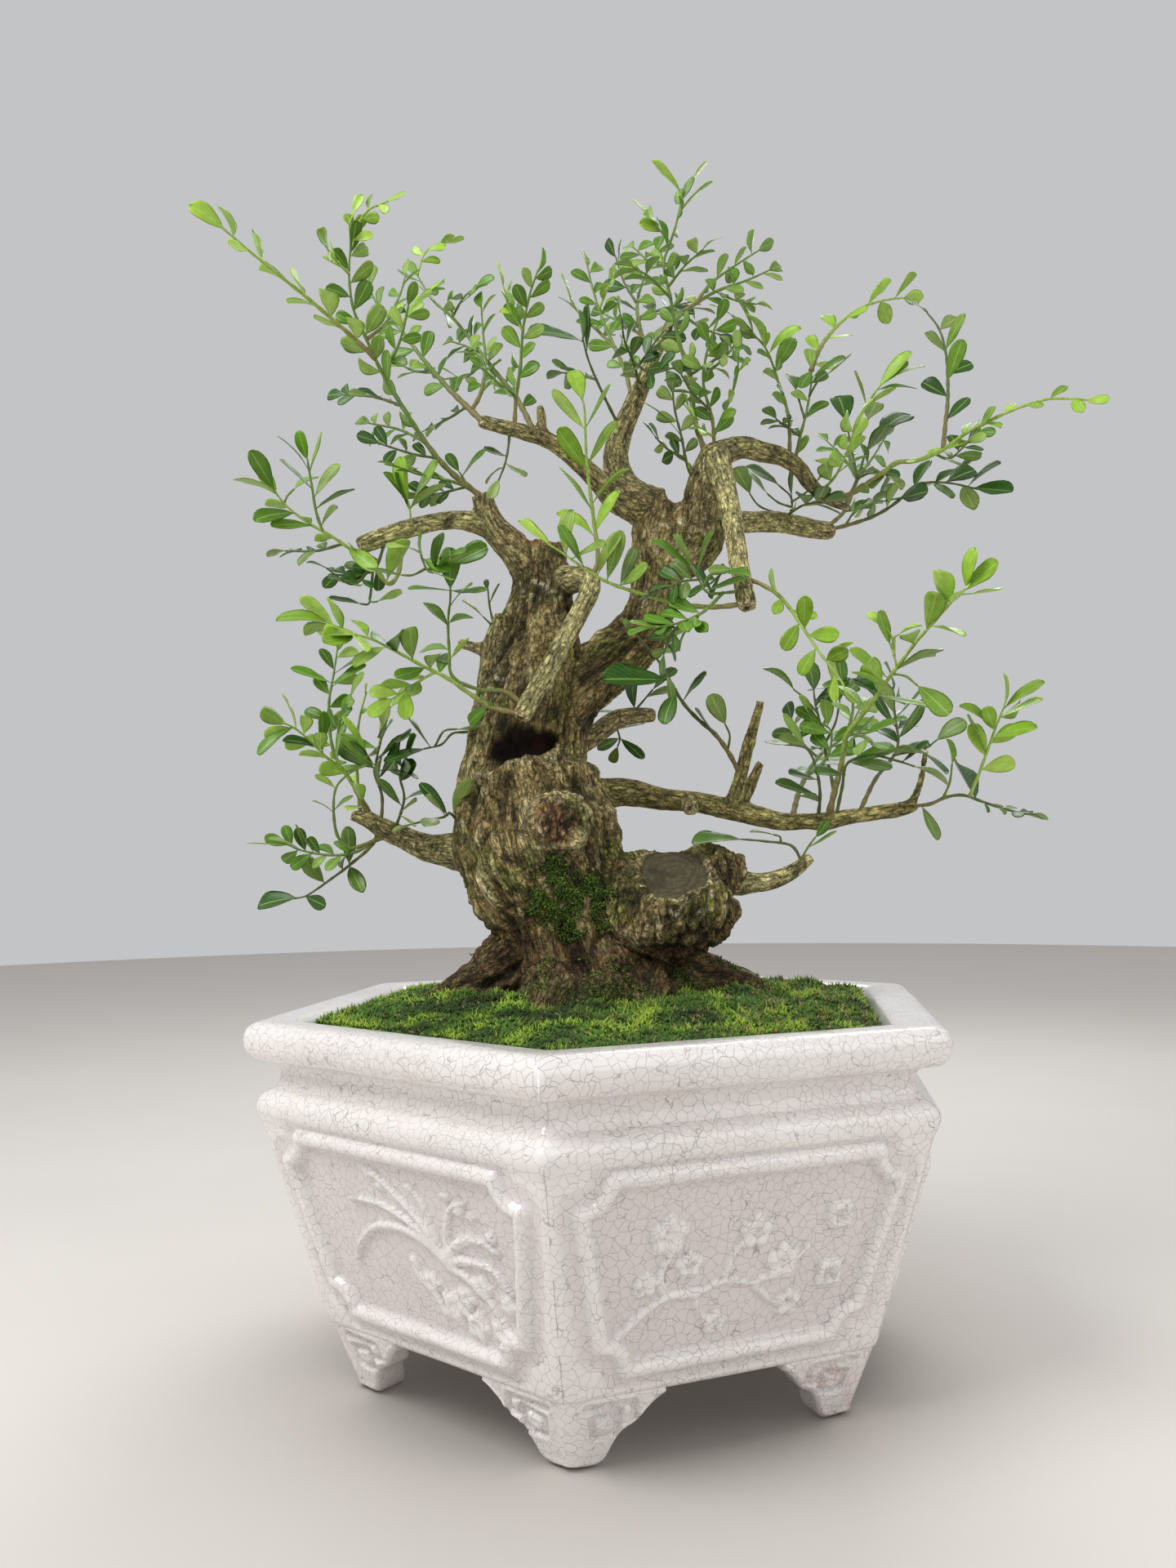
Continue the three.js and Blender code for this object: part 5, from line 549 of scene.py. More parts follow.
        ("mid", 12, 1, 1, -6, (114, 288), (108, 296)),
        ("mid", 12, 6, 0.2, -25, (105, 276), (108, 290), (103, 300)),
        ("mid", 12, 6, 0.2, 20, (104, 270), (110, 276), (116, 273)),
    ],
    "low_right_left_shoot": [
        ("dark", 11, 1, 1, 18, (92, 237), (93, 250), (91, 262), (87, 270), (79, 272)),
        ("dark", 11, 1, 1, 3, (92, 256), (89, 257)),
        ("dark", 11, 1, 1, 5, (93, 246), (90, 246)),
        ("dark", 12, 1, 1, 4, (93, 248), (85, 252)),
        ("dark", 9, 1, 1, -4, (91, 262), (95, 264)),
        ("mid", 10, 1, 1, 2, (87, 270), (84, 275)),
        ("mid", 11, 6, 0.3, -10, (91.5, 260), (97, 268), (98, 278), (93, 282)),
    ],
    "low_right_tall_shoot": [
        ("dark", 17, 2, 0.9, -20, (98, 238), (99, 252), (96, 266), (94, 278), (91, 290), (90, 298)),
        ("mid", 15, 1, 1, 4, (92, 286), (86, 293), (81, 297)),
        ("dark", 13, 1, 1, 6, (92, 288), (97, 293)),
        ("mid", 15, 1, 1, 4, (94, 278), (88, 283)),
        ("mid", 14, 1, 1, -8, (94, 279), (98, 290), (99, 300)),
        ("dark", 12, 1, 1, -6, (95, 272), (100, 282), (102, 292)),
        ("dark", 12, 6, 0.2, -25, (91, 290), (99, 300), (110, 302)),
    ],
    "low_right_wide_shoot": [
        ("dark", 18, 1, 1, 30, (100, 238), (103, 252), (106, 264), (120, 268), (124, 268)),
        ("dark", 18, 1, 1, 6, (106, 264), (112, 263)),
        ("dark", 17, 1, 1, 6, (104, 258), (99, 257)),
        ("dark", 14, 1, 1, 4, (118, 267.5), (130, 264), (136, 262)),
        ("dark", 10, 1, 1, 2, (130, 264), (133, 265)),
        ("mid", 11, 1, 1, 2, (106, 264), (114, 266)),
    ],
    "low_right_upper_shoot": [
        ("dark", 14, 6, 0.5, -38, (110, 240), (118, 256), (128, 270), (127, 286), (126, 298)),
        ("dark", 14, 1, 1, 6, (128, 280), (122, 287)),
        ("dark", 12, 1, 1, 4, (127.5, 284), (132, 287)),
        ("dark", 15, 1, 1, 6, (128, 274), (133, 281)),
        ("dark", 13, 1, 1, 10, (126, 267), (140, 270), (146, 274)),
        ("dark", 11, 1, 1, 8, (138, 269.5), (144, 266)),
    ],
    "low_right_end_shoot": [
        ("dark", 7, 8, 0.6, 18, (134, 244), (143, 245), (150, 248), (158, 249), (167, 246), (176, 243),
          (184, 241), (190, 240)),
        ("dark", 28, 1, 1, -2, (164, 247), (163, 248.5)),
        ("dark", 9, 1, 1, 2, (139, 244.5), (141, 240)),
        ("mid", 10, 1, 1, 6, (149, 247.5), (152, 255), (153, 263)),
        ("young", 13, 6, 0.3, 10, (161, 248.5), (165, 258), (169, 269), (173, 280), (177, 290)),
        ("young", 14, 1, 1, 2, (176.5, 289), (180, 291)),
        ("young", 13, 1, 1, 2, (172.5, 279), (170, 282)),
        ("young", 14, 1, 1, 2, (174.5, 284), (178, 285)),
        ("young", 12, 1, 1, 2, (168.5, 268), (165, 272)),
        ("young", 13, 1, 1, 2, (171, 274.5), (175, 276)),
    ],
    "low_right_back_shoot": [
        ("mid", 11, 10, 0.3, -88, (80, 237), (84, 252), (92, 266), (104, 276), (112, 290)),
        ("dark", 10, 6, 0.2, -25, (92, 266), (84, 274), (80, 284)),
        ("mid", 10, 6, 0.2, -30, (104, 276), (116, 278), (126, 284)),
    ],
}

# Limbs that end in a saw cut, whose end face is pale wood.
CUT_ENDS = (
    "main_trunk", "knob_twig", "low_right_knot", "low_right_dead_stub", "low_right_end_stub",
    "low_right_stub", "small_left_limb", "small_right_limb", "crossing_stub", "left_limb",
    "pale_left_branch", "left_crown_limb",
    "left_crown_stub", "hanging_stub", "rear_right_branch",
)
STUMP_CUT = (26.0, 213.0, 30.0)
STUMP_CUT_LEAN = math.radians(38)
STUMP_CUT_TURN = math.radians(-8)
HOLLOW = (-38.0, 274.0, 30.0)
SCAR = (-27.0, 236.0, 48.0)

# Pads of moss on the trunk: (across, up, towards, radius).
TRUNK_MOSS = [(-31, 207, 34, 12), (-24, 200, 36, 12), (-14, 198, 34, 12), (-18, 190, 34, 9)]

# The pot: heights of its wall and panels, the margin at their sides and the radius of their notched corners.
SIDES = 6
BODY_LOW, BODY_HIGH = 30.5, 112.0
WALL_RADIUS = 104
PANEL_LOW, PANEL_HIGH, PANEL_MARGIN, PANEL_NOTCH = 34.5, 109.5, 10.5, 10.0
RIM_INSIDE = 133.0
FOOT_HALF, FOOT_TOP, FOOT_EDGE = 38, 33.0, 2.2
FOOT_OUTLINE = [(0, 0), (9, 0), (11.5, 0.6), (14, 3), (17, 9), (21, 13), (26, 15), (30, 19), (34, 22.6),
                (38, 25)]


def linear(code):
    """The linear red, green and blue of a colour written as #rrggbb."""
    steps = np.array([int(code[i:i + 2], 16) / 255 for i in (1, 3, 5)])
    return np.where(steps <= 0.04045, steps / 12.92, ((steps + 0.055) / 1.055) ** 2.4)


def sight(drawn):
    """Points of space for rows of (across, up, towards): each lies on the ray from the eye through
    (across, up) of the drawing plane, where its distance from the eye's own plane is the eye's distance
    less towards."""
    drawn = np.atleast_2d(np.asarray(drawn, float))
    foot = -EYE
    foot = foot * PLANE_DISTANCE / (foot @ LOOK)
    x = drawn[:, 0] + foot @ PICTURE_RIGHT
    y = drawn[:, 1] + foot @ PICTURE_UP
    ray = PLANE_DISTANCE * LOOK + x[:, None] * PICTURE_RIGHT + y[:, None] * PICTURE_UP
    return EYE + ray * ((EYE_DISTANCE - drawn[:, 2]) / (ray @ AWAY))[:, None]


def nearness(towards):
    """How much a drawn size shrinks at a depth towards the eye."""
    return (EYE_DISTANCE - towards) / EYE_DISTANCE


def chance(seed):
    """A repeatable number from 0 to 1: the broken part of a large multiple of a sine."""
    wave = np.sin(np.asarray(seed, float) * 12.9898 + 4.1414) * 43758.5453
    return wave - np.floor(wave)


def smoothstep(low, high, value):
    """0 up to low and 1 from high on, with a smooth s-shaped climb t * t * (3 - 2 * t) between them."""
    share = np.clip((value - low) / (high - low), 0, 1)
    return share * share * (3 - 2 * share)


def noise(points, seed=0):
    """Smooth noise from -1 to 1: a random number at each whole-number point of space, blended between
    the eight corners of each cell by a smooth cubic weight."""
    cell = np.floor(points).astype(np.int64)
    local = points - cell
    blend = local * local * (3 - 2 * local)
    total = np.zeros(len(points))
    for corner in range(8):
        step = np.array([(corner >> axis) & 1 for axis in range(3)])
        x, y, z = ((cell + step).astype(np.uint64) & np.uint64(0xFFFFF)).T
        code = (x * np.uint64(73856093)) ^ (y * np.uint64(19349663)) ^ (z * np.uint64(83492791))
        code = (code + np.uint64(seed * 7919 + 17)) & np.uint64(0xFFFFFFFF)
        code = ((code ^ (code >> np.uint64(15))) * np.uint64(2246822519)) & np.uint64(0xFFFFFFFF)
        code = ((code ^ (code >> np.uint64(13))) * np.uint64(3266489917)) & np.uint64(0xFFFFFFFF)
        code = code ^ (code >> np.uint64(16))
        weight = np.prod(np.where(step, blend, 1 - blend), axis=1)
        total += weight * (code & np.uint64(0xFFFFFF)).astype(float) / 0xFFFFFF
    return 2 * total - 1


def layered_noise(points, layers=3, seed=0):
    """A sum of noise at doubling fineness and halving strength, from about -1 to 1."""
    total, strength = np.zeros(len(points)), 1.0
    for layer in range(layers):
        total += strength * noise(points * 2.0 ** layer + 31.7 * layer, seed + layer)
        strength *= 0.5
    return total / (2 - 2 * strength)


def smooth_path(rows, step):
    """A curve through all rows with a station about every step. The span from b to c, with a before and d
    after them, is (2b + (c - a)t + (2a - 5b + 4c - d)tt + (3b - a - 3c + d)ttt) / 2 for t from 0 to 1."""
    rows = np.asarray(rows, float)
    padded = np.vstack([2 * rows[0] - rows[1], rows, 2 * rows[-1] - rows[-2]])
    spans = []
    for i in range(1, len(rows)):
        a, b, c, d = padded[i - 1:i + 3]
        count = max(1, int(round(np.linalg.norm((c - b)[:3]) / step)))
        t = np.arange(count)[:, None] / count
        spans.append(0.5 * (2 * b + (c - a) * t + (2 * a - 5 * b + 4 * c - d) * t ** 2
                            + (3 * b - a - 3 * c + d) * t ** 3))
    return np.vstack([*spans, rows[-1:]])


def carried_frame(path):
    """Direction of a path and two sides square to it at each station, turned as little as possible."""
    run = np.gradient(path, axis=0)
    run /= np.linalg.norm(run, axis=1)[:, None]
    side = np.cross([1.0, 0.0, 0.0], run[0])
    if np.linalg.norm(side) < 0.3:
        side = np.cross([0.0, 1.0, 0.0], run[0])
    sides = []
    for heading in run:
        side = side - heading * (side @ heading)
        side = side / np.linalg.norm(side)
        sides.append(side)
    sides = np.array(sides)
    return run, sides, np.cross(run, sides)


def grid_faces(rows, columns, start=0, closed_rows=False):
    """Four-cornered faces between the rows and columns of a grid of points, as corner numbers. The last
    column joins the first one."""
    row = np.arange(rows if closed_rows else rows - 1)[:, None]
    column = np.arange(columns)[None, :]
    next_row, next_column = (row + 1) % rows, (column + 1) % columns
    corners = [row * columns + column, row * columns + next_column, next_row * columns + next_column,
               next_row * columns + column]
    cells = np.stack([np.broadcast_to(corner, (row.size, column.size)) for corner in corners], -1)
    return cells.reshape(-1, 4) + start


def tube(path, radii, around):
    """A closed tube: a ring of points at each station, point = path + radius * (side * cos a + other * sin
    a), and a middle point that closes each end. Gives points, four-cornered and three-cornered faces."""
    _, side, other = carried_frame(path)
    angle = 2 * np.pi * np.arange(around) / around
    rings = path[:, None] + radii[:, None, None] * (
        side[:, None] * np.cos(angle)[None, :, None] + other[:, None] * np.sin(angle)[None, :, None])
    count = len(path)
    points = np.vstack([rings.reshape(-1, 3), path[:1], path[-1:]])
    column = np.arange(around)
    after = (column + 1) % around
    low = np.stack([np.full(around, count * around), after, column], 1)
    high = np.stack([np.full(around, count * around + 1), (count - 1) * around + column,
                     (count - 1) * around + after], 1)
    return points, grid_faces(count, around), np.vstack([low, high])


def put_mesh(name, points, faces, materials, colours=None, numbers=None, flat_map=None, material_of=None):
    """A mesh object in metres in the row's frame, from points in millimetres about the pot's axis."""
    mesh = bpy.data.meshes.new(name)
    faces = [np.asarray(group) for group in faces if len(group)]
    mesh.from_pydata((np.asarray(points) * MM + POT_PLACE).tolist(), [],
                     [face for group in faces for face in group.tolist()])
    for material in materials:
        mesh.materials.append(material)
    for key, values in (colours or {}).items():
        layer = mesh.color_attributes.new(key, "FLOAT_COLOR", "POINT")
        opaque = np.hstack([values, np.ones((len(values), 1))])
        layer.data.foreach_set("color", opaque.astype(np.float32).ravel())
    for key, values in (numbers or {}).items():
        mesh.attributes.new(key, "FLOAT", "POINT").data.foreach_set("value", np.asarray(values, np.float32))
    if flat_map is not None:
        corner = np.empty(len(mesh.loops), np.int32)
        mesh.loops.foreach_get("vertex_index", corner)
        layer = mesh.uv_layers.new(name="surface")
        layer.data.foreach_set("uv", flat_map[corner].astype(np.float32).ravel())
    if material_of is not None:
        mesh.polygons.foreach_set("material_index", np.asarray(material_of, np.int32))
    mesh.polygons.foreach_set("use_smooth", np.ones(len(mesh.polygons), bool))
    mesh.update()
    if mesh.validate(verbose=False):
        raise RuntimeError(f"{name} has faces that Blender had to mend")
    piece = bpy.data.objects.new(name, mesh)
    bpy.context.scene.collection.objects.link(piece)
    return piece


def take_place(piece, slot, *nodes):
    """Puts a piece under the root body and hides the nodes of the CAD that it replaces. Its slot is not
    used.
    """
    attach(piece, "root")
    if nodes:
        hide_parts(*nodes)
    return piece


# Materials
class Recipe:
    """Builds one procedural material, node by node."""

    def __init__(self, name):
        """Starts a material of this name from Blender's plain one."""
        self.material = bpy.data.materials.new(name)
        self.material.use_nodes = True
        self.tree = self.material.node_tree
        self.shader = self.tree.nodes["Principled BSDF"]

    def node(self, kind, **settings):
        """A new node with some of its settings."""
        made = self.tree.nodes.new(kind)
        for key, value in settings.items():
            setattr(made, key, value)
        return made

    def wire(self, source, target):
        """Links an output to an input."""
        self.tree.links.new(source, target)

    def set(self, **sockets):
        """Sets plain values of the shader, with _ for a space in an input's name."""
        for key, value in sockets.items():
            self.shader.inputs[key.replace("_", " ")].default_value = value

    def place(self):
        """Place on the object, in metres."""
        return self.node("ShaderNodeTexCoord").outputs["Object"]

    def painted(self, name):
        """Colour or vector stored in the mesh under a name."""
        return self.node("ShaderNodeAttribute", attribute_name=name).outputs["Color"]

    def measured(self, name):
        """Number stored in the mesh under a name."""
        return self.node("ShaderNodeAttribute", attribute_name=name).outputs["Fac"]

    def maths(self, operation, *values):
        """One step of arithmetic on outputs or plain numbers."""
        made = self.node("ShaderNodeMath", operation=operation)
        for socket, value in zip(made.inputs, values):
            if isinstance(value, (int, float)):
                socket.default_value = value
            else:
                self.wire(value, socket)
        return made.outputs[0]

    def span(self, value, low, high, out_low=0.0, out_high=1.0):
        """A value from low to high made into one from out_low to out_high, and held there beyond."""
        made = self.node("ShaderNodeMapRange", clamp=True)
        self.wire(value, made.inputs["Value"])
        for key, number in zip(("From Min", "From Max", "To Min", "To Max"), (low, high, out_low, out_high)):
            made.inputs[key].default_value = number
        return made.outputs["Result"]

    def blend(self, share, first, second):
        """A mix of two colours by a share."""
        made = self.node("ShaderNodeMix", data_type="RGBA")
        for socket, value in zip((made.inputs[0], made.inputs[6], made.inputs[7]), (share, first, second)):
            if isinstance(value, (int, float)):
                socket.default_value = value
            elif isinstance(value, (tuple, list, np.ndarray)):
                socket.default_value = (*value, 1.0)
            else:
                self.wire(value, socket)
        return made.outputs[2]

    def grain(self, scale, detail=3.0, roughness=0.55, where=None, distortion=0.0):
        """Noise of some features a metre."""
        made = self.node("ShaderNodeTexNoise")
        self.wire(where or self.place(), made.inputs["Vector"])
        made.inputs["Scale"].default_value = scale
        made.inputs["Detail"].default_value = detail
        made.inputs["Roughness"].default_value = roughness
        made.inputs["Distortion"].default_value = distortion
        return made.outputs["Fac"]

    def stretched(self, along, where=None):
        """A place scaled along each axis."""
        made = self.node("ShaderNodeMapping")
        self.wire(where or self.place(), made.inputs["Vector"])
        made.inputs["Scale"].default_value = along
        return made.outputs["Vector"]

    def bent(self, scale, detail, amount, where=None):
        """A place moved by noise: place + amount * noise."""
        wobble = self.node("ShaderNodeTexNoise")
        self.wire(self.place(), wobble.inputs["Vector"])
        wobble.inputs["Scale"].default_value = scale
        wobble.inputs["Detail"].default_value = detail
        moved = self.node("ShaderNodeVectorMath", operation="MULTIPLY_ADD")
        self.wire(wobble.outputs["Color"], moved.inputs[0])
        moved.inputs[1].default_value = (amount,) * 3
        self.wire(where or self.place(), moved.inputs[2])
        return moved.outputs["Vector"]

    def cell_edges(self, where, scale):
        """Distance to the nearest edge of random cells."""
        cells = self.node("ShaderNodeTexVoronoi", feature="DISTANCE_TO_EDGE")
        self.wire(where, cells.inputs["Vector"])
        cells.inputs["Scale"].default_value = scale
        return cells.outputs["Distance"]

    def lit(self, name, amount):
        """The colour stored under a name, made lighter or darker by an amount."""
        scaled = self.node("ShaderNodeVectorMath", operation="SCALE")
        self.wire(self.painted(name), scaled.inputs[0])
        self.wire(amount, scaled.inputs["Scale"])
        return scaled.outputs["Vector"]

    def product(self, *values):
        """All values multiplied."""
        total = values[0]
        for value in values[1:]:
            total = self.maths("MULTIPLY", total, value)
        return total

    def bump(self, height, depth, strength=1.0):
        """Relief of a depth in millimetres."""
        made = self.node("ShaderNodeBump")
        self.wire(height, made.inputs["Height"])
        made.inputs["Distance"].default_value = depth * MM
        made.inputs["Strength"].default_value = strength
        self.wire(made.outputs["Normal"], self.shader.inputs["Normal"])

    def colour(self, socket):
        """Uses an output as the surface's colour."""
        self.wire(socket, self.shader.inputs["Base Color"])

    def rough(self, socket):
        """Uses an output as the surface's roughness."""
        self.wire(socket, self.shader.inputs["Roughness"])


def glaze_material(sizes):
    """White glaze with a net of grey hair cracks: the cracks are the edges of random cells, bent a
    little."""
    recipe = Recipe("crackle_glaze")
    bent = recipe.bent(120, 2, 0.0042)
    masks = []
    for cell, width, strength in ((sizes.crack_cell, 0.13, 0.62), (sizes.crack_cell * 0.55, 0.10, 0.34)):
        edges = recipe.cell_edges(bent, 1 / (cell * MM))
        masks.append(recipe.span(edges, 0.25 * width / cell, width / cell, strength, 0.0))
    fine = recipe.maths("MULTIPLY", masks[1], recipe.span(recipe.grain(38, 2), 0.42, 0.6))
    worn = recipe.span(recipe.grain(24, 2), 0.3, 0.72, 0.55, 1.0)
    crack = recipe.maths("MULTIPLY", recipe.maths("MAXIMUM", masks[0], fine), worn)
    cloud = recipe.span(recipe.grain(14, 3), 0.35, 0.7)
    # The stored glaze colour holds pooled glaze in the recesses and painted shade under the body and feet.
    body = recipe.blend(recipe.maths("MULTIPLY", cloud, 0.35), recipe.painted("glaze"), linear("#e9e2de"))
    speck = recipe.span(recipe.grain(420, 1), 0.79, 0.82, 0.0, 0.6)
    spotted = recipe.blend(speck, body, linear("#8f8781"))
    recipe.colour(recipe.blend(crack, spotted, tuple(sizes.crack)))
    dull = recipe.maths("ADD", recipe.maths("MULTIPLY", crack, 0.5), recipe.grain(60, 2))
    recipe.rough(recipe.span(dull, 0.3, 1.2, 0.10, 0.34))
    recipe.set(IOR=1.52, Coat_Weight=0.35, Coat_Roughness=0.06)
    waves = recipe.maths("ADD", recipe.grain(75, 2), recipe.maths("MULTIPLY", crack, -0.28))
    recipe.bump(waves, 0.55, 0.55)
    return recipe.material


def bark_material():
    """Bark coloured by its own attribute, with fibres that run along each limb, cracks between them and
    flakes. Where this relief sinks the colour is darker and where it rises lighter: painted shade and
    highlight over the bark's own pattern."""
    recipe = Recipe("gnarled_bark")
    limb = recipe.painted("limb_place")
    fibre = recipe.grain(9, 4, 0.65, where=recipe.stretched((1, 1, 0.16), limb))
    strand = recipe.grain(26, 3, 0.6, where=recipe.stretched((1, 1, 0.12), limb))
    flake = recipe.grain(330, 4, 0.72, distortion=0.9)
    fine = recipe.grain(1100, 3, 0.65)
    crack = recipe.span(fibre, 0.38, 0.5)
    edges = recipe.cell_edges(recipe.bent(260, 2, 0.35, recipe.stretched((1, 1, 0.5), limb)), 3.6)
    plate = recipe.span(edges, 0.02, 0.2)
    pits = recipe.span(recipe.grain(150, 4, 0.7, distortion=0.6), 0.34, 0.46)
    # Painted shade and highlight: each pattern that raises the bump below also lightens the colour, and
    # darkens it where it sinks.
    shade = recipe.product(recipe.span(strand, 0.32, 0.7, 0.66, 1.34),
                           recipe.span(flake, 0.32, 0.7, 0.55, 1.75),
                           recipe.span(crack, 0.0, 1.0, 0.42, 1.08),
                           recipe.span(plate, 0.0, 1.0, 0.62, 1.22),
                           recipe.span(pits, 0.0, 1.0, 0.4, 1.08))
    rough_share = recipe.maths("SUBTRACT", 1.0, recipe.maths("MULTIPLY", recipe.measured("sawn"), 0.75))
    shade = recipe.maths("MULTIPLY_ADD", recipe.maths("SUBTRACT", shade, 1.0), rough_share, 1.0)
    recipe.colour(recipe.lit("bark", recipe.maths("MULTIPLY", shade, recipe.span(fine, 0.3, 0.7, 0.8, 1.2))))
    recipe.rough(recipe.span(fine, 0.3, 0.7, 0.72, 0.95))
    relief = recipe.maths("ADD", recipe.maths("MULTIPLY", crack, 0.9), recipe.maths("MULTIPLY", strand, 0.7))
    relief = recipe.maths("ADD", relief, recipe.maths("ADD", flake, recipe.maths("MULTIPLY", fine, 0.4)))
    relief = recipe.maths("ADD", relief, recipe.maths("ADD", recipe.maths("MULTIPLY", plate, 0.8), pits))
    recipe.bump(recipe.maths("MULTIPLY", relief, rough_share), 1.0, 1.0)
    recipe.set(IOR=1.42)
    return recipe.material


def moss_material():
    """Moss leaves, each coloured by its own attribute and flecked."""
    recipe = Recipe("moss_leaves")
    flicker = recipe.span(recipe.grain(520, 2), 0.3, 0.7, 0.72, 1.28)
    recipe.colour(recipe.lit("moss", flicker))
    recipe.rough(recipe.span(flicker, 0.7, 1.3, 0.55, 0.85))
    recipe.bump(recipe.grain(900, 3), 0.5, 0.6)
    return recipe.material


def soil_material():
    """Dark crumbs of soil."""
    recipe = Recipe("damp_soil")
    crumbs = recipe.grain(260, 6, 0.7)
    recipe.colour(recipe.blend(recipe.span(crumbs, 0.35, 0.68), linear("#1d140d"), linear("#5a4431")))
    recipe.rough(recipe.span(crumbs, 0.3, 0.7, 0.85, 0.98))
    recipe.bump(crumbs, 1.6, 0.9)
    return recipe.material


def plastic_material():
    """Black plastic with a faint grain."""
    recipe = Recipe("black_mesh")
    grain = recipe.grain(700, 3)
    recipe.colour(recipe.blend(recipe.span(grain, 0.3, 0.7), linear("#161616"), linear("#262524")))
    recipe.rough(recipe.span(grain, 0.3, 0.7, 0.5, 0.68))
    recipe.bump(grain, 0.15, 0.5)
    return recipe.material


def leaf_material(sizes):
    """Leaf skin: its own colour, paler along the midrib and faintly along the side veins, with a waxy
    gloss."""
    recipe = Recipe("leaf")
    split = recipe.node("ShaderNodeSeparateXYZ")
    recipe.wire(recipe.node("ShaderNodeUVMap", uv_map="surface").outputs["UV"], split.inputs[0])
    off = recipe.maths("ABSOLUTE", recipe.maths("SUBTRACT", split.outputs["X"], 0.5))
    rib = recipe.span(off, 0.012, 0.05, 1.0, 0.0)
    slant = recipe.maths("SUBTRACT", recipe.maths("MULTIPLY", split.outputs["Y"], 52.0),
                         recipe.maths("MULTIPLY", off, 42.0))
    veins = recipe.span(recipe.maths("SINE", slant), 0.72, 1.0)
    mottle = recipe.span(recipe.grain(230, 3), 0.3, 0.72, 0.82, 1.2)
    pale = linear("#c9de86")
    ribbed = recipe.blend(recipe.maths("MULTIPLY", rib, 0.42), recipe.lit("leaf", mottle), pale)
    recipe.colour(recipe.blend(recipe.maths("MULTIPLY", veins, 0.10), ribbed, pale))
    recipe.rough(recipe.span(recipe.grain(90, 2), 0.3, 0.7, sizes.roughness - 0.07, sizes.roughness + 0.07))
    recipe.set(IOR=1.42)
    sunk = recipe.maths("ADD", recipe.maths("MULTIPLY", veins, -0.25), recipe.maths("MULTIPLY", rib, -0.6))
    recipe.bump(sunk, 0.1, 0.3)
    return recipe.material


def stem_material():
    """Thin skin of a green twig, streaked along it."""
    recipe = Recipe("green_stem")
    streak = recipe.grain(800, 3, where=recipe.stretched((1, 1, 0.35)))
    recipe.colour(recipe.lit("leaf", recipe.span(streak, 0.3, 0.7, 0.7, 1.25)))
    recipe.rough(recipe.span(streak, 0.3, 0.7, 0.45, 0.65))
    recipe.bump(streak, 0.2, 0.6)
    return recipe.material


def floor_material(colour):
    """Plain matt floor."""
    recipe = Recipe("floor")
    grain = recipe.grain(6, 2)
    shade = tuple(colour)
    recipe.colour(recipe.blend(recipe.span(grain, 0.3, 0.7), [0.97 * c for c in shade], shade))
    recipe.rough(recipe.span(grain, 0.3, 0.7, 0.75, 0.85))
    return recipe.material


def kept_material(name, make, *words):
    """The material of this name, made now if it isn't there yet."""
    return bpy.data.materials.get(name) or make(*words)


# The pot
def side_directions(side):
    """Outward and sideways directions of a flat side. Side 0 lies just right of the front corner."""
    outward = math.radians(-60 + 60 * side)
    return (np.array([math.cos(outward), math.sin(outward), 0.0]),
            np.array([-math.sin(outward), math.cos(outward), 0.0]))


def six_sided(radius, rounding, columns, arc_columns=6):
    """Points round a six-sided ring whose corners are rounded: on each side first a twelfth of a turn of the
    rounding circle about the corner's centre, then the flat, then another twelfth. Also gives, for each
    column, its side, its distance along the flat and how fully it lies on the flat."""
    reach = radius - rounding / math.sin(math.pi / 3)
    apothem = radius * math.cos(math.pi / 6)
    turn = np.radians(np.linspace(-30, 0, arc_columns, endpoint=False))
    flat = np.linspace(-1, 1, columns - 2 * arc_columns)
    points, sides, along, on_flat = [], [], [], []
    for side in range(SIDES):
        outward, sideways = side_directions(side)
        start = -reach / 2
        bent = np.concatenate([start + rounding * np.sin(turn), flat * reach / 2,
                               -start - rounding * np.sin(turn[::-1])])
        depth = np.concatenate([apothem - rounding + rounding * np.cos(turn), np.full(len(flat), apothem),
                                apothem - rounding + rounding * np.cos(turn[::-1])])
        points.append(outward * depth[:, None] + sideways * bent[:, None])
        sides.append(np.full(columns, side))
        along.append(bent)
        on_flat.append(np.concatenate([np.zeros(arc_columns), np.ones(len(flat)), np.zeros(arc_columns)]))
    return np.vstack(points), np.concatenate(sides), np.concatenate(along), np.concatenate(on_flat)


def section_rows(section):
    """Stations along a smooth curve through (radius, height, spacing), as close together as spacing says."""
    fine = smooth_path(section, 0.25)
    step = np.linalg.norm(np.diff(fine[:, :2], axis=0), axis=1)
    count = np.concatenate([[0], np.cumsum(step / np.clip(fine[1:, 2], 0.5, None))])
    wanted = np.linspace(0, count[-1], int(round(count[-1])) + 1)
    return np.column_stack([np.interp(wanted, count, fine[:, axis]) for axis in (0, 1)])


def swept_ring(rows, columns):
    """A closed ring-shaped solid: a six-sided ring at each row of a closed section. Gives points, faces
    and, for each point, its side, its distance along the side, its height and how fully it lies on the
    flat."""
    rings, details = [], []
    for radius, height in rows:
        rounding = np.interp(radius, (13.86, 60), (12, 6))
        ring, side, along, on_flat = six_sided(radius, rounding, columns)
        rings.append(np.column_stack([ring[:, :2], np.full(len(ring), height)]))
        details.append(np.column_stack([side, along, np.full(len(ring), height), on_flat]))
    return np.vstack(rings), grid_faces(len(rows), columns * SIDES, closed_rows=True), np.vstack(details)


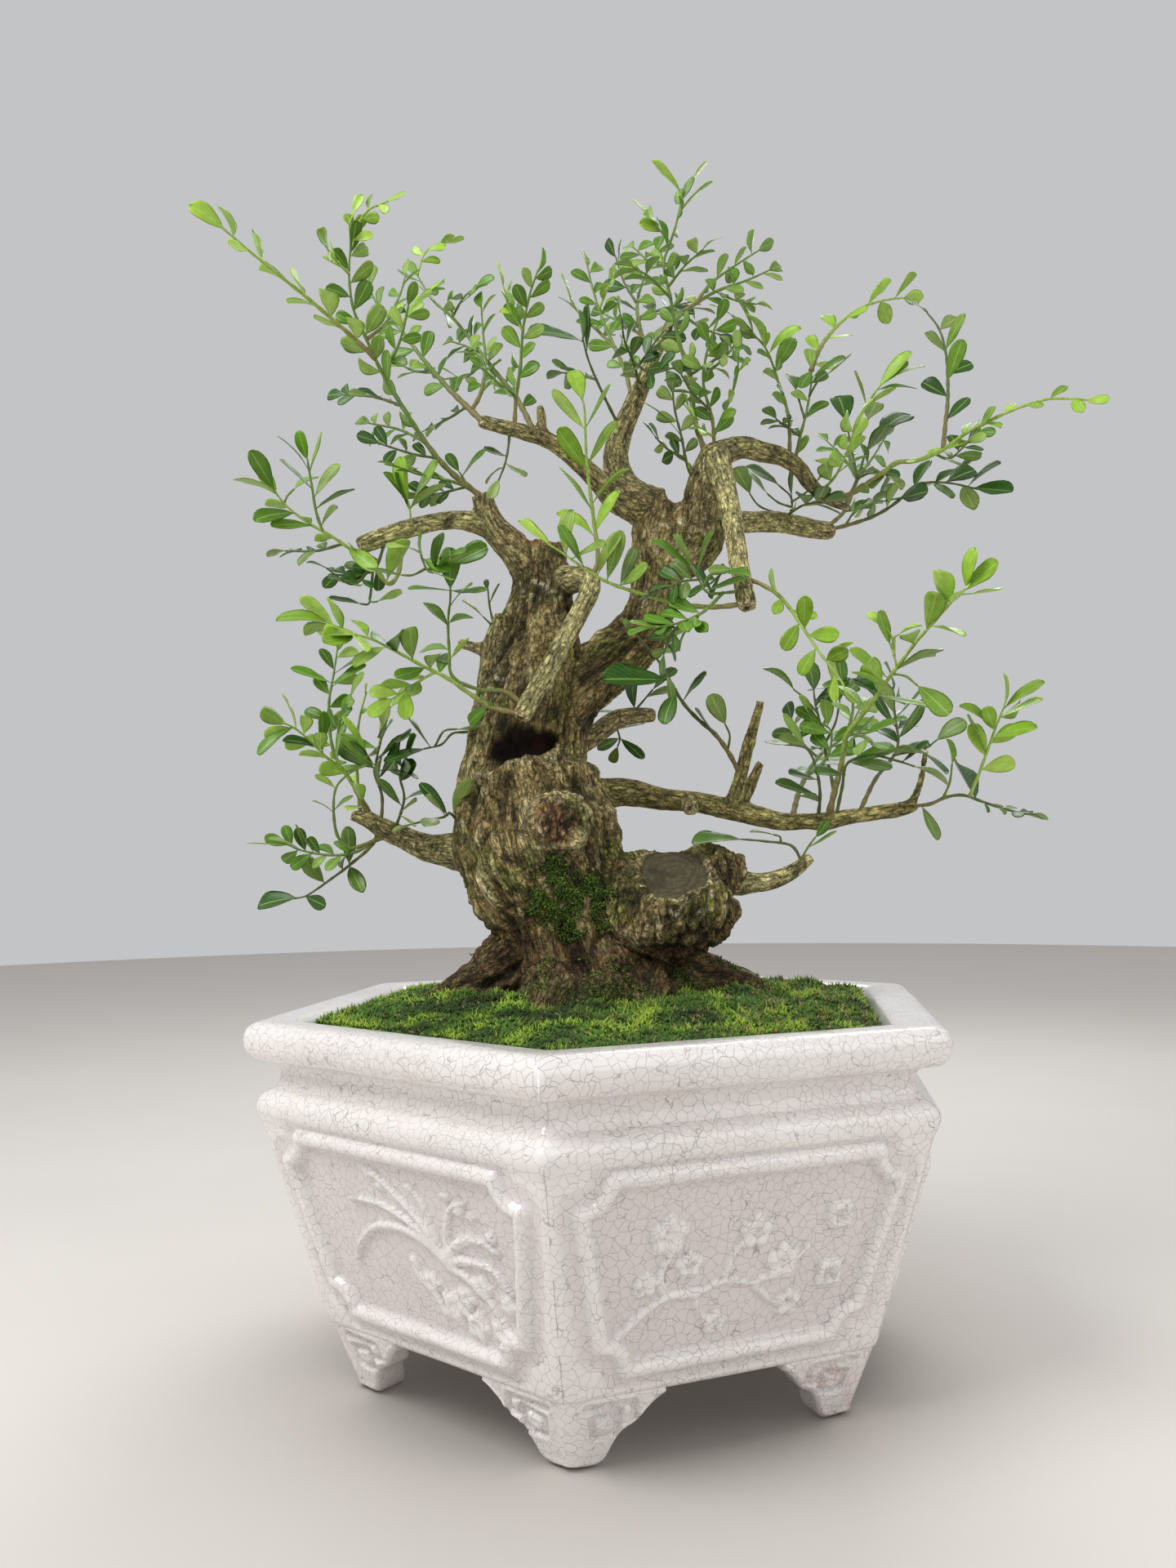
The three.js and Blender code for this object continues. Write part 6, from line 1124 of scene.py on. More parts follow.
def line_distance(places, line, width_from=0.0, width_to=0.0):
    """Distance from places to a drawn line, in the plane of a panel, and the line's width there."""
    best, width = np.full(len(places), 1e9), np.zeros(len(places))
    line = np.asarray(line, float)
    length = np.concatenate([[0], np.cumsum(np.linalg.norm(np.diff(line, axis=0), axis=1))])
    for i, (a, b) in enumerate(zip(line[:-1], line[1:])):
        run = b - a
        share = np.clip(((places - a) @ run) / max(run @ run, 1e-9), 0, 1)
        off = np.linalg.norm(places - a - share[:, None] * run, axis=1)
        gone = (length[i] + share * (length[i + 1] - length[i])) / length[-1]
        width = np.where(off < best, width_from + (width_to - width_from) * gone, width)
        best = np.minimum(best, off)
    return best, width


def rounded_ridge(distance, width, height):
    """A ridge with a half-round top: height * sqrt(1 - (distance / width) ** 2)."""
    return height * np.sqrt(np.clip(1 - (distance / np.maximum(width, 1e-6)) ** 2, 0, 1))


def notched_line(inset):
    """The outline of a panel whose corners are cut in by quarter circles."""
    low, high = PANEL_LOW + inset, PANEL_HIGH - inset
    wide_low, wide_high = ((126 + (height - 30) * 27 / 82) / 2 - PANEL_MARGIN - inset
                           for height in (low, high))
    corners = [(wide_low, low, 90), (wide_high, high, 180), (-wide_high, high, 270), (-wide_low, low, 0)]
    line = []
    for x, y, start in corners:
        angle = np.radians(start + 90 * np.linspace(1, 0, 9))
        line.append(np.column_stack([x + PANEL_NOTCH * np.cos(angle), y + PANEL_NOTCH * np.sin(angle)]))
    line = np.vstack(line)
    return np.vstack([line, line[:1]])


def inside(places, line):
    """True for places inside a closed line: a ray to one side crosses it an odd number of times."""
    crossings = np.zeros(len(places), bool)
    for (x0, y0), (x1, y1) in zip(line[:-1], line[1:]):
        spans = (y0 > places[:, 1]) != (y1 > places[:, 1])
        with np.errstate(divide="ignore", invalid="ignore"):
            cross = x0 + (places[:, 1] - y0) * (x1 - x0) / (y1 - y0)
        crossings ^= spans & (places[:, 0] < cross)
    return crossings


# Orchid leaves over rocks: (line, width at the root, width at the tip, height).
ORCHID_STROKES = [
    ([(18, 71), (8, 77), (-4, 79), (-17, 77), (-27, 70), (-33, 61)], 2.6, 0.9, 2.3),
    ([(18, 71), (8, 80), (-4, 85), (-16, 87), (-29, 86)], 2.4, 0.8, 2.2),
    ([(18, 71), (10, 83), (0, 91), (-9, 97), (-15, 99)], 2.2, 1.2, 2.2),
    ([(18, 71), (14, 82), (12, 91), (5, 97)], 2.0, 0.9, 2.0),
    ([(19, 71), (22, 83), (27, 92), (34, 95)], 1.8, 0.9, 1.9),
    ([(19, 71), (27, 79), (37, 82), (46, 79)], 2.4, 0.8, 2.2),
    ([(19, 70), (30, 73), (42, 72), (49, 65)], 2.4, 0.8, 2.2),
    ([(19, 69), (28, 66), (37, 60), (41, 52)], 2.4, 1.0, 2.0),
    ([(0, 67), (2, 61), (9, 55), (12, 48)], 2.0, 1.2, 1.6),
]
ORCHID_KNOTS = [(18, 53, 7.5), (28, 48, 6.5), (34, 64, 5.5), (40, 49, 6), (8, 60, 5), (25, 58, 5),
                (46, 60, 4.5), (-15, 98, 3.2),
                (-10, 94, 2.6), (30, 92, 3.4), (25, 96, 2.6), (36, 90, 2.6), (44, 84, 2.6)]
# A plum twig in blossom: lines, blossoms as (across, height, radius) and two plain square studs.
PLUM_STROKES = [
    ([(-45, 50), (-37, 57), (-28, 62), (-17, 62), (-6, 65), (6, 63), (17, 66), (27, 74)], 1.9, 1.1, 2.0),
    ([(-28, 62), (-31, 71), (-27, 80), (-29, 90)], 1.5, 0.8, 1.7),
    ([(-6, 65), (-3, 75), (4, 83)], 1.3, 0.8, 1.6),
    ([(6, 63), (12, 56), (21, 52)], 1.3, 0.8, 1.6),
    ([(-17, 62), (-14, 54), (-7, 49)], 1.3, 0.8, 1.5),
]
PLUM_BLOSSOMS = [(-29, 85, 8), (-36, 68, 5), (-20, 73, 5.5), (5, 82, 7), (17, 69, 7.5), (21, 53, 5.5),
                 (-8, 50, 5)]
PLUM_STUDS = [(39, 84, 5.2), (37, 62, 5.2)]


def strokes_relief(places, strokes):
    """Half-round ridges along drawn lines that grow thinner towards their ends."""
    relief = np.zeros(len(places))
    for line, width_from, width_to, height in strokes:
        path = smooth_path(np.column_stack([line, np.zeros(len(line))]), 2.0)[:, :2]
        distance, width = line_distance(places, path, width_from, width_to)
        relief = np.maximum(relief, rounded_ridge(distance, width, height))
    return relief


def dome(places, x, y, radius, height):
    """A half-round knob about a point of the panel."""
    return rounded_ridge(np.hypot(*(places - (x, y)).T), np.full(len(places), radius), height)


def orchid_relief(places):
    """Orchid leaves over knots of rock with five lobes and a dimple each."""
    relief = strokes_relief(places, ORCHID_STROKES)
    for x, y, radius in ORCHID_KNOTS:
        across, up = (places - (x, y)).T
        lobes = radius * (0.86 + 0.14 * np.cos(5 * np.arctan2(up, across)))
        knot = rounded_ridge(np.hypot(across, up), lobes, 2.0) - 0.9 * dome(places, x, y, radius * 0.35, 1.0)
        relief = np.maximum(relief, knot)
    return relief


def plum_relief(places):
    """A plum twig, blossoms of five petals round a middle, and two square studs."""
    relief = strokes_relief(places, PLUM_STROKES)
    for x, y, radius in PLUM_BLOSSOMS:
        for petal in range(5):
            angle = math.radians(90 + 72 * petal)
            centre = (x + 0.58 * radius * math.cos(angle), y + 0.58 * radius * math.sin(angle))
            relief = np.maximum(relief, dome(places, *centre, 0.42 * radius, 2.4))
        relief = np.maximum(relief, dome(places, x, y, 0.2 * radius, 2.9))
    for x, y, half in PLUM_STUDS:
        off = np.abs(places - (x, y)).max(1)
        stud = 2.3 * (1 - smoothstep(half - 1.2, half, off)) * smoothstep(half - 3.6, half - 2.4, off)
        relief = np.maximum(relief, stud)
    return relief


def panel_relief(places, side):
    """Height of a side panel's mouldings, its sunk field and its ornament over the flat wall."""
    outline = notched_line(3.0)
    distance, _ = line_distance(places, outline)
    border = np.interp(places[:, 1], (PANEL_LOW, PANEL_HIGH), (48.4, 60.8))
    upright = smoothstep(0, 4, np.abs(places[:, 0]) - border + 4)
    moulding = rounded_ridge(distance, 3.1 - 0.6 * upright, 2.9)
    within = inside(places, outline)
    field = np.where(within, -1.1 * smoothstep(1.8, 4.6, distance), 0)
    outer = -0.8 * smoothstep(2.2, 4.0, distance) * smoothstep(10.5, 6.5, distance)
    field = field + np.where(within, 0, outer)
    ornament = orchid_relief(places) if side % 2 else plum_relief(places)
    return moulding, field, np.where(within, ornament, 0)


# Closed sections of the pot, from the drain hole outwards and round: (radius, height, spacing).
BODY_SECTION = [
    (13.86, 26, 12), (60, 26, 12), (112, 26, 6), (119, 26.2, 2.4), (123.5, 27.4, 1.4), (126, 30, 1.1),
    (130, 42, 1.1), (134.5, 56, 1.1), (139, 70, 1.1), (143.5, 84, 1.1), (148, 98, 1.1), (151.4, 108.5, 1.3),
    (153.4, 112.5, 1.4), (154.5, 115.6, 1.5), (154.1, 118.6, 1.5), (152, 121, 1.5), (148.9, 122.6, 2),
    (145.2, 123.6, 3), (142.6, 122, 5), (141.3, 112, 14), (115, 41, 14), (109, 37, 12), (60, 37, 14),
    (13.86, 37, 14),
]
RIM_SECTION = [
    (141.5, 121.5, 6), (147.5, 122.4, 1.6), (146.1, 124.6, 1.3), (145.0, 127.4, 1.3), (144.9, 130.2, 1.3),
    (146.2, 132.6, 1.3), (149.2, 134.0, 1.3), (153, 134.8, 1.3), (156.8, 136.2, 1.2), (159.2, 139.2, 1.2),
    (160, 142.8, 1.2), (159.3, 146.2, 1.2), (157.0, 148.7, 1.2), (153.4, 149.9, 1.2), (146.5, 150, 1.6),
    (140.6, 149.6, 1.4), (137.2, 148.2, 1.2), (135.4, 145.4, 1.4), (134.2, 140, 3), (137, 128, 6),
    (141.5, 121.5, 6),
]


def body_relief(points, details):
    """How far each point of the body stands out of the plain wall, and how deep the glaze pools there."""
    relief, shade = np.zeros(len(points)), np.zeros(len(points))
    wall = np.hypot(*points[:, :2].T) > WALL_RADIUS
    rows = (details[:, 2] > BODY_LOW) & (details[:, 2] < BODY_HIGH) & wall
    for side in range(SIDES):
        chosen = np.flatnonzero(rows & (details[:, 0] == side) & (details[:, 3] > 0))
        moulding, field, ornament = panel_relief(details[chosen][:, 1:3], side)
        lumps = layered_noise(points[chosen] * 0.16, 2, side) * 0.35
        relief[chosen] = moulding * (1 + 0.35 * lumps) + field + ornament * (1 + 0.3 * lumps)
        shade[chosen] = np.clip(-0.8 * field - 0.9 * ornament, 0, 1)
    return relief + np.where(wall, layered_noise(points * 0.05, 2, 5) * 0.35, 0), shade


def make_pot(sizes):
    """Body, rim and feet of the pot. The body's wall carries the panels' relief, worked out on its grid of
    distance along the side and height."""
    glaze = kept_material("crackle_glaze", glaze_material, sizes)
    white, pool = np.array(sizes.glaze), np.array(sizes.pool)
    section = BODY_SECTION
    points, faces, details = swept_ring(section_rows(section), 134)
    relief, shade = body_relief(points, details)
    outward = np.array([side_directions(side)[0] for side in range(SIDES)])[details[:, 0].astype(int)]
    points = points + outward * relief[:, None]
    # Painted shade: below 30 mm, under the body, the glaze takes 0.4 of the way to the pooled colour.
    shade = np.maximum(shade, np.clip((details[:, 2] < 30) * 0.4, 0, 1))
    tint = white + (pool - white) * shade[:, None]
    take_place(put_mesh("pot_body", points, [faces], [glaze], {"glaze": tint}), "glaze", "pot")

    points, faces, details = swept_ring(section_rows(RIM_SECTION)[:-1], 80)
    away = points / np.maximum(np.linalg.norm(points[:, :2], axis=1), 1)[:, None]
    points = points + away * [1, 1, 0] * (layered_noise(points * 0.045, 2, 9) * 0.45)[:, None]
    worn = np.clip(layered_noise(points * 0.03, 2, 12), 0, 1)
    tint = white + (pool - white) * 0.35 * worn[:, None]
    take_place(put_mesh("pot_rim", points, [faces], [glaze], {"glaze": tint}), "glaze", "pot")
    make_feet(glaze, white, pool)


# The spiral cut into each wing of a foot: (distance from the corner, height).
FOOT_GROOVE = [(8, 24.5), (26, 24.5), (26, 18.6), (19, 18.6), (19, 13), (9.5, 13), (9.5, 20), (20.5, 21.4)]
FOOT_ROWS = 30
BARE_CLAY = "#d9a890"

# How much of the bare clay shows on each foot. Foot 0 is the front one.
FOOT_WEAR = (0.05, 0.5, 0.25, 0.05, 0.2, 0.12)


def foot_profile(far, floor, thickness):
    """Heights and depths of one closed profile of a foot: down the front, which carries the spiral groove
    and raised borders, round the lower edge and up the back. Far is its distance from the corner."""
    edge, low = FOOT_EDGE, floor + FOOT_EDGE
    turn = np.linspace(0, np.pi / 2, 5)[1:]
    heights = np.concatenate([low + (FOOT_TOP - floor - edge) * np.linspace(1, 0, FOOT_ROWS),
                              low - edge * np.sin(turn), np.full(4, floor), low - edge * np.sin(turn[::-1]),
                              low + (FOOT_TOP - floor - edge) * np.linspace(0, 1, 7)])
    front = heights[:FOOT_ROWS]
    distance = np.full(FOOT_ROWS, far)
    groove, _ = line_distance(np.column_stack([distance, front]), FOOT_GROOVE)
    relief = -2.0 * (1 - smoothstep(0.8, 1.5, groove))
    relief += 0.5 * smoothstep(1.2, 2.0, groove) * smoothstep(3.4, 2.4, groove)
    relief += 0.9 * (1 - smoothstep(1.5, 4.5, distance)) + 0.8 * (1 - smoothstep(1.6, 3.2, front - floor))
    depths = np.concatenate([-relief * smoothstep(0, 3, FOOT_TOP - front), edge - edge * np.cos(turn),
                             np.linspace(edge, thickness - edge, 6)[1:-1],
                             thickness - edge + edge * np.cos(turn[::-1]), np.full(7, thickness)])
    return heights, depths


def foot_place(corner, s, height, depth):
    """Points of a foot in space, from the distance s along the wall, which is below 0 on its left wing. The
    corner is rounded by (s + sqrt(s * s + 25)) / 2 along the right wing and alike along the left one."""
    middle = math.radians(-90 + 60 * corner)
    bend = np.sqrt(s * s + 25.0)
    right, left = (s + bend) / 2, (bend - s) / 2
    radius = 113 + (125 - 113) * np.clip(height / 28, 0, 1)
    share = (1 + s / bend) / 2
    out_right, along_right = side_directions(corner)
    out_left, along_left = side_directions((corner + 5) % 6)
    spot = np.outer(radius, [math.cos(middle), math.sin(middle), 0])
    spot += np.outer(right, along_right) - np.outer(left, along_left)
    inwards = -(share[:, None] * out_right + (1 - share)[:, None] * out_left)
    inwards /= (inwards ** 2).sum(1)[:, None] ** 0.5
    spot += inwards * (depth * (1 + 0.15 * (1 - np.abs(2 * share - 1))))[:, None]
    spot[:, 2] = height
    return spot


def make_feet(glaze, white, pool):
    """Six bracket feet. Each is a closed profile carried along the wall from one wing's tip over the
    corner to the other's."""
    stations = np.linspace(-FOOT_HALF, FOOT_HALF, 97)
    low = np.interp(np.abs(stations), *np.array(FOOT_OUTLINE).T)
    low = np.convolve(np.pad(low, 2, mode="edge"), np.ones(5) / 5, mode="valid")
    thick = np.interp(np.abs(stations), (0, 24, FOOT_HALF), (15, 14, 9))
    profiles = [foot_profile(abs(s), *words) for s, *words in zip(stations, low, thick)]
    height, depth = np.hstack(profiles)
    count = len(profiles[0][0])
    along = np.repeat(stations, count)
    caps = np.arange(count)
    end = (len(stations) - 1) * count
    first = np.stack([np.zeros(count - 2, int), caps[1:-1], caps[2:]], 1)
    last = np.stack([np.full(count - 2, end), end + caps[2:], end + caps[1:-1]], 1)
    # Glaze pools in the spiral groove; the rounded lower edge and the lowest 12 mm are darkened towards the
    # floor by painted shade.
    shade = 0.5 * smoothstep(0.3, 1.0, depth * (depth < 2)) + 0.35 * smoothstep(12, 0, height)
    glazed = white + (pool - white) * np.clip(shade, 0, 1)[:, None]
    all_points, all_faces, tints = [], [], []
    for corner in range(SIDES):
        spot = foot_place(corner, along, height, depth)
        start = corner * len(spot)
        all_faces += [grid_faces(len(stations), count, start)[:, ::-1], first + start, last + start]
        all_points.append(spot)
        bare = np.clip(layered_noise(spot * 0.11, 3, corner) * 0.9 + 0.25, 0, 1) * FOOT_WEAR[corner]
        tints.append(glazed + (linear(BARE_CLAY) - glazed) * bare[:, None])
    feet = put_mesh("pot_feet", np.vstack(all_points), all_faces, [glaze], {"glaze": np.vstack(tints)})
    take_place(feet, "glaze", "pot")


# The trunk and its limbs
LIMB_STEP = 2.0
THINNEST_LIMB = 0.8
THICK_LIMB = 12
THICK_LIMB_SIDES, THIN_LIMB_SIDES = 28, 18
LIMB_APART = 97.0

# Limbs that are swellings of the trunk, whose bark runs upright like the trunk's.
BURLS = ("front_burl", "knob", "knob_crown")
BURL_GIRTH = 16

# Relief of the bark: width of a feature and its height, in millimetres.
LUMP_WIDTH, LUMP_HEIGHT = 21, 2.8
KNOT_WIDTH, KNOT_HEIGHT = 8.5, 1.5
PLATE_WIDTH, PLATE_HEIGHT = 6.5, 1.3
RIDGE_HEIGHT, FIBRE_HEIGHT, BARK_SINK = 1.9, 1.0, 1.0
ROOT_RIDGE_HEIGHT, ROOT_FIBRE_HEIGHT = 2.0, 1.4
ROOTS_FULL, ROOTS_END = 170, 200
CRUMB_WIDTH, CRUMB_HEIGHT = 1.7, 0.35

# The round scar and the swollen collar round it.
SCAR_INNER, SCAR_OUTER, SCAR_SINK, SCAR_RAY_HEIGHT = 8.5, 13, 2.4, 1.2
COLLAR_RADIUS, COLLAR_WIDTH, COLLAR_HEIGHT = 14, 6, 1.8

# The oval face of the sawn stump, and how far above it the wood is taken off.
CUT_HALF_WIDTH, CUT_HALF_DEPTH, CUT_REACH, CUT_RIM = 14.5, 17, 22, 1.16

# The hollow, a bowl over a torn ledge.
HOLLOW_HALF_WIDTH, HOLLOW_HALF_HEIGHT, HOLLOW_DEPTH = 17.5, 9.5, 14.0
LEDGE_DROP, LEDGE_RISE, LEDGE_HEIGHT = 11.5, 0.26, 6.0

BARK_TONES = {
    "twig": "#b3a675", "young twig": "#c4bd7c", "lichen": "#707a2c", "rust": "#85613a", "root": "#5f4127",
    "green foot": "#3d5a1c", "olive": "#a99e5c", "olive ridge": "#d2c982", "pale limb": "#cdc486",
    # The crevice tone is painted shade in sunk bark, and the scar pit tone is painted shade in the scar's
    # sunk grooves.
    "crevice_shade": "#1f160d", "scar": "#63482a", "scar pit": "#2c1a0e", "scar ray": "#b98d5c",
    "collar": "#e2cf96",
    "thin end": "#dcc79a", "thick end": "#b98f60", "pith": "#3a2c1e", "cut rim": "#dccb98", "cut": "#4a4534",
    # The hollow tone is painted shade deep in the rotten hollow.
    "cut ring": "#77704a", "cut crack": "#2e2418", "hollow": "#140806", "rotten wood": "#46190f",
    "ledge": "#e0cf9c", "lobe": "#e0cd96", "flake": "#e9e0c0",
}


def limb_curves(step):
    """For each limb: stations in space and the radius at each."""
    curves = {}
    for name, rows in LIMBS.items():
        path = smooth_path(rows, step)
        radii = np.clip(path[:, 3], THINNEST_LIMB, None) * nearness(path[:, 2])
        curves[name] = (sight(path[:, :3]), radii)
    return curves


def remeshed(points, faces, size):
    """Points and four-cornered faces of the one skin round overlapping solids, from a voxel remesh."""
    mesh = bpy.data.meshes.new("joined")
    mesh.from_pydata(points.tolist(), [], faces)
    helper = bpy.data.objects.new("joined", mesh)
    bpy.context.scene.collection.objects.link(helper)
    voxels = helper.modifiers.new("skin", "REMESH")
    voxels.mode, voxels.voxel_size, voxels.adaptivity = "VOXEL", size, 0.0
    result = bpy.data.meshes.new_from_object(helper.evaluated_get(bpy.context.evaluated_depsgraph_get()))
    places = np.empty(len(result.vertices) * 3)
    result.vertices.foreach_get("co", places)
    quads = np.empty(len(result.loops), np.int64)
    result.loops.foreach_get("vertex_index", quads)
    bpy.data.objects.remove(helper)
    bpy.data.meshes.remove(mesh)
    bpy.data.meshes.remove(result)
    return places.reshape(-1, 3), quads.reshape(-1, 4)


def relaxed(points, quads, times, strength=0.5):
    """Each point moves part of the way to the mean of its neighbours along the faces' edges."""
    starts = quads.ravel()
    ends = np.roll(quads, -1, axis=1).ravel()
    count = np.bincount(starts, minlength=len(points)) + np.bincount(ends, minlength=len(points))
    for _ in range(times):
        mean = np.stack([np.bincount(starts, points[ends, axis], len(points))
                         + np.bincount(ends, points[starts, axis], len(points)) for axis in range(3)], 1)
        points = points + strength * (mean / count[:, None] - points)
    return points


def point_normals(points, quads):
    """Normals at the points: the sum of the cross products of the diagonals of the faces round each."""
    diagonals = np.cross(points[quads[:, 2]] - points[quads[:, 0]],
                         points[quads[:, 3]] - points[quads[:, 1]])
    total = np.stack([np.bincount(quads.ravel(), np.repeat(diagonals[:, axis], 4), len(points))
                      for axis in range(3)], 1)
    return total / np.maximum(np.linalg.norm(total, axis=1), 1e-9)[:, None]


def trunk_skin(curves, grain):
    """The one skin round a tube along every limb's curve, softened a little."""
    points, faces, start = [], [], 0
    for path, radii in curves.values():
        around = THICK_LIMB_SIDES if radii.max() > THICK_LIMB else THIN_LIMB_SIDES
        spots, quads, ends = tube(path, radii, around)
        points.append(spots)
        faces += (quads + start).tolist() + (ends + start).tolist()
        start += len(spots)
    points, quads = remeshed(np.vstack(points), faces, grain * (1.0))
    return relaxed(points, quads, 3), quads


def limb_fields(points, curves):
    """Ridges and fibres in each limb's own lengthwise and sideways directions, blended where limbs meet, and
    the thickness, number and own coordinates of the nearest limb."""
    total = np.zeros((len(points), 2))
    local = np.zeros((len(points), 3))
    weights = np.full(len(points), 1e-6)
    nearest = np.full(len(points), 1e9)
    girth, owner = np.zeros(len(points)), np.zeros(len(points), int)
    for number, (name, (path, radii)) in enumerate(curves.items()):
        low, high = path.min(0) - radii.max() - 10, path.max(0) + radii.max() + 10
        chosen = np.flatnonzero(((points > low) & (points < high)).all(1))
        if not len(chosen):
            continue
        run, side, other = carried_frame(path)
        length = np.concatenate([[0], np.cumsum(np.linalg.norm(np.diff(path, axis=0), axis=1))])
        spots = points[chosen]
        squared = (spots ** 2).sum(1)[:, None] - 2 * spots @ path.T + (path ** 2).sum(1)[None]
        station = squared.argmin(1)
        off = spots - path[station]
        along = length[station] + (off * run[station]).sum(1)
        across, upward = (off * side[station]).sum(1), (off * other[station]).sum(1)
        stout = radii[station]
        gap = np.hypot(across, upward) - radii[station]
        gap += np.clip(np.maximum(-along, along - length[-1]), 0, None)
        weight = np.exp(-np.clip(gap, 0, 40) / 3.0) * radii[station] ** 0.5
        if name in BURLS:
            across, upward, along = spots.T
            stout = np.maximum(stout, BURL_GIRTH)
        near = gap < nearest[chosen]
        nearest[chosen[near]] = gap[near]
        girth[chosen[near]] = stout[near]
        owner[chosen[near]] = number
        local[chosen[near]] = np.column_stack([across, upward, along + LIMB_APART * number])[near]
        seed = 40 + 5 * number
        ridges = noise(np.column_stack([across / 5.2, upward / 5.2, along / 24]), seed)
        fibres = noise(np.column_stack([across / 2.2, upward / 2.2, along / 10]), seed + 1)
        total[chosen] += weight[:, None] * np.column_stack([ridges, fibres])
        weights[chosen] += weight
    return total / weights[:, None], girth, owner, local


def plate_edges(points, size, seed):
    """How near a point is to the border between two random cells: 0 on the border, 1 well inside one."""
    cell = np.floor(points / size).astype(int)
    first = np.full(len(points), 1e9)
    second = np.full(len(points), 1e9)
    for step in np.ndindex(3, 3, 3):
        corner = cell + np.array(step) - 1
        mixed = corner @ np.array([127.1, 311.7, 74.7]) + seed
        spot = corner + np.stack([chance(mixed), chance(mixed + 1.7), chance(mixed + 3.1)], 1)
        distance = np.linalg.norm(points / size - spot, axis=1)
        second = np.minimum(second, np.maximum(first, distance))
        first = np.minimum(first, distance)
    return second - first


def bark_fields(points, curves):
    """What the bark is like at each point: its nearest limb and its place on it, ridges, fibres and broken
    plates, the swollen foot, the scar with its collar, and how far all of them together move the point
    out."""
    skin = SimpleNamespace()
    fields, girth, skin.owner, skin.local = limb_fields(points, curves)
    skin.ridges, skin.fibres = fields.T
    skin.thick = smoothstep(4, 16, girth)
    skin.lump = layered_noise(points / LUMP_WIDTH, 2, 3)
    knots = layered_noise(points / KNOT_WIDTH, 3, 13)
    bent = skin.local + 3.0 * np.stack([noise(points / 6, seed) for seed in (7, 8, 9)], 1)
    skin.plates = plate_edges(bent * [1, 1, 0.42], PLATE_WIDTH, 4)
    skin.broken = smoothstep(-0.35, 0.3, noise(points / 15, 19))
    ridged = 1 - 2.0 * np.abs(skin.ridges)
    move = skin.thick * (LUMP_HEIGHT * skin.lump + RIDGE_HEIGHT * ridged + KNOT_HEIGHT * knots
                         + FIBRE_HEIGHT * skin.fibres - BARK_SINK)
    move += skin.thick * skin.broken * PLATE_HEIGHT * (smoothstep(0.02, 0.3, skin.plates) - 0.7)
    move += (1 - skin.thick) * (0.30 * skin.ridges + 0.22 * skin.fibres + 0.22 * knots)
    skin.height = points[:, 2]
    skin.base = smoothstep(ROOTS_END, ROOTS_FULL, skin.height)
    move += skin.base * skin.thick * (ROOT_RIDGE_HEIGHT * skin.ridges + ROOT_FIBRE_HEIGHT * skin.fibres)

    scar = sight([SCAR])[0]
    off = np.linalg.norm(points - scar, axis=1) + 2.2 * noise(points / 4.5, 24)
    skin.scarred = smoothstep(SCAR_OUTER, SCAR_INNER, off) * skin.thick
    turn = np.arctan2((points - scar) @ RIGHT, (points - scar) @ UP)
    skin.rays = noise(np.column_stack([np.cos(turn) * 3.4, np.sin(turn) * 3.4, off / 6]), 6)
    skin.collar = smoothstep(COLLAR_WIDTH, 0, np.abs(off - COLLAR_RADIUS)) * skin.thick
    move = move * (1 - 0.7 * skin.scarred) + skin.scarred * (SCAR_RAY_HEIGHT * skin.rays - SCAR_SINK)
    move += skin.collar * COLLAR_HEIGHT
    skin.move = move + CRUMB_HEIGHT * noise(points / CRUMB_WIDTH, 11) * (0.35 + 0.65 * skin.thick)
    return skin


def saw_stump(points, normals, skin):
    """Moves the points out by their relief and takes off the wood over the sawn stump's flat oval face,
    which looks up and a little to the front. Its rim stays ragged."""
    turn = EYE_TURN + STUMP_CUT_TURN
    face = np.array([math.sin(turn) * math.sin(STUMP_CUT_LEAN), -math.cos(turn) * math.sin(STUMP_CUT_LEAN),
                     math.cos(STUMP_CUT_LEAN)])
    cut = sight([STUMP_CUT])[0]
    beyond = (points - cut) @ face
    flat = points - cut - np.outer(beyond, face)
    aside = flat @ RIGHT
    deep = (flat - np.outer(aside, RIGHT)) @ unit(UP + AWAY)
    skin.oval = np.hypot(aside / CUT_HALF_WIDTH, deep / CUT_HALF_DEPTH) + 0.09 * noise(points / 6, 14)
    low = beyond < CUT_REACH
    skin.on_cut = (beyond > -1.5) & (skin.oval < 1) & low
    skin.rim = smoothstep(-4.5, 0.5, beyond) * (skin.oval < CUT_RIM) * low
    skin.move = np.where(skin.on_cut, 0.2 * noise(points / 2.5, 15), skin.move)
    points = points + normals * skin.move[:, None]
    ragged = np.where(skin.oval < 1, 0, 1.5 + 2.2 * noise(points / 3.5, 16))
    over = np.clip((points - cut) @ face - ragged, 0, None)
    over = np.where((beyond > -4) & (skin.oval < 1.5) & low, over, 0)
    return points - np.outer(over * smoothstep(1.5, 1.3, skin.oval), face)


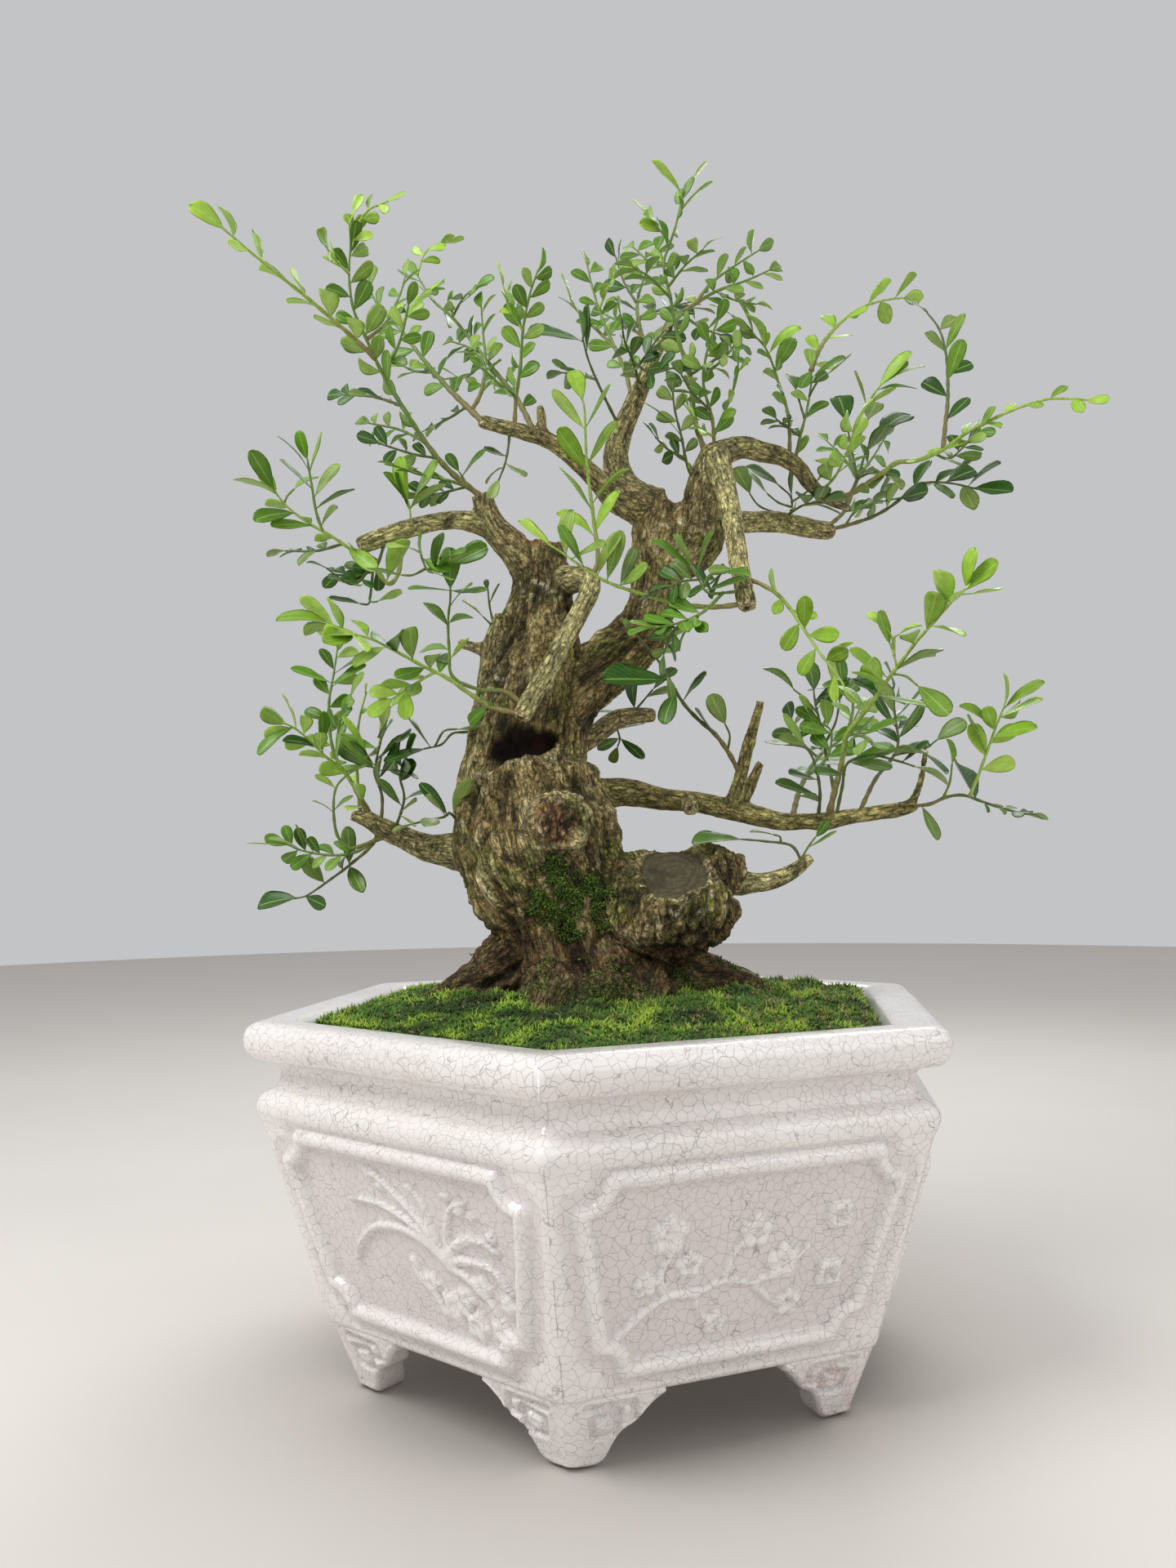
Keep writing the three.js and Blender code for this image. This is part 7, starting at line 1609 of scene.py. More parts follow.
def press_hollow(points, normals, skin):
    """Presses the rotten hollow into the wood as a bowl and lifts the torn ledge below it."""
    facing = unit(-AWAY * 0.92 + UP * 0.2 + RIGHT * -0.1)
    bowl = points - sight([HOLLOW])[0]
    aside, above = bowl @ RIGHT + 5.0, bowl @ UP + 0.5
    spread = np.hypot(aside / HOLLOW_HALF_WIDTH, (above - 0.14 * aside) / HOLLOW_HALF_HEIGHT)
    spread += 0.3 * noise(points / 7, 21) + 0.1 * noise(points / 2.6, 23)
    front = (normals @ facing > -0.2) & (bowl @ facing > -16)
    skin.pressed = np.where(front, HOLLOW_DEPTH * smoothstep(1.0, 0.25, spread), 0)
    points = points - facing * (skin.pressed * (1 + 0.25 * skin.fibres))[:, None]
    off_ledge = np.abs(above + LEDGE_DROP - LEDGE_RISE * aside + 2.6 * noise(points / 6, 22))
    skin.ledge = smoothstep(5.5, 0.5, off_ledge) * smoothstep(26, 14, np.abs(aside + 3)) * front
    return points + facing * (LEDGE_HEIGHT * skin.ledge * (0.7 + 0.6 * skin.fibres))[:, None]


def mixed_in(base, colour, share):
    """Base colours with a share of another colour, which is a #rrggbb code or comes from a property."""
    other = linear(colour) if isinstance(colour, str) else np.array(colour)
    return base + (other - base) * np.clip(share, 0, 1)[:, None]


def sawn_ends(points, curves):
    """The pale wood of each sawn limb end and the dark pith in its middle, as layers of colour."""
    layers = []
    for name in CUT_ENDS:
        path, radii = curves[name]
        end, radius = unit(path[-1] - path[-3]), radii[-1]
        off = points - path[-1]
        past = off @ end
        reach = np.linalg.norm(off - np.outer(past, end), axis=1)
        depth = 0.7 + 0.25 * radius
        sawn = smoothstep(-depth, -0.25 * depth, past) * (reach < radius * 1.3) * (past < 3 * depth)
        layers.append(("thin end" if radius < 8 else "thick end", sawn * 0.9))
        layers.append(("pith", sawn * smoothstep(0.38, 0.2, reach / radius) * (radius > 3) * 0.9))
    return layers


def bark_colours(points, skin, curves, sizes):
    """Colours of the bark: layers, each laid over the ones before it with the share that its field gives."""
    def patch(width, seed):
        """Patches of noise of a width in millimetres."""
        return noise(points / width, seed)

    def of_limbs(*chosen):
        """True where the nearest limb is one of those chosen."""
        return np.isin(skin.owner, [list(curves).index(name) for name in chosen])

    thick, thin = skin.thick, 1 - skin.thick
    move = skin.move / (0.6 + 2.4 * thick)
    # Painted shade: the bark is darkened where its relief sinks and along the sunk borders of its plates,
    # over the darker bark of its cracks.
    crevice_shade = smoothstep(0.15, -0.65, move) * (0.25 + 0.6 * thick)
    crevice_shade = np.maximum(crevice_shade, thick * skin.broken * smoothstep(0.12, 0.0, skin.plates) * 0.8)
    # Painted highlight: the bark is paler where its relief stands out, over the pale weathered colour of its
    # ridges.
    crest_highlight = smoothstep(0.0, 1.2, move)
    olive = of_limbs(*(name for name in curves if name.startswith("low_right")))
    pale = of_limbs("crossing_stub", "pale_left_branch", "knob_twig", "hanging_stub")
    growth = 0.5 + 0.5 * np.sin(skin.oval * 30 + 1.5 * patch(5, 41))
    hollow = smoothstep(0.5, 3.5, skin.pressed)
    flakes = smoothstep(0.3, 0.55, patch(1.9, 45)) * smoothstep(0.0, 0.6, patch(16, 46))
    layers = [
        (sizes.crest_highlight, crest_highlight * (0.45 + 0.55 * smoothstep(-0.4, 0.4, patch(9, 31)))),
        ("twig", thin * 0.8),
        ("young twig", thin * smoothstep(-0.2, 0.5, patch(14, 32)) * 0.7),
        ("lichen", 0.7 * smoothstep(-0.1, 0.5, layered_noise(points / 12, 2, 33)) * thick),
        ("rust", 0.45 * smoothstep(0.1, 0.6, layered_noise(points / 10, 2, 34)) * thick),
        ("root", skin.base * 0.85 * smoothstep(-0.6, 0.4, skin.fibres + 0.3)),
        ("green foot", 0.6 * smoothstep(168, 156, skin.height) * smoothstep(-0.1, 0.5, skin.lump)),
        ("olive", olive * 0.7),
        ("olive ridge", olive * 0.6 * smoothstep(0.0, 0.6, skin.ridges)),
        ("pale limb", pale * 0.8),
        ("crevice_shade", crevice_shade * 0.92),
        ("scar", skin.scarred * 0.92),
        # Painted shade in the scar's sunk grooves, where its rays dip.
        ("scar pit", skin.scarred * smoothstep(0.0, -0.5, skin.rays) * 0.9),
        ("scar ray", skin.scarred * smoothstep(0.15, 0.6, skin.rays) * 0.8),
        ("collar", skin.collar * smoothstep(0.1, 0.5, patch(3.6, 35)) * 0.9),
        *sawn_ends(points, curves),
        ("cut rim", skin.rim * (1 - skin.on_cut) * smoothstep(0.25, -0.3, patch(5, 40)) * 0.85),
        ("cut", skin.on_cut * 0.96),
        ("cut ring", skin.on_cut * growth * 0.4),
        ("cut crack", skin.on_cut * smoothstep(0.2, 0.55, patch(4.5, 42)) * 0.5),
        # Painted shade: the pressed hollow is made near black over its dark rotten wood.
        ("hollow", hollow * 0.97),
        ("rotten wood", smoothstep(5, 9, skin.pressed) * smoothstep(0, 0.6, patch(3, 43)) * 0.6),
        ("ledge", skin.ledge * smoothstep(-0.1, 0.4, patch(3.5, 44)) * 0.85),
        # The knob crown's cream lobes follow the same raised bark, partly a painted highlight.
        ("lobe", of_limbs("knob_crown") * crest_highlight * 0.8),
        ("flake", flakes * thick * (skin.pressed < 0.5) * (1 - skin.on_cut) * (1 - skin.base) * 0.6),
    ]
    colour = np.tile(np.array(sizes.bark), (len(points), 1))
    for tone, share in layers:
        colour = mixed_in(colour, BARK_TONES[tone] if isinstance(tone, str) else tone, share)
    return colour, np.maximum(skin.on_cut * 1.0, hollow)


def make_trunk(sizes):
    """The trunk's skin: tubes round every limb's curve are joined by a voxel remesh, softened, moved along
    their normals by the relief of the bark, cut at the sawn stump and hollowed."""
    curves = limb_curves(LIMB_STEP)
    points, quads = trunk_skin(curves, sizes.grain)
    normals = point_normals(points, quads)
    skin = bark_fields(points, curves)
    points = saw_stump(points, normals, skin)
    points = press_hollow(points, normals, skin)
    points = relaxed(points, quads, 1, 0.2)
    colour, sawn = bark_colours(points, skin, curves, sizes)
    bark = kept_material("gnarled_bark", bark_material)
    trunk = put_mesh("trunk_bark", points, [quads], [bark], {"bark": colour, "limb_place": skin.local * 0.1},
                     {"sawn": sawn})
    take_place(trunk, "bark", "trunk")


# Moss: heights of the mound at the rim and how far it rises, and (width, height) of its clumps.
MOUND_FOOT, MOUND_RISE, MOUND_TILT = 147.5, 8.5, 0.018
WIDE_CLUMPS, NARROW_CLUMPS, CLUMPS_MEAN = (15, 4.6), (6, 2.0), 2.3
MOUND_EDGE_DROP, MOUND_UNDER, MOUND_UNDER_MIDDLE = 4.0, 139.6, 143.0
MOUND_END = 0.985
MOUND_HOLE = 0.02
SLOPE_STEP = 0.6
MOSS_LEAF_HEIGHT, MOSS_LEAF_WIDTH, MOSS_LEAF_ROOT = (1.3, 3.0), (0.38, 0.72), 0.7
MOSS_DARK, MOSS_FULL, MOSS_HOLLOW, MOSS_STRAW = "#31491a", "#4f7420", "#223411", "#a8895a"

# How light a moss leaf is at its root, round its middle and at its tip: its root is darkened by painted
# shade down among the other leaves, and its tip is lighter.
SPIKE_PAINTED_SHADE = (0.35, 0.85, 0.85, 0.85, 1.25)

# Tufts on the bark: piece, number of leaves, their height and the CAD node that they replace.
TUFTS = (("trunk_moss_tufts", 3800, 2.6, ["trunk_moss"]), ("root_moss_tufts", 3000, 2.0, []))
TUFT_DARK, TUFT_LIGHT = "#2b4613", "#7d9c2c"


def spikes(roots, heads, widths, colours, bent):
    """Three-sided spindles: a foot point, a ring of three at two fifths of the height and a tip. The tip
    leans by bent. Gives points, faces and colours, darkened at the foot by painted shade."""
    count = len(roots)
    run = heads - roots
    side = np.cross(run, [0.31, 0.87, 0.39])
    side /= np.maximum(np.linalg.norm(side, axis=1), 1e-9)[:, None]
    other = np.cross(run, side)
    other /= np.maximum(np.linalg.norm(other, axis=1), 1e-9)[:, None]
    rings = [roots + 0.42 * run + widths[:, None] * (side * math.cos(angle) + other * math.sin(angle))
             for angle in (0, 2 * np.pi / 3, 4 * np.pi / 3)]
    points = np.stack([roots, *rings, heads + bent], 1).reshape(-1, 3)
    first = 5 * np.arange(count)[:, None]
    cells = np.array([[0, 2, 1], [0, 3, 2], [0, 1, 3], [4, 1, 2], [4, 2, 3], [4, 3, 1]])
    faces = (first[:, :, None] + cells[None]).reshape(-1, 3)
    shade = np.array(SPIKE_PAINTED_SHADE)
    return points, faces, (colours[:, None] * shade[None, :, None]).reshape(-1, 3)


def moss_height(spots, sizes):
    """Height of the mound, foot + rise * (1 - share ** 2.2) with clumps, and each spot's share of the way
    from the middle to the rim. It is a little higher on the right."""
    x, y = spots.T
    outwards = [side_directions(side)[0] for side in range(SIDES)]
    out = np.max([x * outward[0] + y * outward[1] for outward in outwards], axis=0)
    share = np.clip(out / (RIM_INSIDE * math.cos(math.pi / 6)), 0, 1)
    mound = MOUND_FOOT + MOUND_RISE * (1 - share ** 2.2) + MOUND_TILT * x * (1 - share)
    flat = np.column_stack([x, y, np.zeros(len(x))])
    clumps = sum(np.abs(noise(flat / width, seed)) * height
                 for seed, (width, height) in ((51, WIDE_CLUMPS), (52, NARROW_CLUMPS)))
    return mound + sizes.clumps * (clumps - CLUMPS_MEAN) * smoothstep(1.0, 0.93, share), share


def make_moss(sizes):
    """The mound is a grid of distance from the middle and angle, its height the sum of a bowl and clumps of
    noise; thousands of little leaves of moss stand on it."""
    shares = np.linspace(MOUND_HOLE, 1, 96)
    ring, _, _, _ = six_sided(RIM_INSIDE, 6, 44, 4)
    count = len(ring)
    flat = (shares[:, None, None] * ring[None, :, :2]).reshape(-1, 2)
    height, share = moss_height(flat, sizes)
    height -= MOUND_EDGE_DROP * smoothstep(0.97, 1.0, share)
    under = np.column_stack([ring[:, :2], np.full(count, MOUND_UNDER)])
    inner = np.column_stack([ring[:, :2] * MOUND_HOLE, np.full(count, MOUND_UNDER_MIDDLE)])
    points = np.vstack([np.column_stack([flat, height]), under, inner])
    faces = grid_faces(len(shares) + 2, count, closed_rows=True)[:, ::-1]
    clump = noise(np.column_stack([flat, 0 * share]) / 9, 53)
    colour = np.tile(linear(MOSS_DARK), (len(points), 1))
    colour[:len(flat)] = mixed_in(colour[:len(flat)], MOSS_FULL, smoothstep(-0.4, 0.6, clump))
    moss = kept_material("moss_leaves", moss_material)
    take_place(put_mesh("moss_mound", points, [faces], [moss], {"moss": colour}), "moss", "moss")
    make_moss_leaves(sizes, moss)


def make_moss_leaves(sizes, moss):
    """Little leaves of moss on the mound, in two pieces. They stand square to it and lean at random."""
    random = np.random.default_rng(7)
    total = int(sizes.leaves)
    spots = random.uniform(-RIM_INSIDE, RIM_INSIDE, (total * 2, 2))
    height, share = moss_height(spots, sizes)
    keep = np.flatnonzero(share < MOUND_END)[:total]
    spots, height = spots[keep], height[keep]
    flat = np.column_stack([spots, 0 * height])
    beside = (moss_height(spots + step, sizes)[0] for step in np.eye(2) * SLOPE_STEP)
    slope = np.stack([(other - height) / SLOPE_STEP for other in beside], 1)
    up = np.column_stack([-slope * 0.8, np.ones(len(spots))])
    up += random.normal(0, 0.7, up.shape)
    up /= np.linalg.norm(up, axis=1)[:, None]
    clump = noise(flat / 8.5, 54)
    tall = random.uniform(*MOSS_LEAF_HEIGHT, len(spots)) * (1 + 0.4 * clump)
    roots = np.column_stack([spots, height - MOSS_LEAF_ROOT])
    tone = np.tile(np.array(sizes.shade), (len(spots), 1))
    tone = mixed_in(tone, sizes.tips, smoothstep(0.0, 0.75, clump + random.normal(0, 0.25, len(spots))))
    tone = mixed_in(tone, MOSS_HOLLOW, smoothstep(0.0, -0.6, noise(flat / 15, 55)) * 0.85)
    straw = random.random(len(spots)) < 0.02 + 0.09 * smoothstep(20, 90, spots[:, 0] - 0.3 * spots[:, 1])
    tone = mixed_in(tone, MOSS_STRAW, straw * 0.85)
    half = len(spots) // 2
    for part, chosen in (("front", np.arange(half)), ("rest", np.arange(half, len(spots)))):
        bent = random.normal(0, 0.5, (len(chosen), 3))
        heads = roots[chosen] + up[chosen] * (tall[chosen, None] + MOSS_LEAF_ROOT)
        widths = random.uniform(*MOSS_LEAF_WIDTH, len(chosen))
        points, faces, colour = spikes(roots[chosen], heads, widths, tone[chosen], bent)
        piece = put_mesh("moss_leaves_" + part, points, [faces], [moss], {"moss": colour})
        take_place(piece, "moss", "moss")


def make_trunk_moss(skin, normals):
    """Tufts on the trunk where its moss pads lie, and thin cushions round the roots."""
    random = np.random.default_rng(11)
    pads = np.array(TRUNK_MOSS, float)
    reach = [np.linalg.norm(skin - centre, axis=1) / radius
             for centre, radius in zip(sight(pads[:, :3]), pads[:, 3])]
    ragged = np.min(reach, axis=0) + 0.4 * noise(skin / 6, 61)
    on_pads = np.flatnonzero((ragged < 1.15) & (normals @ -AWAY > -0.2))
    density = smoothstep(1.15, 0.55, ragged[on_pads]) * smoothstep(-0.5, 0.3, noise(skin[on_pads] / 3.5, 63))
    on_roots = np.flatnonzero((skin[:, 2] < 172) & (skin[:, 2] > 150) & (noise(skin / 11, 62) > 0.34))
    places = ((on_pads, density / density.sum()), (on_roots, None))
    for (name, count, tall, nodes), (picked, share) in zip(TUFTS, places):
        if not len(picked):
            raise RuntimeError(f"no bark found for {name}")
        spots = random.choice(picked, count // (1), p=share)
        up = normals[spots] + random.normal(0, 0.45, (len(spots), 3)) + UP * 0.25
        up /= np.linalg.norm(up, axis=1)[:, None]
        roots = skin[spots] - 0.4 * normals[spots] + random.normal(0, 0.5, (len(spots), 3))
        tone = np.tile(linear(TUFT_DARK), (len(spots), 1))
        tone = mixed_in(tone, TUFT_LIGHT, random.random(len(spots)) ** 2.2)
        heads = roots + up * (random.uniform(0.5, 1, len(spots)) * tall)[:, None]
        widths = random.uniform(0.3, 0.55, len(spots))
        bent = random.normal(0, 0.4, (len(spots), 3))
        points, faces, colour = spikes(roots, heads, widths, tone, bent)
        moss = kept_material("moss_leaves", moss_material)
        take_place(put_mesh(name, points, [faces], [moss], {"moss": colour}), "moss", *nodes)


# Shoots
LEAF_ANGLE = math.radians(52)
LEAF_WIDTH = {"young": 0.52, "mid": 0.5, "dark": 0.54}
LAST_LEAF_SHARE = 0.96
TIP_LENGTH = 2.0
LEAF_PALE = "#e6f08c"
LEAF_STATIONS = np.array([0.0, 0.08, 0.22, 0.4, 0.56, 0.7, 0.82, 0.92, 1.0])
LEAF_RING = 8
LEAF_SIDEWAYS = np.cos(2 * np.pi * np.arange(LEAF_RING) / LEAF_RING)
LEAF_UPPER = np.sin(2 * np.pi * np.arange(LEAF_RING) / LEAF_RING)
THINNEST_LEAF, LEAF_THICKNESS = 0.22, 0.17
UNDERSIDE = -0.1
LEAF_UNDER = "#9fb873"
STEM_TONES = {"young": "#9db94f", "mid": "#6f8a3a", "dark": "#5d6a34"}
WOODY_STEM = "#8a7a4c"
STEM_SIDES = 7
STEM_TIP, STEM_BASE, STEM_BASE_MOST, STEM_BASE_GROWTH = 0.42, 0.5, 1.5, 0.008

# Lengths of leaves and how much longer each is in the looks than in the rows.
LEAF_GROWTH = ((8, 14, 24), (1.3, 1.27, 0.98))


def nearest_on(path, across, up):
    """The point of a drawn path nearest to (across, up), a little short of the path's thin tip, and its
    distance."""
    best_off, best = math.inf, path[0]
    for i, (a, b) in enumerate(zip(path[:-1], path[1:])):
        run = b[:2] - a[:2]
        if not run.any():
            continue
        share = ((across - a[0]) * run[0] + (up - a[1]) * run[1]) / (run @ run)
        most = max(0.5, 1 - TIP_LENGTH / np.hypot(*run)) if i + 2 == len(path) else 1
        place = a + (b - a) * min(most, max(0, share))
        off = math.hypot(place[0] - across, place[1] - up)
        if off < best_off:
            best_off, best = off, place
    return best_off, best


def graft(points, change, carriers):
    """A stem's points with their depth: it starts on the path that carries it, and its depth then changes
    evenly along it."""
    start = min((nearest_on(path, *points[0]) for path in carriers), key=lambda found: found[0])[1]
    drawn = np.vstack([start[:2], *points[1:]])
    gone = np.concatenate([[0], np.cumsum(np.hypot(*np.diff(drawn, axis=0).T))])
    return np.column_stack([drawn, start[2] + change * gone / gone[-1]])


def turned(vector, axis, angle):
    """A vector v turned about an axis of length 1:
    v cos(angle) + (axis x v) sin(angle) + axis (axis . v) (1 - cos(angle))."""
    return (vector * math.cos(angle) + np.cross(axis, vector) * math.sin(angle)
            + axis * (axis @ vector) * (1 - math.cos(angle)))


def unit(vector):
    """The vector at length 1."""
    return vector / np.linalg.norm(vector)


def stems_of(rows):
    """The stems of a shoot in space, with the leaves that each carries."""
    limbs = [np.array([row[:3] for row in limb], float) for limb in LIMBS.values()]
    paths, stems = [], []
    for number, (tone, size, count, bare, change, *points) in enumerate(rows):
        path = graft(np.array(points, float), change, limbs if number == 0 else paths)
        paths.append(path)
        smooth = smooth_path(path, 1.6)
        run = sight(smooth)
        gone = np.concatenate([[0], np.cumsum(np.linalg.norm(np.diff(run, axis=0), axis=1))])
        stems.append({"tone": tone, "size": size, "count": count, "bare": bare, "towards": smooth[:, 2],
                      "run": run, "gone": gone, "number": number, "lone": count == 1 and len(points) == 2})
    return stems


def stem_place(stem, reach):
    """The point of a stem's curve at a distance along it."""
    return np.array([np.interp(reach, stem["gone"], stem["run"][:, axis]) for axis in range(3)])


def leaves_of(stem, seed):
    """Leaves of a stem: they alternate from side to side of a spray that faces the sky and the light, and
    the last one ends the stem."""
    leaves = []
    length = stem["gone"][-1]
    for i in range(stem["count"]):
        last = i == stem["count"] - 1
        share = 1 if stem["count"] == 1 else stem["bare"] + (1 - stem["bare"]) * i / (stem["count"] - 1)
        reach = (0 if stem["lone"] else min(share, LAST_LEAF_SHARE)) * length
        place = stem_place(stem, reach)
        towards = np.interp(reach, stem["gone"], stem["towards"])
        ahead, behind = min(length, reach + 1.5), max(0, reach - 1.5)
        heading = unit(stem_place(stem, ahead) - stem_place(stem, behind))
        pick = seed + 17 * i
        lean = chance(seed + np.arange(3)) - 0.5
        normal = UP * 0.7 - AWAY * 0.6 + lean * 0.9
        normal = unit(normal - heading * (normal @ heading))
        normal = turned(normal, heading, 0.5 * i * (chance(seed + 3) - 0.5))
        side = np.cross(heading, normal) * (1 if i % 2 == 0 else -1)
        angle = 0.12 * (chance(pick) - 0.5) if last else LEAF_ANGLE * (0.75 + 0.5 * chance(pick))
        direction = unit(heading * math.cos(angle) + side * math.sin(angle)
                         + normal * 0.35 * (chance(pick + 5) - 0.4))
        blade = stem["size"] * nearness(towards) * (1 if last else 0.75 + 0.35 * chance(pick + 7))
        whole = blade + (length if stem["lone"] else 0)
        face = turned(normal, direction, 0.9 * (chance(pick + 9) - 0.5))
        face = unit(face - direction * (face @ direction))
        leaves.append((place, direction, face, whole, blade * LEAF_WIDTH[stem["tone"]], stem["tone"], pick))
    return leaves


def leaf_surface(leaves, sizes):
    """Points of all leaves of a shoot, as a grid of leaf, station and place round the section. With t the
    share of the length, the half width is width / 2 * ((t - 0.05) ** 0.95 * (1.012 - t) ** 0.46) / its
    largest value. The blade folds up along its midrib by fold * off, arches down by curl * t * t * length,
    twists by twist * t, and its edge waves by a sine of t."""
    place, direction, face = (np.array([leaf[i] for leaf in leaves]) for i in range(3))
    length, width, pick = (np.array([leaf[i] for leaf in leaves]) for i in (3, 4, 6))
    growth = sizes.growth * np.interp(length, *LEAF_GROWTH)
    length, width = length * growth, width * growth * 0.97
    t = LEAF_STATIONS
    shape = np.clip(t - 0.05, 0, None) ** 0.95 * np.clip(1.012 - t, 0, None) ** 0.46
    shape = shape / shape.max()
    half = np.maximum(width[:, None] / 2 * shape[None], THINNEST_LEAF)
    fold = 0.10 + 0.42 * chance(pick + 21)
    curl = (chance(pick + 23) - 0.30) * 0.42
    wave = 0.07 * np.sin(t[None] * 9 + 6 * chance(pick + 25)[:, None])
    turn = (0.5 * (chance(pick + 27) - 0.5))[:, None] * t[None]
    offset = half[:, :, None] * LEAF_SIDEWAYS[None, None]
    lift = (fold[:, None, None] * np.abs(offset) * (1 + wave[:, :, None] * np.sign(LEAF_SIDEWAYS))
            + LEAF_THICKNESS * LEAF_UPPER[None, None] * np.where(t[None, :, None] < 0.06, 1.6, 1)
            - (curl[:, None] * t[None] ** 2 * length[:, None])[:, :, None])
    lift = lift + wave[:, :, None] * half[:, :, None] * LEAF_SIDEWAYS ** 2
    sided = offset * np.cos(turn)[:, :, None]
    raised = lift + offset * np.sin(turn)[:, :, None]
    along = (t[None] * length[:, None] * (1 - 0.25 * np.abs(curl[:, None]) * t[None]))[:, :, None]
    across = np.cross(direction, face)
    return (place[:, None, None] + direction[:, None, None] * along[..., None]
            + across[:, None, None] * sided[..., None] + face[:, None, None] * raised[..., None])


def leaf_colours(leaves, shape, sizes):
    """Colours of leaves: each has its own tint, is a little lighter towards its tip and paler below."""
    pick = np.array([leaf[6] for leaf in leaves])
    middle = np.array([tuple(getattr(sizes, leaf[5])) for leaf in leaves])
    share = chance(pick + 31)[:, None]
    tint = np.where(share < 0.5, middle * (0.55 + 0.9 * share),
                    middle + (linear(LEAF_PALE) - middle) * 0.26 * (share * 2 - 1))
    tint = tint * (0.88 + 0.24 * chance(pick + 33)[:, None])
    below = LEAF_UPPER < UNDERSIDE
    towards_tip = 0.94 + 0.12 * LEAF_STATIONS
    shade = np.where(below, 1.18, 1.0)[None, None, :, None] * towards_tip[None, :, None, None]
    colour = np.broadcast_to(tint[:, None, None], shape) * shade
    return colour + (linear(LEAF_UNDER) - colour) * np.where(below, 0.28, 0.0)[None, None, :, None]


def leaf_grids(leaves, sizes):
    """All leaves of a shoot as closed blades: points, faces, end faces, colours and places on the leaf."""
    points = leaf_surface(leaves, sizes)
    count, rows = len(leaves), len(LEAF_STATIONS)
    caps = np.arange(LEAF_RING)
    first = np.stack([np.zeros(LEAF_RING - 2, int), caps[2:], caps[1:-1]], 1)
    last = np.stack([np.zeros(LEAF_RING - 2, int), caps[1:-1], caps[2:]], 1) + (rows - 1) * LEAF_RING
    start = rows * LEAF_RING * np.arange(count)[:, None, None]
    quads = (grid_faces(rows, LEAF_RING)[None] + start).reshape(-1, 4)
    ends = (np.vstack([first, last])[None] + start).reshape(-1, 3)
    flat = np.empty((count, rows, LEAF_RING, 2))
    flat[..., 0] = 0.5 + 0.5 * LEAF_SIDEWAYS[None, None]
    pick = np.array([leaf[6] for leaf in leaves])
    flat[..., 1] = LEAF_STATIONS[None, :, None] + 0.2 * chance(pick)[:, None, None]
    colour = leaf_colours(leaves, points.shape, sizes)
    return points.reshape(-1, 3), quads, ends, colour.reshape(-1, 3), flat.reshape(-1, 2)


def stem_tube(stem, order):
    """A smooth tapering tube along a stem, woody at its foot: points, faces, end faces and colours."""
    length = stem["gone"][-1]
    base = min(STEM_BASE_MOST, STEM_BASE + STEM_BASE_GROWTH * length)
    share = stem["gone"] / length
    radii = (base + (STEM_TIP - base) * share) * (1 + 0.12 * np.sin(stem["gone"] * 0.9 + order))
    spots, sides, caps = tube(stem["run"], radii, STEM_SIDES)
    young, woody = linear(STEM_TONES[stem["tone"]]), linear(WOODY_STEM)
    greenness = np.repeat(smoothstep(0.0, 0.45, share + 0.35 * (base < 0.9)), STEM_SIDES)
    tint = woody + (young - woody) * greenness[:, None]
    return spots, sides, caps, np.vstack([tint, tint[:1], tint[-1:]])


def make_shoot(name, rows, order, sizes):
    """One shoot: a smooth tapering tube for each stem, and its leaves."""
    stems = stems_of(rows)
    parts = [(*stem_tube(stem, order), None) for stem in stems if not stem["lone"]]
    leaves = [leaf for stem in stems for leaf in leaves_of(stem, 1000 * order + 100 * stem["number"])]
    parts.append(leaf_grids(leaves, sizes))
    quads, ends, flats, start = [], [], [], 0
    for spots, sides, caps, _, flat in parts:
        quads.append(sides + start)
        ends.append(caps + start)
        flats.append(np.zeros((len(spots), 2)) if flat is None else flat)
        start += len(spots)
    points, colours = np.vstack([part[0] for part in parts]), np.vstack([part[3] for part in parts])
    is_stem = [np.full(len(faces), index + 1 < len(parts))
               for group in (quads, ends) for index, faces in enumerate(group)]
    materials = [kept_material("leaf", leaf_material, sizes), kept_material("green_stem", stem_material)]
    piece = put_mesh(name.replace("_shoot", "_leaves").replace("_twig", "_twig_leaves"), points,
                     [np.vstack(quads), np.vstack(ends)], materials, {"leaf": colours},
                     flat_map=np.vstack(flats), material_of=np.concatenate(is_stem))
    take_place(piece, "leaf_" + rows[0][0], name)


# Stage: the lights' names, places and widths in millimetres, and the camera's lens and sensor width.
LIGHTS = (("key", (-520, -560, 980), 620), ("fill", (700, -520, 620), 700), ("back", (150, 760, 900), 600))
FLOOR_RINGS = [(2600, 0), (900, 0), (300, 0), (10, 0), (10, -6), (2600, -6)]
LIT_POINT = (0, 0, 260.0)
SKY = (0.98, 0.985, 1.0, 1.0)
SENSOR, LENS = 36.0, 27.02


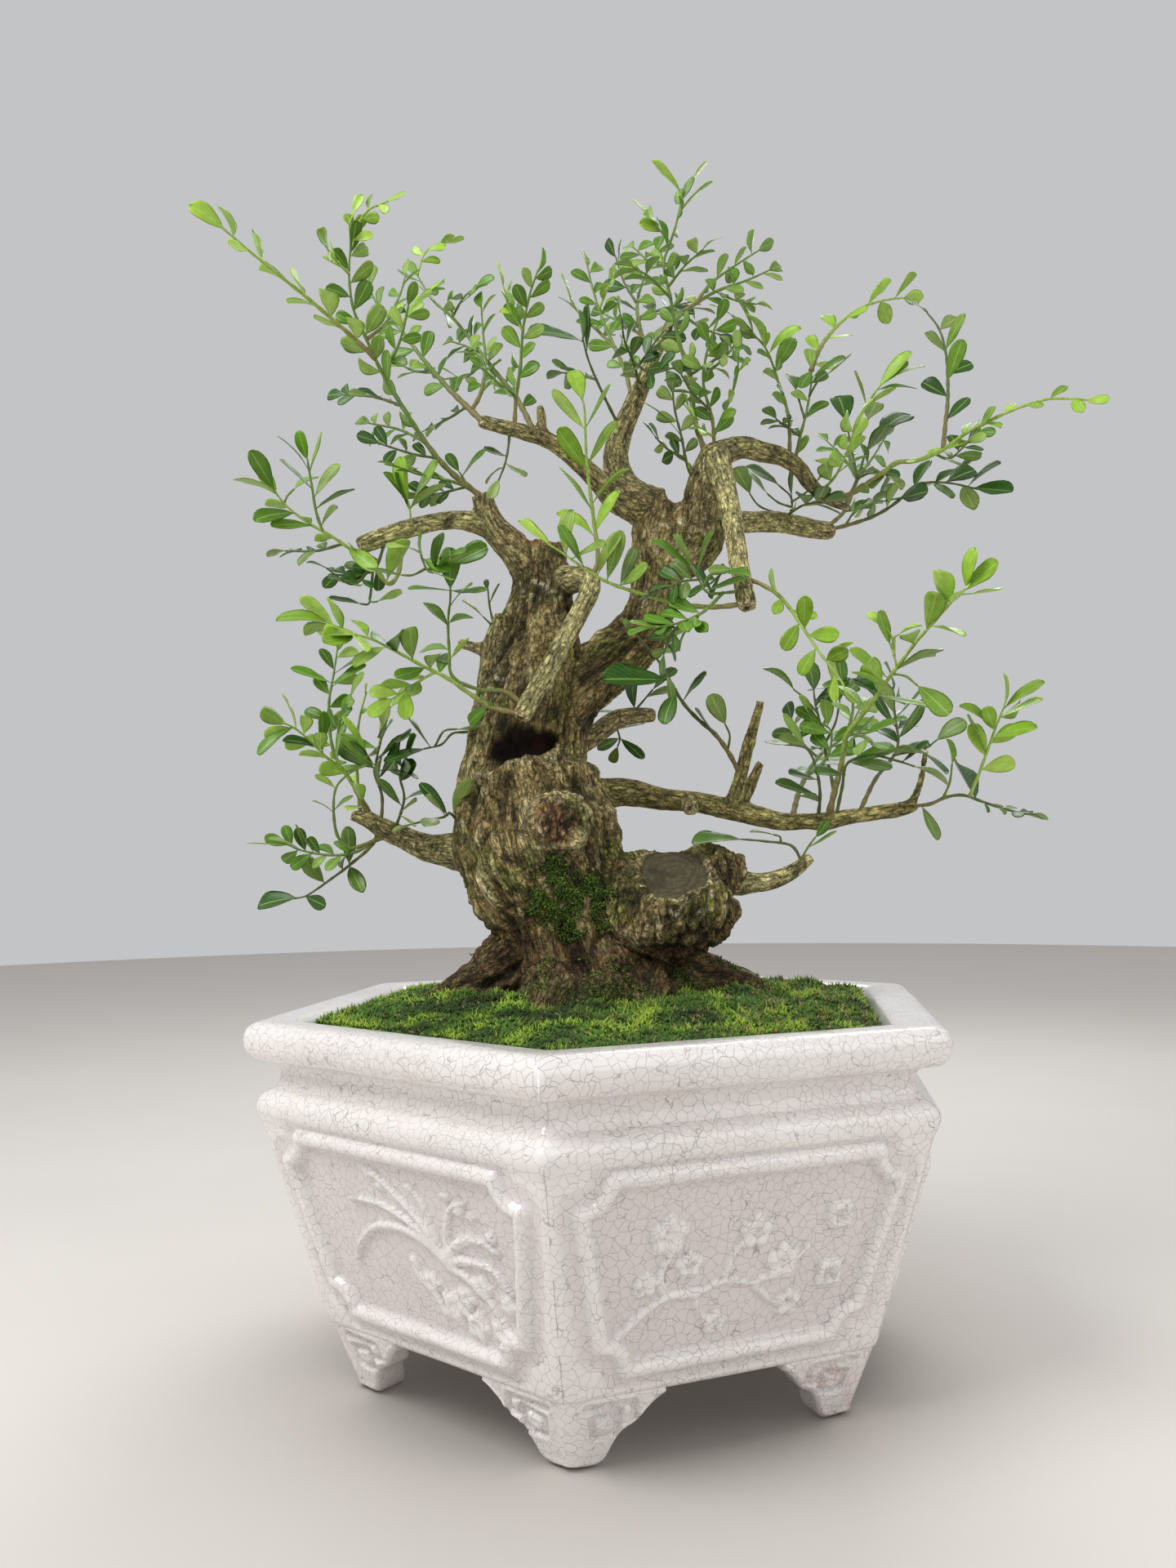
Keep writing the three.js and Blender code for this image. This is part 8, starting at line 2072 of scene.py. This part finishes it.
def make_stage(sizes):
    """A wide pale floor, a pale sky, three soft lights and the camera at the point of view."""
    turn = np.linspace(0, 2 * np.pi, 97)[:-1]
    points = np.vstack([np.column_stack([radius * np.cos(turn), radius * np.sin(turn), 0 * turn + height])
                        for radius, height in FLOOR_RINGS])
    floor = put_mesh("floor", points, [grid_faces(len(FLOOR_RINGS), len(turn), closed_rows=True)[:, ::-1]],
                     [kept_material("floor", floor_material, sizes.floor)])
    world = bpy.data.worlds.new("pale_sky")
    world.use_nodes = True
    world.node_tree.nodes["Background"].inputs["Color"].default_value = SKY
    world.node_tree.nodes["Background"].inputs["Strength"].default_value = sizes.sky
    bpy.context.scene.world = world
    for name, where, size in LIGHTS:
        light = bpy.data.lights.new(name, "AREA")
        light.shape, light.size, light.energy = "DISK", size * MM, getattr(sizes, name)
        lamp = bpy.data.objects.new(name, light)
        place_looking(lamp, np.array(where, float), unit(np.array(LIT_POINT) - where), UP)
    camera = bpy.data.cameras.new("camera")
    camera.sensor_fit, camera.sensor_width, camera.lens = "AUTO", SENSOR, LENS
    camera.clip_start, camera.clip_end = 0.01, 20
    eye = bpy.data.objects.new("camera", camera)
    place_looking(eye, EYE, LOOK, PICTURE_UP)
    bpy.context.scene.camera = eye
    bpy.context.scene.view_settings.view_transform = "Standard"


def place_looking(thing, place, look, up):
    """Puts a lamp or camera at a place, looking along look, with its own up nearest to up."""
    right = unit(np.cross(look, up))
    matrix = np.eye(4)
    matrix[:3, :3] = np.column_stack([right, np.cross(right, look), -look])
    matrix[:3, 3] = place * MM + POT_PLACE
    bpy.context.scene.collection.objects.link(thing)
    thing.matrix_world = Matrix(matrix.tolist())


# Pieces inside the pot that keep their CAD shape
def finish_kept(name, material, make):
    """Gives a node that keeps its CAD shape a procedural material."""
    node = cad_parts[name]
    node.data.materials.clear()
    node.data.materials.append(kept_material(material, make))


# Add-on
class BonsaiPotSettings(bpy.types.PropertyGroup):
    glaze: bpy.props.FloatVectorProperty(
        name="Glaze", description="Colour of the white glaze",
        subtype="COLOR", default=linear("#f7f2ef"), min=0, max=1)
    # The pooled colour is also used as painted shade under the body and near the floor on the feet.
    pool: bpy.props.FloatVectorProperty(
        name="Pooled glaze", description="Colour of the glaze in the recesses of the panels",
        subtype="COLOR", default=linear("#e2d9d8"), min=0, max=1)
    crack: bpy.props.FloatVectorProperty(
        name="Crack", description="Colour of the hair cracks",
        subtype="COLOR", default=linear("#6f6663"), min=0, max=1)
    crack_cell: bpy.props.FloatProperty(
        name="Crack spacing", description="Mean width of the cells between cracks, in millimetres",
        default=3.8, min=2, max=30)


class BonsaiTrunkSettings(bpy.types.PropertyGroup):
    grain: bpy.props.FloatProperty(
        name="Grain", description="Size of the smallest bark detail in the mesh, in millimetres",
        default=1.32, min=0.8, max=4)
    bark: bpy.props.FloatVectorProperty(
        name="Bark", description="Main colour of the bark",
        subtype="COLOR", default=linear("#a18e5a"), min=0, max=1)
    # The crests' colour is partly a painted highlight on the raised bark.
    crest_highlight: bpy.props.FloatVectorProperty(
        name="Crests", description="Colour of the pale crests of the bark",
        subtype="COLOR", default=linear("#e6d7a2"), min=0, max=1)


class BonsaiMossSettings(bpy.types.PropertyGroup):
    clumps: bpy.props.FloatProperty(
        name="Clumps", description="Strength of the mound's clumps",
        default=1.0, min=0, max=3)
    leaves: bpy.props.IntProperty(
        name="Moss leaves", description="Number of small moss leaves on the mound",
        default=36000, min=1000, max=36000)
    shade: bpy.props.FloatVectorProperty(
        name="Moss", description="Main colour of the moss",
        subtype="COLOR", default=linear("#527522"), min=0, max=1)
    tips: bpy.props.FloatVectorProperty(
        name="Young moss", description="Colour of the young moss on the clumps",
        subtype="COLOR", default=linear("#9dbb3a"), min=0, max=1)


class BonsaiLeafSettings(bpy.types.PropertyGroup):
    growth: bpy.props.FloatProperty(
        name="Leaf size", description="Size of the leaves against their natural size",
        default=1.0, min=0.6, max=1.3)
    roughness: bpy.props.FloatProperty(
        name="Roughness", description="Roughness of the leaf skin",
        default=0.36, min=0.1, max=0.9, subtype="FACTOR")
    young: bpy.props.FloatVectorProperty(
        name="Young leaves", description="Colour of the young leaves",
        subtype="COLOR", default=linear("#93c032"), min=0, max=1)
    mid: bpy.props.FloatVectorProperty(
        name="Full-grown leaves", description="Colour of the full-grown leaves",
        subtype="COLOR", default=linear("#5b8c1a"), min=0, max=1)
    dark: bpy.props.FloatVectorProperty(
        name="Old leaves", description="Colour of the old leaves",
        subtype="COLOR", default=linear("#306112"), min=0, max=1)


class BonsaiStageSettings(bpy.types.PropertyGroup):
    floor: bpy.props.FloatVectorProperty(
        name="Floor", description="Colour of the floor",
        subtype="COLOR", default=linear("#e4dfd9"), min=0, max=1)
    key: bpy.props.FloatProperty(
        name="Key light", description="Power of the main light",
        default=6.9, min=0, unit="POWER")
    fill: bpy.props.FloatProperty(
        name="Fill light", description="Power of the light from the right",
        default=1.5, min=0, unit="POWER")
    back: bpy.props.FloatProperty(
        name="Back light", description="Power of the light from behind",
        default=3.0, min=0, unit="POWER")
    sky: bpy.props.FloatProperty(
        name="Sky", description="Strength of the sky's even light",
        default=0.56, min=0)


class BONSAI_OT_pot(bpy.types.Operator):
    """Builds the glazed pot: its body with panels in relief, its rim and its six feet"""
    bl_idname = "bonsai.pot"
    bl_label = "Pot"

    def execute(self, context):
        make_pot(context.scene.bonsai_pot)
        return {"FINISHED"}


class BONSAI_OT_filling(bpy.types.Operator):
    """Gives the soil and the mesh over the drain hole their materials"""
    bl_idname = "bonsai.filling"
    bl_label = "Soil and drain mesh"

    def execute(self, context):
        finish_kept("soil", "damp_soil", soil_material)
        finish_kept("drain_mesh", "black_mesh", plastic_material)
        return {"FINISHED"}


class BONSAI_OT_trunk(bpy.types.Operator):
    """Builds the trunk, its roots and its cut limbs as one skin of bark"""
    bl_idname = "bonsai.trunk"
    bl_label = "Trunk"

    def execute(self, context):
        make_trunk(context.scene.bonsai_trunk)
        return {"FINISHED"}


class BONSAI_OT_moss(bpy.types.Operator):
    """Builds the mound of moss in the pot"""
    bl_idname = "bonsai.moss"
    bl_label = "Moss mound"

    def execute(self, context):
        make_moss(context.scene.bonsai_moss)
        return {"FINISHED"}


class BONSAI_OT_trunk_moss(bpy.types.Operator):
    """Builds the tufts of moss on the trunk and its roots, which must be there first"""
    bl_idname = "bonsai.trunk_moss"
    bl_label = "Moss on the bark"

    def execute(self, context):
        bark = bpy.data.objects.get("trunk_bark")
        if bark is None:
            raise RuntimeError("build the trunk before its moss")
        count = len(bark.data.vertices)
        places, normals = np.empty(count * 3, np.float32), np.empty(count * 3, np.float32)
        bark.data.vertices.foreach_get("co", places)
        bark.data.vertices.foreach_get("normal", normals)
        make_trunk_moss((places.reshape(-1, 3) - POT_PLACE) / MM, normals.reshape(-1, 3).astype(float))
        return {"FINISHED"}


class BONSAI_OT_shoots(bpy.types.Operator):
    """Builds every leafy shoot, its stems and its leaves"""
    bl_idname = "bonsai.shoots"
    bl_label = "Shoots"

    def execute(self, context):
        for order, (name, rows) in enumerate(SHOOTS.items()):
            make_shoot(name, rows, order, context.scene.bonsai_leaf)
        return {"FINISHED"}


class BONSAI_OT_stage(bpy.types.Operator):
    """Builds the floor, the lights and the camera"""
    bl_idname = "bonsai.stage"
    bl_label = "Stage"

    def execute(self, context):
        make_stage(context.scene.bonsai_stage)
        return {"FINISHED"}


OPERATORS = (BONSAI_OT_pot, BONSAI_OT_filling, BONSAI_OT_trunk, BONSAI_OT_moss, BONSAI_OT_trunk_moss,
             BONSAI_OT_shoots, BONSAI_OT_stage)
SETTINGS = {"bonsai_pot": BonsaiPotSettings, "bonsai_trunk": BonsaiTrunkSettings,
            "bonsai_moss": BonsaiMossSettings, "bonsai_leaf": BonsaiLeafSettings,
            "bonsai_stage": BonsaiStageSettings}


class BONSAI_PT_panel(bpy.types.Panel):
    """Lists the pieces of the bonsai"""
    bl_label = "Orange Jasmine Bonsai"
    bl_idname = "BONSAI_PT_panel"
    bl_space_type = "VIEW_3D"
    bl_region_type = "UI"
    bl_category = "Bonsai"

    def draw(self, context):
        for operator in OPERATORS:
            self.layout.operator(operator.bl_idname)
        for name, group in SETTINGS.items():
            box = self.layout.box()
            for key in group.__annotations__:
                box.prop(getattr(context.scene, name), key)


def register():
    """Registers the classes and the settings of the scene."""
    for cls in (*SETTINGS.values(), *OPERATORS, BONSAI_PT_panel):
        bpy.utils.register_class(cls)
    for name, group in SETTINGS.items():
        setattr(bpy.types.Scene, name, bpy.props.PointerProperty(type=group))


def unregister():
    """Removes what register added."""
    for name in SETTINGS:
        delattr(bpy.types.Scene, name)
    for cls in (BONSAI_PT_panel, *reversed(OPERATORS), *reversed(SETTINGS.values())):
        bpy.utils.unregister_class(cls)


def main():
    """Builds all pieces."""
    register()
    bpy.ops.bonsai.pot()
    bpy.ops.bonsai.filling()
    bpy.ops.bonsai.trunk()
    bpy.ops.bonsai.moss()
    bpy.ops.bonsai.trunk_moss()
    bpy.ops.bonsai.shoots()
    bpy.ops.bonsai.stage()


if __name__ == "__main__":
    main()
